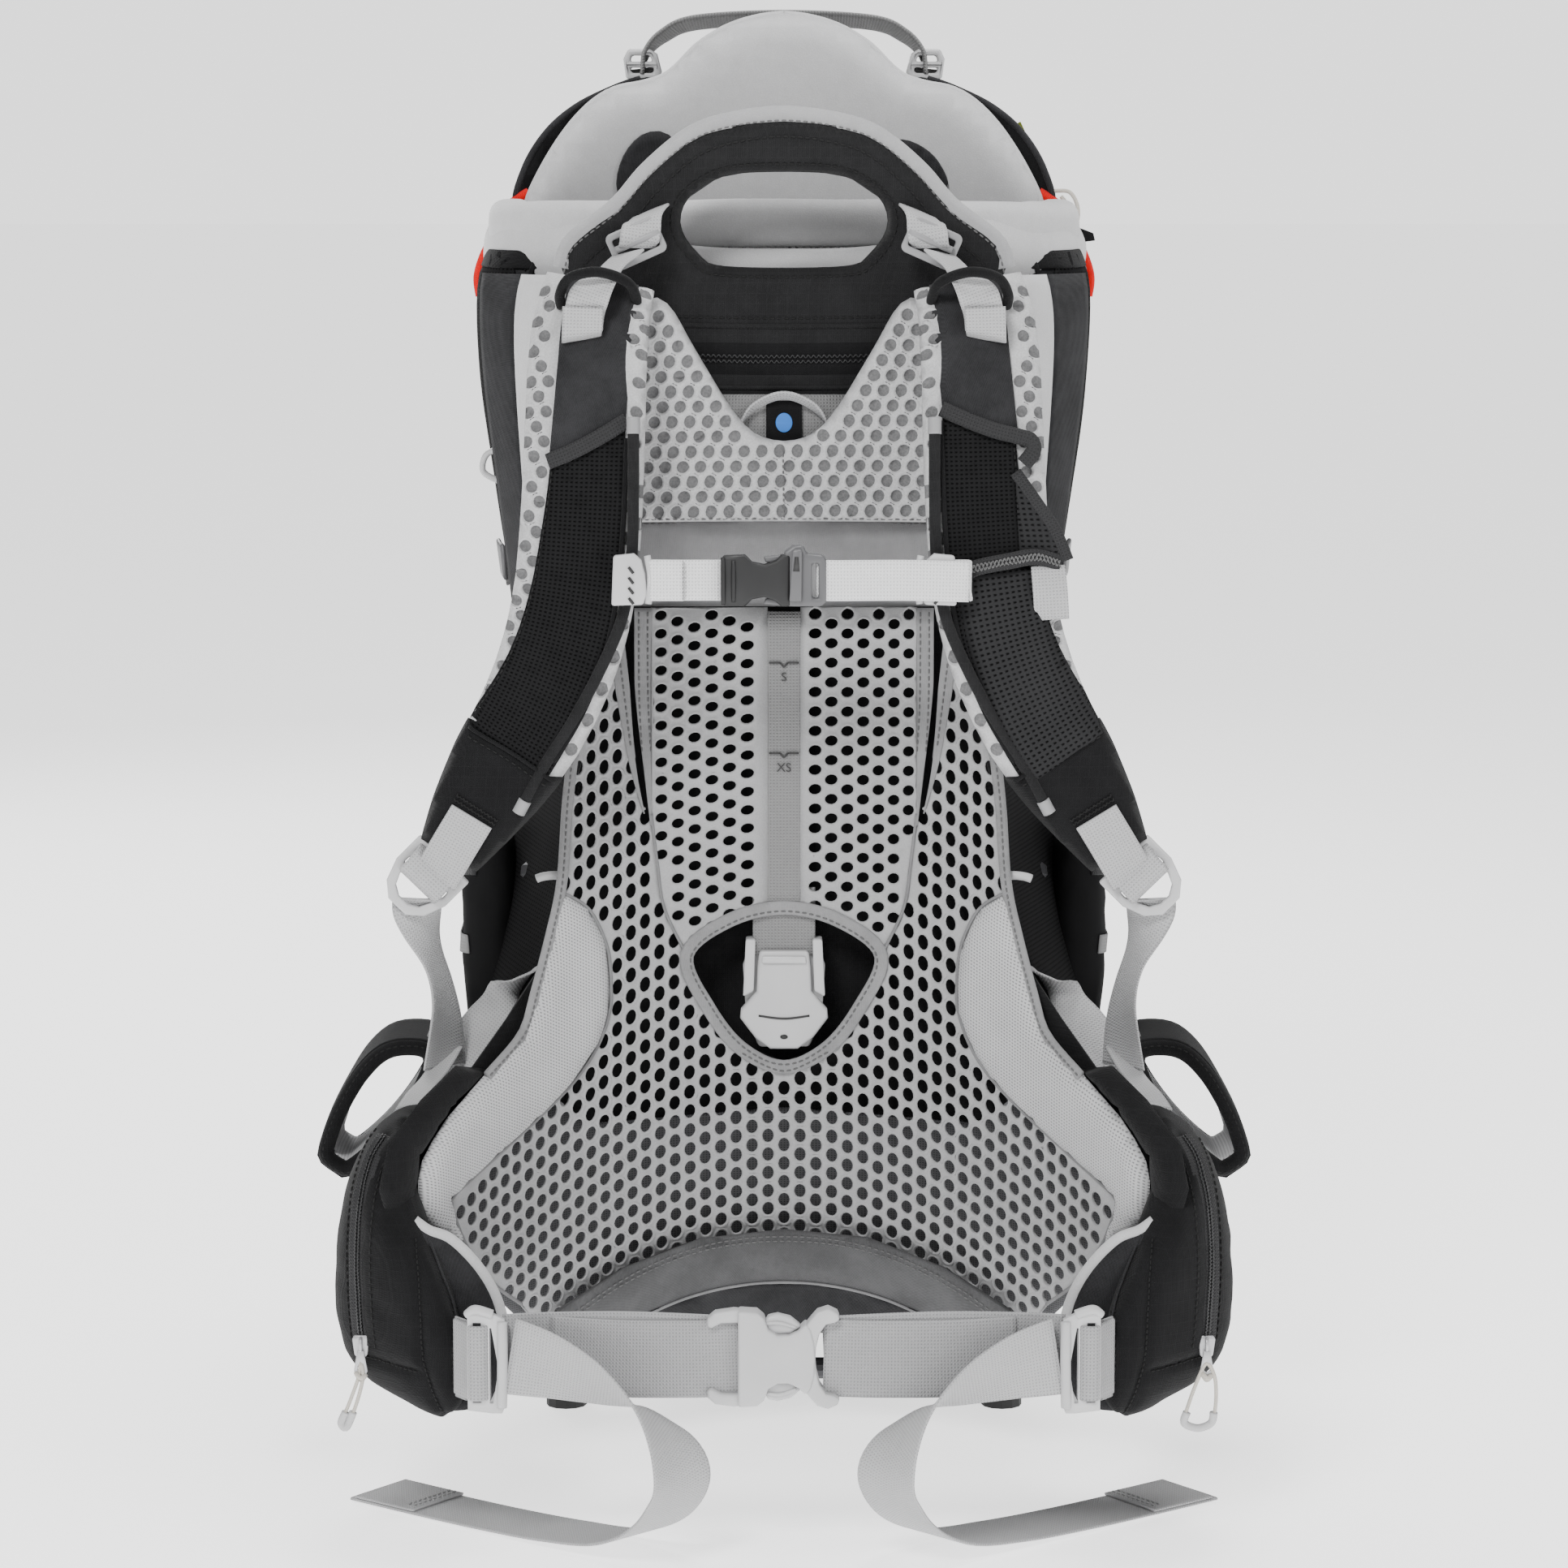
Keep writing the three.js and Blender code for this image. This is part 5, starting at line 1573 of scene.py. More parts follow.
def chest_webbing():
    """The two webbings of the chest strap."""
    y, z = CHEST_Y, CHEST_Z
    ribbon("chest_web_left", [(-66.5, y + 1.2, z, 0, 0, 1), (-50, y, z, 0, 0, 1),
                              (-30, y, z, 0, 0, 1)], CHEST_WEBBING, "chest_strap",
           "pale_webbing", 14, ("chest_webbing_L",))
    ribbon("chest_web_left_lap", [(-66, y - 1.2, z, 0, 0, 1), (-57, y - 1.9, z, 0, 0, 1),
                                  (-49, y - 1.7, z, 0, 0, 1)], CHEST_WEBBING, "chest_strap",
           "pale_webbing", 10)
    ribbon("chest_web_right", [(16, y, z, 0, 0, 1), (24, y - 2.6, z, 0, 0, 1),
                               (60, y - 2.7, z + 0.2, 0, 0, 1), (90, y - 2.5, z - 0.5, 0, 0, 1)],
           CHEST_WEBBING, "chest_plug", "pale_webbing", 30, ("chest_webbing_R",))
    ribbon("chest_web_right_tail", [(89, y - 2.5, z - 0.5, 0, 0, 1), (90.5, y - 0.8, z, 0, 0, 1),
                                    (88, y + 0.6, z, 0, 0, 1), (78, y + 0.8, z, 0, 0, 1)],
           CHEST_WEBBING, "chest_plug", "pale_webbing", 14)
    seam = [at(-48.5, y - 2.8, z - 9.5), at(-48.5, y - 2.8, z + 9.5)]
    stitches("chest_web_seam", seam, "chest_strap", "pale_thread", 1.6, 0.8)


def chest_buckle():
    """Socket, prongs and plug with its whistle."""
    y, z = CHEST_Y, CHEST_Z
    socket = [(-30, 481), (-19, 481.5), (-15.5, 478), (-9.5, 476.8), (-4, 479), (-1.5, 481.5),
              (3, 481.5), (3, 456.5), (-1.5, 456.5), (-4, 459), (-9.5, 461.2), (-15.5, 460),
              (-19, 456.5), (-30, 457)]
    plate("chest_socket", socket, y - 5.5, y + 4, "chest_strap", "black_plastic", 1.6,
          replaces=("chest_buckle_female",))
    for k, (x, height) in enumerate(((-29.5, 25), (-24.5, 22))):
        cord(f"chest_socket_rib_{k}", [(x, y - 5, z - height / 2 + 1), (x, y - 5.8, z),
                                       (x, y - 5, z + height / 2 - 1)], 1.2, "chest_strap",
             "black_plastic", 12)
    for k, edge in enumerate((1, -1)):
        prong = [(-10, z + 11.5 * edge), (-3, z + 12.2 * edge), (2, z + 12 * edge),
                 (2, z + 8.5 * edge), (-9, z + 8.8 * edge)]
        plate(f"chest_prong_{k}", prong, y - 2, y + 2, "chest_plug", "dark_grey_plastic", 0.8)
    plug = [(0, 483), (4, 486), (9.5, 486), (11, 482), (19, 481.5), (20.5, 479), (20.5, 459),
            (18.5, 456.5), (2.5, 456.5), (0, 459)]
    slot = [(13.6, 460.5), (16.8, 460.5), (16.8, 477.5), (13.6, 477.5)]
    plate("chest_plug_body", plug, y - 4.6, y + 3.6, "chest_plug", "dark_grey_plastic", 1.4,
          [slot], ("chest_buckle_male",))
    plate("chest_whistle", [(2.5, 459), (8.5, 459), (8.8, 484.5), (4.2, 484.5)], y - 7.2, y - 4,
          "chest_plug", "dark_grey_plastic", 1.1)
    plate("chest_whistle_slot", [(4.4, 474), (7.6, 474), (7.0, 481), (5.2, 481)], y - 7.5,
          y - 7.0, "chest_plug", "ink", 0)


# ------------------------------------------------------------------ puffed cloth

def lofted(name, rows):
    """A closed mesh through level outlines; each row is (z, [(x, y), ...]) in millimetres."""
    ring = len(rows[0][1])
    vertices = [at(x, y, z) for z, loop in rows for x, y in loop]
    faces = []
    for j in range(len(rows) - 1):
        for i in range(ring):
            k = (i + 1) % ring
            faces.append((j * ring + i, j * ring + k, (j + 1) * ring + k, (j + 1) * ring + i))
    faces.append(tuple(range(ring - 1, -1, -1)))
    faces.append(tuple((len(rows) - 1) * ring + i for i in range(ring)))
    return mesh_piece(name, vertices, faces)


def recalculate(piece):
    """Faces all pointing out."""
    work = bmesh.new()
    work.from_mesh(piece.data)
    bmesh.ops.recalc_face_normals(work, faces=work.faces)
    work.to_mesh(piece.data)
    work.free()


def puff(piece, voxel=4.5, pressure=4.0, cap=5.0, soften=6, wrinkle=0.0, seed=1):
    """Blows a closed mesh up as sewn cloth does, and keeps the result."""
    recalculate(piece)
    add_modifier(piece, "REMESH", mode="VOXEL", voxel_size=voxel * MM)
    add_modifier(piece, "SMOOTH", factor=0.5, iterations=soften)
    apply_modifiers(piece)
    rest = [v.co.copy() for v in piece.data.vertices]
    scene = bpy.context.scene
    scene.frame_set(1)
    cloth = add_modifier(piece, "CLOTH")
    cloth.settings.quality = 4
    cloth.settings.mass = 0.3
    cloth.settings.tension_stiffness = 12
    cloth.settings.compression_stiffness = 12
    cloth.settings.use_pressure = True
    cloth.settings.uniform_pressure_force = pressure
    cloth.settings.effector_weights.gravity = 0
    cloth.point_cache.frame_end = 20
    for step in range(1, 21):
        scene.frame_set(step)
    evaluated = piece.evaluated_get(bpy.context.evaluated_depsgraph_get())
    blown = [v.co.copy() for v in evaluated.data.vertices]
    piece.modifiers.clear()
    for vertex, start, moved in zip(piece.data.vertices, rest, blown):
        shift = moved - start
        if shift.length > cap * MM:
            shift *= cap * MM / shift.length
        vertex.co = start + shift
    scene.frame_set(1)
    if wrinkle:
        normals = [v.normal.copy() for v in piece.data.vertices]
        for vertex, normal in zip(piece.data.vertices, normals):
            p = vertex.co
            fold = noise.noise(Vector((p.x * 40 + seed, p.y * 25, p.z * 95 + p.x * 60)))
            fine = noise.noise(Vector((p.x * 130, p.y * 110 + seed, p.z * 150)))
            vertex.co = p + normal * ((fold * 0.75 + fine * 0.25) * wrinkle * MM)
    add_modifier(piece, "SUBSURF", levels=1, render_levels=1)
    apply_modifiers(piece)
    return piece


def pinch(piece, lines, depth, reach):
    """Pulls a mesh in along seam lines of points in metres."""
    points = [p for line in lines for p in line]
    tree = KDTree(len(points))
    for i, p in enumerate(points):
        tree.insert(p, i)
    tree.balance()
    normals = [v.normal.copy() for v in piece.data.vertices]
    for vertex, normal in zip(piece.data.vertices, normals):
        distance = tree.find(vertex.co)[2] / (reach * MM)
        if distance < 1:
            vertex.co -= normal * (depth * MM * (1 - distance) ** 2)


def caster(piece):
    """A tree that rays can be cast against."""
    return BVHTree.FromObject(piece, bpy.context.evaluated_depsgraph_get())


def cast(tree, points, direction, lift=0.6, reach=0.25):
    """Lays points onto a piece by looking along a direction; keeps only those that land."""
    landed = []
    way = Vector(direction).normalized()
    for p in points:
        hit, normal, _, _ = tree.ray_cast(at(*p) - way * reach, way, reach * 2)
        if hit:
            if normal.dot(way) > 0:
                normal = -normal
            landed.append((hit + normal * (lift * MM), normal))
    return landed


def eased(landed, rounds=3):
    """Landed points and normals, averaged with their neighbours."""
    for _ in range(rounds):
        middle = [tuple((a + b * 2 + c) / 4 for a, b, c in zip(*three))
                  for three in zip(landed, landed[1:], landed[2:])]
        landed = [landed[0], *middle, landed[-1]]
    return landed


def laid_band(name, tree, points, direction, width, body, material, lift=0.6, thickness=0.9,
              count=30):
    """A flat band laid on a piece."""
    landed = eased(cast(tree, smooth_path(points, count), direction, lift))
    frames = []
    for i, (p, normal) in enumerate(landed):
        before, after = landed[max(i - 1, 0)][0], landed[min(i + 1, len(landed) - 1)][0]
        ahead = (after - before).normalized()
        side = ahead.cross(normal).normalized()
        frames.append((p, side, side.cross(ahead)))
    return swept(name, frames, band_section(width, thickness), body, material)


def laid_stitches(name, tree, points, direction, body, **style):
    """Stitches laid on a piece along a smooth path."""
    landed = cast(tree, smooth_path(points, 50), direction, 0.4)
    return stitches(name, [p for p, _ in landed], body, "dark_thread", **style)


def laid_zip(name, tree, points, direction, body, width=11.0):
    """Zip tape and two rows of coil laid on a piece; gives back where they landed."""
    laid_band(name + "_tape", tree, points, direction, width, body, "black_webbing", 0.5)
    landed = eased(cast(tree, smooth_path(points, 120), direction, 1.5), 8)
    for k, turn in enumerate((1, -1)):
        coil = []
        for i, (p, normal) in enumerate(landed):
            after = landed[min(i + 1, len(landed) - 1)][0]
            before = landed[max(i - 1, 0)][0]
            side = (after - before).cross(normal).normalized()
            spot = p + side * ((0.5 + (0.9 if i % 2 else 0)) * turn * MM)
            coil.append(from_metres(spot))
        cord(f"{name}_coil_{k}", coil, 0.5, body, "zip_coil", len(coil) * 2, sides=5)
    return [p for p, _ in landed]


# ------------------------------------------------------------------ hip belt

POD = [  # height, back x and y, outermost x, front x and y
    (67, -164, -64, -174, -158, -158), (72, -160, -56, -187, -154, -163),
    (80, -158, -50, -202, -151, -166), (92, -156, -46, -212, -150, -168),
    (108, -154, -44, -216, -152, -169), (130, -152, -42, -217, -158, -168),
    (150, -150, -42, -216, -167, -165), (170, -149, -46, -213, -176, -157),
    (188, -151, -56, -207, -181, -146), (202, -158, -70, -199, -182, -134),
    (212, -167, -84, -189, -180, -120),
]


def pod_loop(xb, yb, xo, xf, yf):
    """Level outline of a hip pod from its corner places."""
    points = [(xb, yb), (mix(xb, xo, 0.62), mix(yb, -118, 0.3)), (xo + 3, -98), (xo, -122),
              (xo + 7, -144), (mix(xo, xf, 0.62), yf - 1), (xf, yf), (xf - 4, yf + 14),
              (-181, -112), (-170, -84)]
    return smooth_path(points, 36, closed=True)


def hip_pods():
    """Padded hip wings with their zipped pockets."""
    zip_line_points = [(-194, -200, 200), (-200, -200, 191), (-204.5, -200, 174),
                       (-206.5, -200, 149), (-206, -200, 122), (-204.5, -200, 101)]
    level_seam = [(-207, -200, 95), (-198, -200, 94.5), (-185, -200, 93), (-176, -200, 92)]
    front_seam = [(-178, -200, 156), (-176, -200, 140), (-175, -200, 120), (-174, -200, 100),
                  (-169, -200, 80), (-163, -200, 66)]
    flap_edge = [(-173, -200, 156), (-166, -200, 140), (-160, -200, 124), (-156.5, -200, 106)]
    for side, sign in SIDES:
        rows = [(z, flip(pod_loop(*row), sign)) for z, *row in POD]
        pod = lofted(f"hip_pod_{side}", rows)
        puff(pod, voxel=4.5, cap=4.0, soften=4, wrinkle=1.1, seed=3 if sign > 0 else 9)
        ahead = (0, 1, 0)
        tree = caster(pod)
        lines = [[p for p, _ in cast(tree, smooth_path(flip(line, sign), 60), ahead, 0)]
                 for line in (zip_line_points, level_seam, front_seam)]
        pinch(pod, lines[1:], 2.4, 6.0)
        pinch(pod, lines[:1], 1.6, 8.0)
        finish_piece(pod, "frame", "black_fabric", (f"hip_pocket_{side}", f"hip_pad_{side}"))
        tree = caster(pod)
        laid_zip(f"hip_zip_{side}", tree, flip(zip_line_points, sign), ahead, "frame")
        for k, shift in enumerate((-6.6, 6.6)):
            line = [(x + shift * (1 if k else 0.9), y, z) for x, y, z in zip_line_points]
            laid_stitches(f"hip_zip_stitch_{side}_{k}", tree, flip(line, sign), ahead, "frame")
        for name, line in (("level", level_seam), ("front", front_seam), ("flap", flap_edge)):
            laid_stitches(f"hip_seam_{name}_{side}", tree, flip(line, sign), ahead, "frame",
                          stitch=2.0, gap=0.8)
        laid_band(f"hip_flap_edge_{side}", tree, flip(flap_edge, sign), ahead, 1.6, "frame",
                  "dark_fabric", lift=0.8)
        zigzag = [(-159 + (1.1 if i % 2 else -1.1), -200, 122 - i * 1.7) for i in range(22)]
        laid_stitches(f"hip_zigzag_{side}", tree, flip(zigzag, sign), ahead, "frame",
                      stitch=1.5, gap=0.2)
        zip_pull(side, sign, tree)
        hip_fin(side, sign)
        wing_band(side, sign)


ZIP_PULL_X, ZIP_PULL_Z = -204.5, 101    # where the slider of the left pod stands


def zip_pull(side, sign, tree):
    """Slider on the pod's zip, with its tab, knotted cord loop and grip."""
    body, z = f"zip_{HAND[side]}", ZIP_PULL_Z
    x, y, _ = from_metres(cast(tree, [(ZIP_PULL_X * sign, -200, z)], (0, 1, 0), 1.6)[0][0])
    slider = [(x - 3.2, z - 4.5), (x - 2.6, z - 5.5), (x + 2.6, z - 5.5), (x + 3.2, z - 4.5),
              (x + 4.2, z + 3), (x + 3.4, z + 5), (x - 3.4, z + 5), (x - 4.2, z + 3)]
    plate(f"zip_slider_body_{side}", slider, y - 1.6, y + 0.6, body, "zip_metal", 0.7,
          replaces=(f"zip_slider_{side}",))
    cord(f"zip_slider_bridge_{side}", [(x, y - 1, z + 4), (x, y - 3.4, z + 2.4),
                                       (x, y - 3.4, z - 2), (x, y - 1, z - 4)], 0.9, body,
         "zip_metal", 14)
    tab = [(x - 1.6, z - 2), (x - 3.4, z - 12), (x - 2.2, z - 14.5), (x + 2.2, z - 14.5),
           (x + 3.4, z - 12), (x + 1.6, z - 2)]
    plate(f"zip_slider_tab_{side}", tab, y - 4.4, y - 3.4, body, "zip_metal", 0.4,
          [ellipse(x, z - 10.5, 1.5, 1.9)])
    spread = 1.8 if side == "L" else 6.5
    lean = -8 if side == "L" else -4
    loop = [(x, y - 4, z - 8), (x - 1.2 * spread / 2, y - 4.4, z - 15),
            (x + lean * 0.5 - spread, y - 4.2, z - 28), (x + lean - spread, y - 3.4, z - 38),
            (x + lean, y - 3.6, z - 40.5), (x + lean + spread, y - 3.4, z - 38),
            (x + lean * 0.5 + spread, y - 4.6, z - 28), (x + 1.2 * spread / 2, y - 5, z - 15)]
    cord(f"zip_cord_{side}", loop, 0.95, body, "beige_cord", 60, closed=True)
    knot = [(x - 2.2, y - 4.6, z - 13), (x, y - 6, z - 15), (x + 2.2, y - 4.6, z - 14),
            (x, y - 3.4, z - 16.5)]
    cord(f"zip_knot_{side}", knot, 1.2, body, "beige_cord", 20, closed=True)
    first, *bend, last = loop[2:7]
    cord(f"zip_grip_{side}", [mix_point(first, bend[0], 0.45), *bend,
                              mix_point(last, bend[-1], 0.45)], 2.0, body, "grey_plastic",
         30, sides=12)


def hip_fin(side, sign):
    """Padded fin that carries the belt, with its light rolled edge."""
    edge = [(-179, -152, 163), (-172, -152, 158), (-162, -150, 153.5), (-151, -148, 142),
            (-142.5, -148, 129), (-137.5, -150, 116), (-135, -152, 100), (-136, -152, 86),
            (-142, -150, 72)]
    cord(f"hip_roll_{side}", flip(edge, sign), 3.0, "frame", "brushed_fabric", 60, sides=12)
    inner = [(-178, -138, 158), (-166, -128, 150), (-156, -116, 128), (-148, -108, 100),
             (-148, -108, 76)]
    sheets = ((f"hip_fin_inner_{side}", edge, inner, "fine_mesh", 2.0, 3.0),
              (f"hip_fin_outer_{side}", [(x - 2, y - 2, z) for x, y, z in edge],
               [(-186, -150, 150), (-176, -150, 138), (-168, -152, 118), (-164, -152, 98),
                (-164, -150, 68)], "dark_fabric", 1.4, -4.0))
    for name, first, second, material, thickness, sag in sheets:
        outer_row = smooth_path(flip(first, sign), 30)
        inner_row = smooth_path(flip(second, sign), 30)

        def point(u, v, a=outer_row, b=inner_row, dip=sag):
            x, y, z = mix_point(along(a, u), along(b, u), v)
            return (x, y + dip * math.sin(math.pi * v), z)
        sheet_piece(name, point, 29, 10, thickness, "frame", material)


def wing_band(side, sign):
    """Black fabric along the outside of the gusset, above the pod."""
    edge = [(144, 226), (161, 211), (175, 192), (178, 168), (176, 152), (186, 158), (190, 180),
            (186, 201), (172, 218), (157, 230)]
    loop = cut_line(flip(edge, -sign))
    raised = pillowed(on_panel, loop, 7.0, 8.0, low=-6.0)
    cut_sheet(f"wing_band_{side}", loop, raised, "frame", "black_fabric", spacing=5.0,
              thickness=1.6)
    behind = [(118, 268), (132, 247), (148, 226), (165, 209), (179, 194), (178, 166), (160, 160),
              (140, 176), (112, 206), (102, 240)]
    cut_sheet(f"wing_lining_{side}", cut_line(flip(behind, -sign)),
              lifted(on_panel, -9.0), "frame", "black_fabric", spacing=10.0, thickness=1.4)


def belt_lock(side, sign):
    """Adjuster with its bars, and the webbing that goes round it."""
    y, cx, cz = BELT_Y, LOCK_X, LOCK_Z
    frame_loop = [(cx - 8, cz + 24), (cx - 4, cz + 26), (cx + 3, cz + 24.5),
                  (cx + 10, cz + 21), (cx + 10.5, cz - 20), (cx + 8.5, cz - 25),
                  (cx + 4, cz - 25), (cx - 8, cz - 23.5)]
    slots = [[(cx - 5.5, cz - 19.5), (cx - 1.5, cz - 19.5), (cx - 1.5, cz + 19.5),
              (cx - 5.5, cz + 19.5)],
             [(cx + 2.6, cz - 20), (cx + 4.2, cz - 20), (cx + 6.8, cz - 3),
              (cx + 3.4, cz + 17), (cx + 2.6, cz + 17)]]
    plate(f"belt_lock_{side}", flip(frame_loop, sign), y - 5.5, y - 1.5, "frame",
          "grey_plastic", 1.2, [flip(slot, sign) for slot in slots],
          (f"belt_adjuster_{side}",))
    cord(f"belt_lock_bar_{side}", flip([(cx + 8.6, y - 4.4, cz + 20), (cx + 8.8, y - 6, cz),
                                         (cx + 8.2, y - 4.6, cz - 22)], sign), 2.6, "frame",
         "grey_plastic", 24, sides=12)
    cord(f"belt_lock_horn_{side}", flip([(cx - 8, y - 3, cz + 23), (cx - 4, y - 5, cz + 26),
                                          (cx + 4, y - 4.6, cz + 23.5)], sign), 2.4,
         "frame", "grey_plastic", 18, sides=12)
    wrap = [(cx - 15, y + 8, cz, 0, 0, 1), (cx - 10, y + 1, cz, 0, 0, 1),
            (cx - 6, y - 6.5, cz, 0, 0, 1), (cx - 0.5, y - 6.8, cz, 0, 0, 1),
            (cx + 2.5, y - 3, cz, 0, 0, 1)]
    ribbon(f"belt_wrap_{side}", turned_rows(wrap, sign), BELT_WEBBING - 1, "frame",
           "belt_webbing", 24)
    tab = [(cx - 14.5, y + 11, cz - 1, 0, 0, 1), (cx - 9, y + 3.5, cz - 1, 0, 0, 1)]
    ribbon(f"belt_tab_{side}", turned_rows(tab, sign), BELT_WEBBING + 2, "frame",
           "belt_webbing", 6)


def belt():
    """Belt webbings, adjusters and buckle."""
    y, z = BELT_Y, BELT_Z
    for side, sign in SIDES:
        near = -21 if side == "L" else -19
        low = [(-134, y + 0.6, z, 0, 0, 1), (-110, y + 1.2, z + 1, 0, 0, 1),
               (-70, y + 1.0, z + 1.2, 0, 0, 1), (near, y + 0.6, z - 1, 0, 0, 1)]
        over = [(-112, y - 0.2, z - 1, 0, 0.02, 1), (-80, y - 1.4, z - 2.4, 0, 0.02, 1),
                (-45, y - 1.6, z - 2.6, 0, 0.01, 1), (near, y - 1.4, z - 2, 0, 0, 1)]
        body = "frame" if side == "L" else "belt_plug"
        ribbon(f"belt_band_{side}", turned_rows(low, sign), BELT_WEBBING,
               body, "belt_webbing", 40, (f"belt_webbing_{side}",))
        ribbon(f"belt_lap_{side}", turned_rows(over, sign), BELT_WEBBING, body,
               "belt_webbing", 40)
        belt_lock(side, sign)
    belt_buckle(y - 1, 103.5)


def belt_buckle(y, z):
    """Side-release buckle of the hip belt."""
    def shifted(points):
        return [(x, z + h) for x, h in points]

    def mirrored_down(upper):
        return shifted([*upper, *[(x, -h) for x, h in reversed(upper) if h > 0]])
    socket = mirrored_down([(-22, 23.5), (-13, 23), (-9.5, 20), (-7.5, 14.5), (-3, 11.8),
                            (2.5, 11.8), (7, 14), (10.5, 17.5), (13, 14), (14.5, 8), (15, 0)])
    plate("belt_socket", socket, y - 7, y + 6, "frame", "grey_plastic", 2.4,
          replaces=("belt_buckle_female",))
    for k, edge in enumerate((1, -1)):
        lug = [(-37, 15.5), (-36.5, 19.5), (-33, 22.5), (-24, 23.8), (-20.5, 23.4),
               (-20.5, 17.5), (-30, 17.3), (-34.5, 15)]
        plate(f"belt_socket_lug_{k}", shifted([(x, h * edge) for x, h in lug]), y - 5, y + 4,
              "frame", "grey_plastic", 1.6)
        leaf = [(-9.5, 16), (-8, 20.5), (-3, 21.5), (3, 20), (8.5, 15.5), (3, 12), (-5, 11.5)]
        plate(f"belt_prong_{k}", shifted([(x, h * edge) for x, h in leaf]), y - 3.5, y + 3,
              "belt_plug", "grey_plastic", 1.6)
        ridge = [(-8.5, y - 3.6, z + 17 * edge), (-2, y - 4.4, z + 17.5 * edge),
                 (6, y - 3.4, z + 15 * edge)]
        cord(f"belt_prong_ridge_{k}", ridge, 0.8, "belt_plug", "grey_plastic", 12)
        arm = [(9.5, 15), (12.5, 19), (16, 23), (21, 24.6), (25.5, 22.5), (26.8, 19.5),
               (24, 17.8), (20, 17), (17, 12.5), (15.4, 6), (15, 0), (13, 0), (12, 8)]
        plate(f"belt_plug_arm_{k}", shifted([(x, h * edge) for x, h in arm]), y - 6, y + 4.5,
              "belt_plug", "grey_plastic", 1.8,
              replaces=("belt_buckle_male",) if k == 0 else ())
    cord("belt_plug_bar", [(21.5, y + 1, z + 21), (21.5, y + 1, z), (21.5, y + 1, z - 21)], 2.2,
         "belt_plug", "grey_plastic", 12, sides=12)
    cord("belt_socket_bar", [(-30, y + 1, z + 20), (-30, y + 1, z), (-30, y + 1, z - 20)], 2.2,
         "frame", "grey_plastic", 12, sides=12)


# ------------------------------------------------------------------ stirrups and side straps

STIRRUP_OUTER = [(-181, 214), (-203, 217), (-219, 206), (-233, 183), (-241, 162), (-241, 155),
                 (-235, 150), (-226, 147), (-204, 166), (-186, 192)]
STIRRUP_INNER = [(-187, 209), (-203, 210), (-216, 199), (-228, 180), (-234, 163), (-234, 158),
                 (-230, 155.5), (-225, 155), (-207, 172), (-191, 194)]


def hoop(name, loop, depths, thickness, sign, body, material, replaces=(), steps=10):
    """A cloth loop between two depths that bows out a little in its middle."""
    vertices, faces, uvs = [], [], []
    ring = steps + 1
    run = 0.0
    for i, (x, z) in enumerate(loop):
        run += math.dist(loop[i - 1], (x, z)) * MM
        j = (i + 1) % len(loop)
        for k in range(ring):
            v = k / steps
            bow = 1.2 * math.sin(math.pi * v) * (x + 212 * sign) / 40
            vertices.append(at(x + bow, mix(*depths, v), z))
            uvs.append((run, v * 0.056))
        faces += [(i * ring + k, i * ring + k + 1, j * ring + k + 1, j * ring + k)
                  for k in range(steps)]
    piece = mesh_piece(name, vertices, faces, uvs)
    add_modifier(piece, "SOLIDIFY", thickness=thickness * MM, offset=0)
    finish_piece(piece, body, material, replaces)


def stirrups():
    """Two foot loops with their lining."""
    for side, sign in SIDES:
        body = f"stirrup_{HAND[side]}"
        outer = smooth_path(flip(STIRRUP_OUTER, sign), 48, closed=True)
        inner = smooth_path(flip(STIRRUP_INNER, sign), 48, closed=True)
        hoop(f"stirrup_shell_{side}", outer, (21, 79), 2.0, sign, body, "black_fabric",
             (f"foot_stirrup_{side}",))
        hoop(f"stirrup_lining_{side}", inner, (22, 78), 1.6, sign, body, "fine_mesh")
        for k, (y, past) in enumerate(((21, -3.6), (79, 3.6))):
            middle = [((a[0] + b[0]) / 2, y, (a[1] + b[1]) / 2) for a, b in zip(outer, inner)]
            cord(f"stirrup_binding_{side}_{k}", middle, 4.2, body, "black_fabric", 90,
                 closed=True, sides=10)
            thread = [(a[0] * 0.72 + b[0] * 0.28, y + past, a[1] * 0.72 + b[1] * 0.28)
                      for a, b in zip(outer, inner)]
            stitches(f"stirrup_stitch_{side}_{k}", [at(*p) for p in [*thread, thread[0]]],
                     body, "dark_thread")
        hanger = [(-176, 40, 236, 0, 1, 0), (-180, 42, 226, 0, 1, 0), (-187, 44, 216, 0, 1, 0),
                  (-195, 44, 216, 0, 1, 0)]
        ribbon(f"stirrup_hanger_{side}", turned_rows(hanger, sign), CHEST_WEBBING, body,
               "grey_webbing", 18)


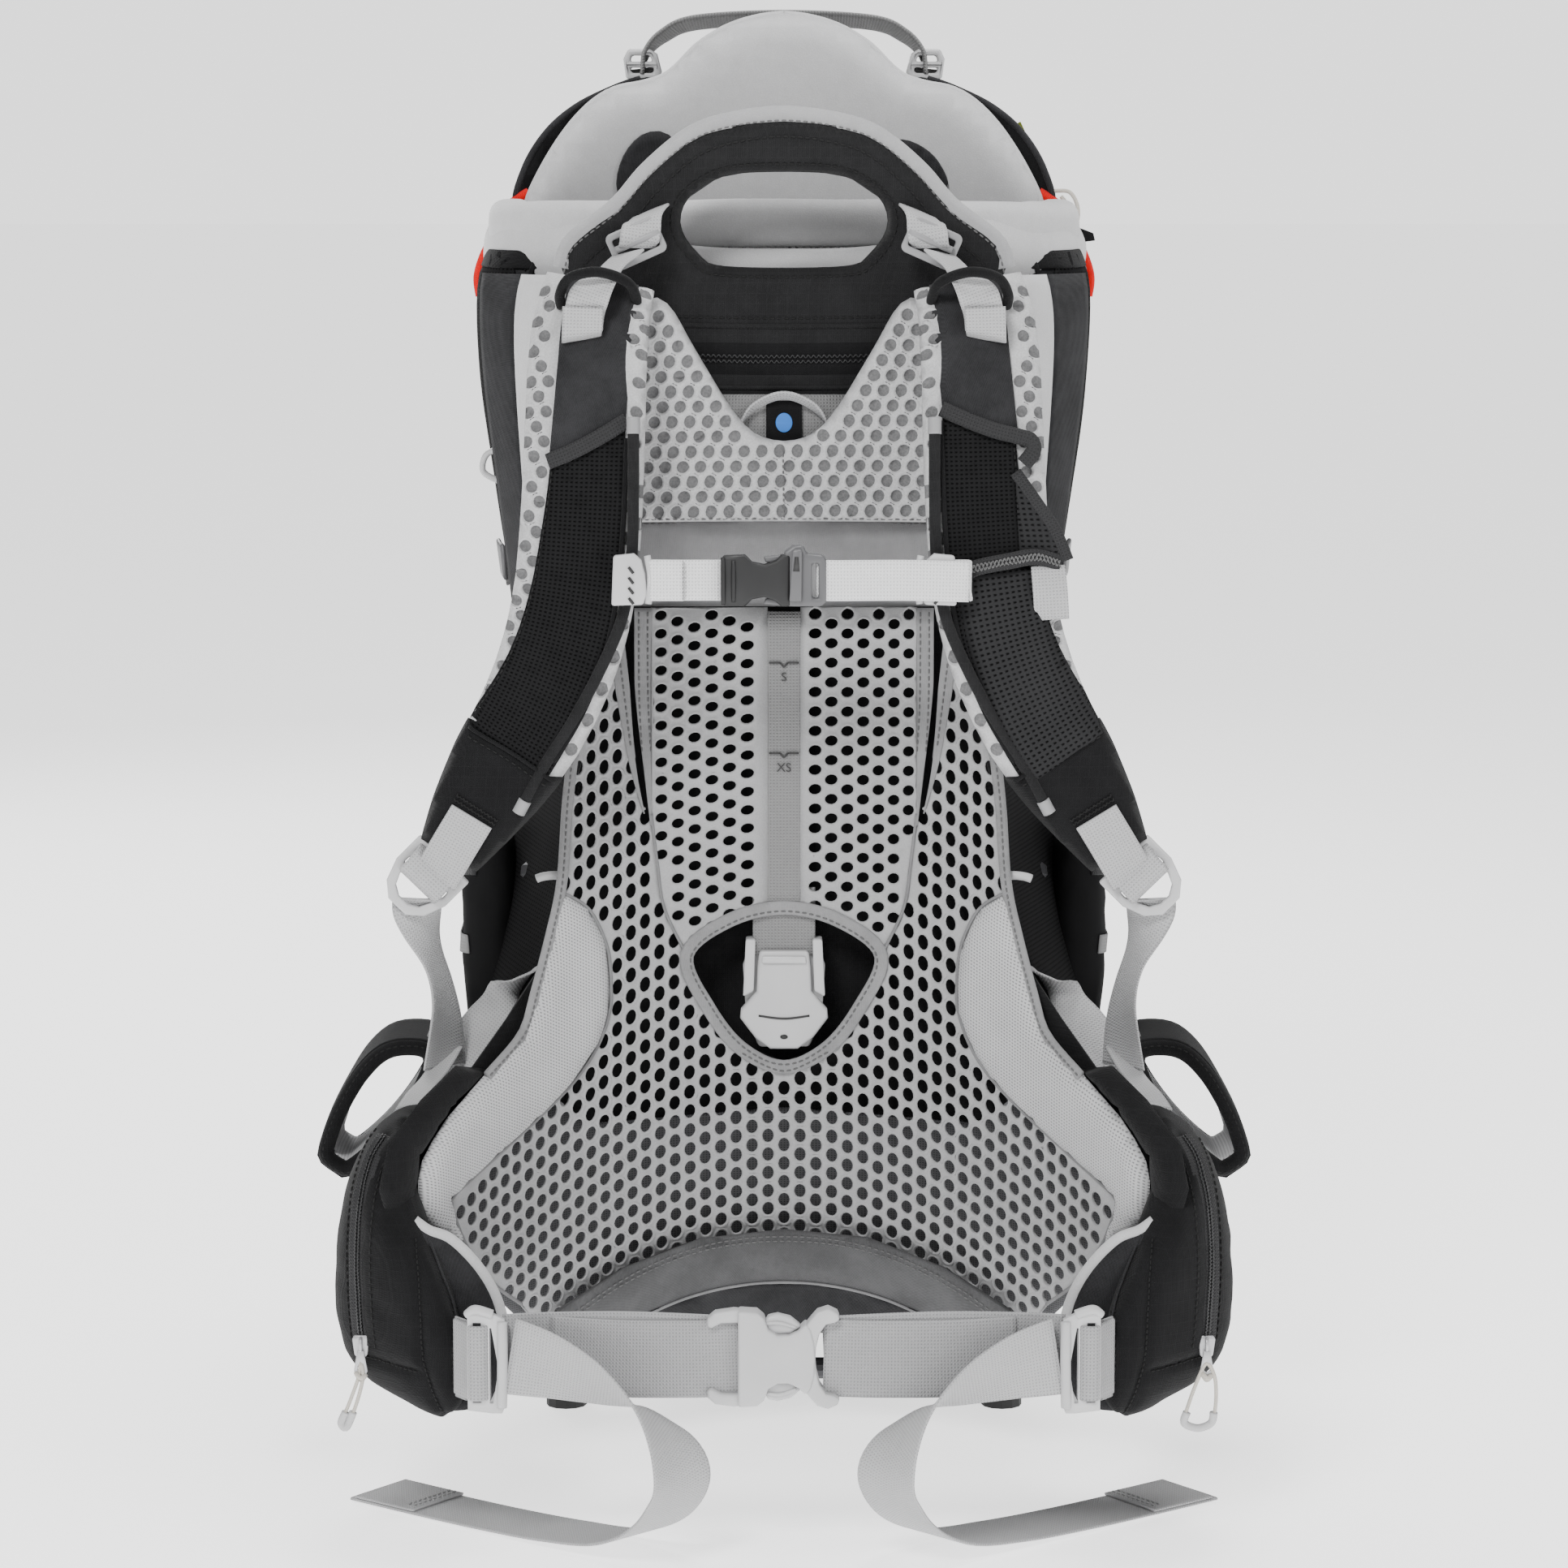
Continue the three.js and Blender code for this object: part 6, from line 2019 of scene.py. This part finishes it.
def side_straps():
    """Stabiliser webbings, pegs and loops beside the lower body."""
    for side, sign in SIDES:
        stabiliser = [(-121, -8, 268, 0.6, 0.3, 0.7), (-134, -12, 254, 0.65, 0.3, 0.65),
                      (-149, -18, 238, 0.7, 0.2, 0.65), (-161, -24, 222, 0.75, 0.2, 0.6),
                      (-169, -30, 210, 0.8, 0.2, 0.6), (-172, -34, 202, 0.8, 0.2, 0.6)]
        ribbon(f"stabiliser_{side}", turned_rows(stabiliser, sign), SHOULDER_WEBBING, "frame",
               "light_webbing", 40)
        adjuster = [(-169, -30, 224, 0.9, -0.2, 0.4), (-176, -46, 214, 0.9, -0.2, 0.3),
                    (-182, -64, 209, 0.9, -0.3, 0.2), (-186, -84, 205, 0.9, -0.3, 0.2)]
        ribbon(f"side_web_{side}", turned_rows(adjuster, sign), 15, "frame", "light_webbing",
               24)
        peg = [(-112, -26, 312), (-117, -28, 312.5), (-122, -29, 312), (-125, -29, 311)]
        cord(f"side_peg_{side}", flip(peg, sign), 2.2, "frame", "grey_plastic", 12, sides=12)
        loop = [(-149, 112, 302, 0, 1, 0.1), (-156, 114, 298, 0, 1, 0), (-157, 116, 286, 0, 1, 0),
                (-150, 116, 276, 0, 1, 0)]
        ribbon(f"daisy_loop_{side}", turned_rows(loop, sign), 12, "frame", "grey_webbing", 16,
               thickness=1.4)


def side_gores():
    """Dark cloth between the panel's rim and the side pocket."""
    front = [(-100, -6, 372), (-105, -16, 340), (-110, -20, 305), (-118, -20, 275),
             (-131, -22, 248), (-146, -26, 226)]
    rear = [(-128, 120, 366), (-138, 128, 340), (-153, 138, 310), (-163, 140, 280),
            (-168, 138, 250), (-170, 136, 220)]
    for side, sign in SIDES:
        first = smooth_path(flip(front, sign), 31)
        second = smooth_path(flip(rear, sign), 31)

        def point(u, v, a=first, b=second, sign=sign):
            i = round(u * 30)
            x, y, z = mix_point(a[i], b[i], v)
            return (x - sign * 2.5 * math.sin(math.pi * v), y, z)
        sheet_piece(f"side_gore_{side}", point, 30, 12, 1.6, "frame", "black_mesh")


def backing_cloth():
    """Dark inner cloth behind the open mesh, and the grey mesh below it."""
    upper = both_halves(cut_line([(0, 186), (92, 186), (104, 200), (92, 222), (84, 245),
                                  (88, 280), (102, 300), (104, 350), (92, 400), (72, 446),
                                  (0, 446)]))
    cut_sheet("inner_cloth_upper", upper, lifted(on_panel, -13.0), "frame", "black_fabric",
              spacing=12.0, thickness=1.4, holes=[cut_line(WINDOW)])
    lower = both_halves(cut_line([(0, 78), (100, 70), (128, 84), (145, 112), (154, 140),
                                  (156, 160), (138, 176), (106, 200), (92, 186), (0, 186)]))
    cut_sheet("inner_cloth_lower", lower, lifted(on_panel, -12.0), "frame", "dark_net",
              spacing=12.0, thickness=1.4)


# ------------------------------------------------------------------ headrest and collar

DOME_HALF = [(0, 747), (13, 745.5), (27, 741.5), (38, 736), (48, 729), (57, 719.5), (66, 713),
             (78, 709.5), (90, 707), (101, 701), (112, 690.5), (122, 677), (131, 661.5),
             (137, 648), (139, 634), (134, 610), (122, 580), (112, 545), (108, 500), (104, 450),
             (60, 440), (0, 438)]


def on_dome(a, z, lift=0.0):
    """Headrest face; a is the side position, lift comes towards the child."""
    deep = lookup([(440, 228), (600, 219), (660, 208), (745, 203)], z)
    return (a, deep - a * a / 480 - lift, z)


def headrest():
    """Domed headrest with its back, piping, shells and tabs."""
    half = smooth_path(DOME_HALF, 60)
    outline = both_halves(half)
    face = pillowed(on_dome, outline, 9.0, 16.0, low=0.0)
    cut_sheet("headrest_face", outline, face, "frame", "brushed_fabric", spacing=9.0,
              thickness=2.0, replaces=("headrest_pad",))
    back = pillowed(on_dome, outline, -5.0, 14.0, low=-2.0)
    cover = cut_sheet("headrest_back", outline, back, "frame", "black_fabric", spacing=10.0,
                      thickness=1.6)
    rim = [on_dome(a, z, -1.5) for a, z in smooth_path(half, 60)]
    for side, sign in SIDES:
        cord(f"headrest_piping_{side}", flip(rim, sign), 2.4, "frame", "brushed_fabric", 120)
    shade_half = [(118, 566), (136, 600), (145, 640), (140, 664), (128, 684), (112, 698),
                  (92, 708), (78, 713), (66, 712), (60, 690), (60, 600)]
    for side, sign in SIDES:
        shell = smooth_path(flip(shade_half, -sign), 44, closed=True)
        cut_sheet(f"headrest_shell_{side}", shell, lifted(on_dome, -10.0), "frame",
                  "black_fabric", spacing=10.0, thickness=2.0)
        edge = [on_dome(x * -sign, z, -10.0) for x, z in shade_half[:8]]
        cord(f"headrest_shell_edge_{side}", edge, 1.8, "frame", "dark_fabric", 50)
        tab = [(58, 650), (84, 646), (90, 656), (86, 672), (76, 683), (64, 684), (57, 674)]
        if side == "R":
            tab = [(52, 678), (66, 680), (80, 672), (88, 658), (84, 652), (74, 660), (62, 670)]
        cut_sheet(f"headrest_tab_{side}", flip(smooth_path(tab, 24, closed=True), -sign),
                  lifted(on_dome, 12.5), "frame", "dark_fabric", spacing=5.0, thickness=2.4)


ROLL = [(-146, 172, 634), (-145, 150, 636), (-140, 112, 635), (-114, 78, 636), (-60, 64, 637),
        (0, 60, 637.5)]


def front_roll():
    """Padded roll at the front of the compartment, with its seam."""
    half = smooth_path(ROLL, 40)
    path = [*half, *flip(half[:-1], -1)[::-1]]
    squared = level_loop(12.4, -13.0, 13.0, 0.7, 28)
    roll = swept("front_roll", turning_frames(path, 120), squared, "frame", "brushed_fabric",
                 replaces=("front_roll_pad",))
    for vertex in roll.data.vertices:
        p = vertex.co
        fold = noise.noise(Vector((p.x * 26, p.y * 26, p.z * 60)))
        vertex.co.z += fold * 0.8 * MM
    seam = [at(x * 1.03, y - 0.6, z - 11.5) if abs(x) > 100 else at(x, y - 11.1, z - 11.5)
            for x, y, z in path]
    stitches("front_roll_seam", seam, "frame")
    collar()
    for side, sign in SIDES:
        red_edges(side, sign)


def collar():
    """Pale collar that folds over the roll and hangs outside the cockpit."""
    top = [(-148, 182, 640), (-150, 152, 644), (-146, 124, 646), (-137, 98, 648),
           (-122, 78, 648), (-106, 64, 642), (-84, 54, 632), (-40, 49, 626), (0, 48, 625)]
    low = [(-158, 182, 616), (-160, 152, 610), (-156, 120, 601), (-148, 94, 594),
           (-130, 72, 600), (-110, 58, 602), (-88, 52, 603), (-42, 50, 602), (0, 50, 602)]
    upper = smooth_path([*top, *flip(top[:-1], -1)[::-1]], 90)
    lower = smooth_path([*low, *flip(low[:-1], -1)[::-1]], 90)

    def point(u, v):
        x, y, z = mix_point(along(upper, u), along(lower, u), v)
        bow = 5.0 * math.sin(math.pi * min(v * 1.15, 1)) + 0.8 * math.sin(u * 38 + v * 4)
        out = Vector((x, y - 150, 0)).normalized()
        return (x + out.x * bow, y + out.y * bow, z)
    sheet_piece("collar", point, 120, 14, 2.0, "frame", "brushed_fabric")
    hem = [point(i / 120, 0.93) for i in range(121)]
    out = [Vector((x, y - 150, 0)).normalized() * 1.3 for x, y, _ in hem]
    stitches("collar_hem", [at(x + o.x, y + o.y, z) for (x, y, z), o in zip(hem, out)],
             "frame")


def red_edges(side, sign):
    """Red piping and the grey strap beside the collar wing."""
    for k, line in enumerate((
            [(-137, 176, 652), (-146, 176, 646), (-153, 176, 636)],
            [(-151, 168, 632), (-159, 168, 622), (-164, 168, 608), (-163, 168, 597)])):
        cord(f"red_edge_{side}_{k}", flip(line, sign), 3.0, "frame", "red_trim", 24, sides=12)
    grey = [(-146, 148, 616, 0.3, 0.2, 1), (-150, 148, 611, 0.3, 0.2, 1),
            (-161, 166, 604, 0.3, 0.2, 1)]
    ribbon(f"collar_strap_{side}", turned_rows(grey, sign), 12, "frame", "grey_webbing", 16)


# ------------------------------------------------------------------ child compartment

COCKPIT = [(286, 112, 64, 226), (300, 124, 62, 236), (330, 132, 60, 242), (360, 138, 60, 248),
           (430, 144, 58, 254), (500, 152, 56, 252), (560, 159, 54, 244), (606, 160, 54, 238),
           (626, 154, 58, 236)]
COCKPIT_GIRTH = 620.0            # length that the shell's flat pattern is drawn to


def cockpit_row(z):
    """Half width, front and back of the compartment at a height."""
    return [lookup([(row[0], row[k]) for row in COCKPIT], z) for k in (1, 2, 3)]


def level_curve(width, front, back, power, t):
    """A point on a rounded rectangle at one height."""
    c, s = math.cos(t), math.sin(t)
    x = width * math.copysign(abs(c) ** power, c)
    y = (front + back) / 2 + (back - front) / 2 * math.copysign(abs(s) ** power, s)
    return x, y


def level_loop(width, front, back, power, count):
    """A whole rounded rectangle of that kind."""
    return [level_curve(width, front, back, power, i / (count / 2) * math.pi)
            for i in range(count)]


def even_turns(width, front, back, power, count):
    """Angles that split a level outline into equal lengths, from the left side round."""
    steps = 1440
    angles = [math.pi + 2 * math.pi * i / steps for i in range(steps + 1)]
    points = [level_curve(width, front, back, power, t) for t in angles]
    run = [0.0]
    for a, b in zip(points, points[1:]):
        run.append(run[-1] + math.dist(a, b))
    even, k = [], 0
    for i in range(count + 1):
        goal = run[-1] * i / count
        while k < steps - 1 and run[k + 1] < goal:
            k += 1
        even.append(mix(angles[k], angles[k + 1], (goal - run[k]) / max(run[k + 1] - run[k],
                                                                        1e-9)))
    return even


COCKPIT_SHARES = 240
COCKPIT_TURNS = even_turns(*cockpit_row(430), 0.6, COCKPIT_SHARES)


def on_cockpit(a, z, lift=0.0):
    """Shell of the child compartment; a runs round it from the left side to the front."""
    width, front, back = cockpit_row(z)
    share = (a / COCKPIT_GIRTH) % 1.0 * COCKPIT_SHARES
    i = min(int(share), COCKPIT_SHARES - 1)
    t = mix(COCKPIT_TURNS[i], COCKPIT_TURNS[i + 1], share - i)
    x, y = level_curve(width, front, back, 0.6, t)
    out = Vector((x / width, (y - (front + back) / 2) / ((back - front) / 2) * 0.8, 0))
    out.normalize()
    dent = 1.6 * noise.noise(Vector((x * 0.02, y * 0.02, z * 0.013)))
    return (x + out.x * (lift + dent), y + out.y * (lift + dent), z)


def cockpit_side(side, facing):
    """Dark side of the compartment, with its leg opening, seams, mesh patch and strap."""
    middle = 0.0 if side == "L" else COCKPIT_GIRTH / 2
    outline = []
    for a in range(-15, 16):
        outline.append((middle + a * 8.5, 288 + 3 * math.cos(a / 5)))
    outline += [(middle + 127.5, z) for z in range(306, 620, 12)]
    outline += [(middle + a * 8.5, 622) for a in range(15, -16, -1)]
    outline += [(middle - 127.5, z) for z in range(618, 300, -12)]
    hole = [(middle + 25 * math.cos(i / 10 * math.pi), 350 + 19 * math.sin(i / 10 * math.pi))
            for i in range(20)]
    cut_sheet(f"cockpit_side_{side}", outline, on_cockpit, "frame", "dark_fabric",
              spacing=11.0, thickness=2.0, holes=[hole],
              replaces=("cockpit_shell",) if side == "L" else ())
    tape(f"leg_binding_{side}", hole, 7.0, on_cockpit, "frame", "black_fabric", lift=1.6,
         count=48, closed=True)
    seam = [(middle + facing * x, z) for x, z in
            [(66, 622), (63, 560), (60, 500), (50, 440), (36, 392), (30, 300)]]
    panel = [(middle + facing * x, z) for x, z in
             [(58, 612), (22, 612), (14, 560), (18, 500), (30, 452), (47, 444), (56, 500)]]
    patch = smooth_path(panel, 44, closed=True)
    cut_sheet(f"cockpit_patch_{side}", patch, lifted(on_cockpit, 1.8), "frame", "black_mesh",
              spacing=10.0, thickness=1.2)
    tape(f"cockpit_seam_{side}", seam, 3.0, on_cockpit, "frame", "black_fabric", lift=2.0)
    sewn(f"cockpit_stitch_{side}", beside(smooth_path(seam, 60), 3.4), on_cockpit, "frame",
         "dark_thread", lift=1.5)
    rear = [(middle - facing * x, z) for x, z in [(60, 622), (66, 500), (62, 400), (50, 300)]]
    tape(f"cockpit_rear_seam_{side}", rear, 3.0, on_cockpit, "frame", "black_fabric",
         lift=2.0)
    tape(f"cockpit_rim_{side}", [(middle + a * 8.3, 619) for a in range(-15, 16)], 10.0,
         on_cockpit, "frame", "black_fabric", lift=1.8)
    strap = [(middle + facing * x, z) for x, z in [(70, 470), (30, 455), (-20, 452),
                                                  (-66, 462)]]
    tape(f"cockpit_strap_{side}", strap, 18.0, on_cockpit, "frame", "black_webbing",
         lift=3.6, thickness=1.6)
    tape(f"side_buckle_{side}", [(middle + facing * 24, 461), (middle + facing * 30, 460),
                                 (middle + facing * 36, 459)], 20.0, on_cockpit, "frame",
         "dark_grey_plastic", lift=5.4, thickness=2.6, count=8)


def cockpit():
    """The compartment with its front, back, seams and floor."""
    for side, facing in SIDES:
        cockpit_side(side, facing)
    for name, middle in (("front", COCKPIT_GIRTH / 4), ("back", COCKPIT_GIRTH * 0.75)):
        outline = [(middle - 28, 292), (middle + 28, 292), (middle + 28, 622),
                   (middle - 28, 622)]
        cut_sheet(f"cockpit_{name}", outline, on_cockpit, "frame", "dark_fabric", spacing=11.0,
                  thickness=2.0)
        for k, shift in enumerate((-28, 0, 28)):
            seam = [(middle + shift, z) for z in (294, 400, 510, 620)]
            tape(f"cockpit_{name}_seam_{k}", seam, 5.0 if shift else 3.0, on_cockpit, "frame",
                 "black_fabric", lift=1.8, thickness=1.8)
    cut_sheet("cockpit_floor", level_loop(*cockpit_row(292), 0.6, 60),
              lambda x, y, c=0.0: (x, y, 292 - 8 * (1 - (x / 118) ** 2) + c), "frame",
              "black_fabric", spacing=12.0, thickness=2.0)


def side_wings():
    """Cloth that joins the frame's rails to the front corners of the compartment."""
    for side, sign in SIDES:
        for name, start, end, material in (("inner", 0.0, 0.56, "brushed_fabric"),
                                           ("outer", 0.56, 1.0, "dark_fabric")):
            def point(u, v, sign=sign, start=start, end=end):
                z = mix(350 if start == 0.0 else 300, 612, u)
                t = mix(start, end, v)
                rail = lookup([(300, 108), (430, 103), (540, 101), (592, 99), (620, 90)], z)
                near = lookup([(300, 30), (430, 26), (540, 20), (620, 17)], z)
                width, front, _ = cockpit_row(z)
                x, y, _ = mix_point((rail + 3, near + 6, z), (width - 3, front + 26, z), t)
                return (-sign * (x + 5 * math.sin(math.pi * t)), y, z)
            sheet_piece(f"side_wing_{name}_{side}", point, 40, 8, 1.8, "frame", material)
            if name == "inner":
                edge = [point(i / 30, 0.04) for i in range(31)]
                cord(f"side_wing_edge_{side}", edge, 2.2, "frame", "binding", 60)


def hood_walls():
    """Cloth between the headrest's shell and the sunshade pocket."""
    row = smooth_path([(120, 570), (136, 602), (144, 640), (139, 664), (127, 684), (111, 697),
                       (92, 706), (78, 710), (40, 712), (0, 713)], 50)
    for side, sign in SIDES:
        def point(u, v, sign=sign):
            x, z = along(row, u)
            a = on_dome(x, z, -11.5)
            b = (x * 0.88, 262, z - 8 - 10 * u)
            x, y, z = mix_point(a, b, v)
            return (-sign * x, y, z - 3 * math.sin(math.pi * v))
        sheet_piece(f"hood_wall_{side}", point, 50, 8, 1.8, "frame", "dark_fabric")


def seat():
    """Seat of the compartment."""
    rows = []
    for z, shrink in ((288, 10), (293, 3), (304, 0), (314, 1), (320, 8)):
        rows.append((z, level_loop(97 - shrink, 82 + shrink, 210 - shrink, 0.45, 48)))
    pad = lofted("seat_pad_cover", rows)
    puff(pad, voxel=5.5, cap=6.0, soften=3, wrinkle=0.8, seed=5)
    tree = caster(pad)
    lines = [[(-34, 90, 0), (-34, 200, 0)], [(34, 90, 0), (34, 200, 0)]]
    landed = [[p for p, _ in cast(tree, [(x, y, 330) for x, y, _ in smooth_path(line, 50)],
                                  (0, 0, -1), 0)] for line in lines]
    pinch(pad, landed, 3.0, 9.0)
    finish_piece(pad, "frame", "grey_fabric", ("seat_pad",))
    tree = caster(pad)
    for k, line in enumerate(lines):
        laid_stitches(f"seat_channel_{k}", tree, [(x, y, 330) for x, y, _ in line],
                      (0, 0, -1), "frame")


def child_straps():
    """Harness of the child."""
    for side, sign in SIDES:
        rows = [(-14, 184, 424, 1, 0, 0), (-20, 184, 460, 1, 0, 0.1), (-34, 184, 510, 1, 0, 0.2),
                (-44, 184, 560, 1, 0, 0.1), (-44, 185, 600, 1, 0, 0)]
        pads = turned_rows(rows, sign)
        pad = swept(f"child_strap_{side}", ribbon_frames(pads, 50), band_section(17, 5.0),
                    "frame", "dark_fabric",
                    replaces=("child_harness",) if side == "L" else ())
        ribbon(f"child_strap_webbing_{side}",
               [(x, y - 3.4, z, *rest) for x, y, z, *rest in pads], 9, "frame",
               "grey_webbing", 50)
    plate("child_buckle", rounded(34, 26, 7, 0, 424), 178, 189, "frame", "black_plastic", 2.4)
    plate("child_buckle_button", rounded(12, 12, 4, 0, 424), 176.4, 178.4, "frame",
          "red_trim", 1.0)


# ------------------------------------------------------------------ rear pockets

def pocket_rows(rows, power):
    """Rounded rectangles at the heights of a pocket."""
    return [(z, level_loop(width, front, back, power, 56)) for z, width, front, back in rows]


BEHIND = (0, -1, 0)             # the way to look from behind


def sunshade_pocket():
    """Upper pocket behind the compartment."""
    sunshade = lofted("sunshade_cover", pocket_rows(
        [(560, 98, 260, 279), (574, 110, 255, 288), (600, 121, 249, 292), (630, 124, 247, 294),
         (660, 119, 245, 291), (684, 108, 244, 281), (700, 86, 245, 265)], 0.7))
    puff(sunshade, voxel=5.5, cap=3.5, soften=3, wrinkle=1.6, seed=12)
    zip_path = [(-96, 330, 656), (-60, 330, 668), (0, 330, 673), (60, 330, 668), (96, 330, 656)]
    seam = [(-112, 330, 596), (-60, 330, 590), (0, 330, 588), (60, 330, 590), (112, 330, 596)]
    dress_pocket("sunshade", sunshade, "dark_fabric", zip_path, (seam,), ("sunshade_pocket",))


def storage_pocket():
    """Lower pocket behind the compartment."""
    storage = lofted("storage_cover", pocket_rows(
        [(50, 86, 84, 256), (62, 98, 77, 270), (90, 101, 73, 278), (130, 103, 71, 282),
         (200, 103, 69, 282), (236, 99, 73, 276), (247, 88, 84, 262)], 0.55))
    puff(storage, voxel=7.0, cap=4.5, soften=3, wrinkle=2.2, seed=21)
    zip_path = [(-84, 330, 96), (-80, 330, 150), (-70, 330, 200), (-40, 330, 217),
                (0, 330, 221), (40, 330, 217), (70, 330, 200), (80, 330, 150), (84, 330, 96)]
    seams = ([(-60, 330, 64), (-58, 330, 130), (-50, 330, 204)],
             [(60, 330, 64), (58, 330, 130), (50, 330, 204)])
    dress_pocket("storage", storage, "black_fabric", zip_path, seams, ("storage_compartment",))


def side_pouches():
    """Open pouches on both sides."""
    for side, sign in SIDES:
        rows = [(z, [((x - 155) * sign, y)
                     for x, y in level_loop(width, 102 - depth, 102 + depth, 0.6, 40)])
                for z, width, depth in ((208, 10, 40), (216, 13, 46), (250, 15, 48),
                                        (290, 15, 48), (314, 12, 46), (320, 9, 42))]
        pouch = lofted(f"side_pouch_{side}", rows)
        puff(pouch, voxel=5.0, cap=3.0, soften=3, wrinkle=1.6, seed=30 + sign)
        finish_piece(pouch, "frame", "black_mesh", (f"side_pocket_{side}",))
        tree = caster(pouch)
        inward = (sign, 0, 0)
        laid_band(f"side_pouch_hem_{side}", tree,
                  flip([(-200, 58, 306), (-200, 102, 301), (-200, 146, 306)], sign), inward, 14,
                  "frame", "black_webbing", lift=0.9)
        laid_band(f"side_pouch_cord_{side}", tree,
                  flip([(-200, 60, 262), (-200, 102, 258), (-200, 144, 262)], sign), inward, 10,
                  "frame", "grey_webbing", lift=0.9)


def dress_pocket(name, piece, material, zip_path, seams, replaces):
    """Pulls a pocket in along its seams, then adds zip, slider, tapes and stitches."""
    tree = caster(piece)
    lines = [[p for p, _ in cast(tree, smooth_path(line, 80), BEHIND, 0)]
             for line in (zip_path, *seams)]
    pinch(piece, lines, 2.2, 8.0)
    finish_piece(piece, "frame", material, replaces)
    tree = caster(piece)
    landed = laid_zip(f"{name}_zip", tree, zip_path, BEHIND, "frame", width=14.0)
    spot = from_metres(landed[0] + Vector((0, 0.004, 0)))
    plate(f"{name}_zip_slider", [(-4, -5), (4, -5), (5, 4), (-5, 4)], -2, 1.5, "frame",
          "zip_metal", 0.8, centre=spot)
    cord(f"{name}_zip_loop", [spot, (spot[0] - 3, spot[1] + 2, spot[2] - 14),
                              (spot[0], spot[1] + 2.4, spot[2] - 26),
                              (spot[0] + 3, spot[1] + 2, spot[2] - 14)], 1.1, "frame",
         "beige_cord", 40, closed=True)
    for k, line in enumerate(seams):
        laid_band(f"{name}_seam_{k}", tree, line, BEHIND, 3.0, "frame", "black_webbing", lift=0.4)
        laid_stitches(f"{name}_stitch_{k}", tree, [(x + 3, y, z + 3) for x, y, z in line],
                      BEHIND, "frame")


def rear_handle():
    """Grab handle with its two buckles."""
    strip = [(-78, 253, 716, 0, 1, -0.25), (-76, 253, 727, 0, 1, -0.3),
             (-66, 252, 737, 0, 1, -0.4), (-48, 250, 744, 0, 1, -0.4),
             (0, 250, 746.5, 0, 1, -0.4)]
    rows = [*strip[:-1], *flip(strip[::-1], -1)]
    ribbon("rear_handle_webbing", rows, 19.0, "grab_handle", "grey_webbing", 80,
           ("rear_grab_handle",), 2.4)
    for side, sign in SIDES:
        outer = flip([(-9, -8), (9, -8), (10.5, -4), (8, 6), (4, 8.5), (-8, 8.5),
                      (-10.5, 3)], sign)
        slots = [flip([(-6, -4.6), (6, -4.6), (6.6, -1.6), (-7, -1.6)], sign),
                 flip([(-7, 1.6), (5.6, 1.6), (4, 5), (-6, 5)], sign)]
        plate(f"rear_handle_lock_{side}", outer, -9, 8, "grab_handle", "grey_plastic", 1.4,
              slots, centre=(-78 * sign, 254, 721))
        anchor = [(-74, 252, 700, 1, 0, 0), (-77, 253, 712, 1, 0, 0), (-78, 253, 719, 1, 0, 0)]
        ribbon(f"rear_handle_anchor_{side}", turned_rows(anchor, sign), 14, "frame",
               "grey_webbing", 14, thickness=2.0)


def tags():
    """Small labels and loops."""
    plate("olive_tag", [(122, 686), (128, 690), (134, 677), (129, 674)], 196, 198.4, "frame",
          "olive_tag", 0.5)
    loop = [(141, 178, 652), (147, 176, 653), (154, 174, 652), (158, 173, 644),
            (157, 173, 635), (151, 173, 633), (148, 174, 638), (152, 174, 645),
            (149, 175, 650)]
    cord("cord_loop", loop, 1.1, "frame", "beige_cord", 70)
    cord("cord_loop_tie", [(143, 178, 650), (140, 178, 645), (143, 177, 641),
                           (146, 177, 646)], 1.1, "frame", "beige_cord", 30, closed=True)
    plate("dark_tag", [(157, 634), (165, 631), (166, 627), (158, 626)], 150, 152, "frame",
          "black_fabric", 0.4)
    grey_loop = [(-148, 90, 520), (-156, 92, 517), (-158, 94, 508), (-150, 94, 503)]
    cord("side_loop", grey_loop, 1.7, "frame", "grey_plastic", 24)


# ------------------------------------------------------------------ frame and stand

HARD_PARTS = {
    "frame_tube": ("main_frame_tube", "base_bar", "seat_hoop", "kickstand_tube"),
    "rubber": ("base_foot_L", "base_foot_R", "kickstand_foot_L", "kickstand_foot_R"),
    "black_plastic": ("kickstand_bracket_L", "kickstand_bracket_R"),
}


def hard_parts():
    """Materials of the pieces that stay as the CAD made them."""
    for material, names in HARD_PARTS.items():
        for name in names:
            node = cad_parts[name]
            for slot in node.material_slots:
                slot.material = MATERIALS[material]


# ------------------------------------------------------------------ build

for make in (make_camera, belt_tails, make_studio, perforated_field, centre_strips,
             panel_bindings, gussets, lumbar, size_marks, length_lock, side_gores,
             backing_cloth, yoke, upper_panel, shoulder_straps, lifter_buckles, chest_clips,
             chest_webbing, chest_buckle, hip_pods, belt, stirrups, side_straps, headrest,
             front_roll, cockpit, side_wings, hood_walls, seat, child_straps, sunshade_pocket,
             storage_pocket, side_pouches, rear_handle, tags, hard_parts):
    make()
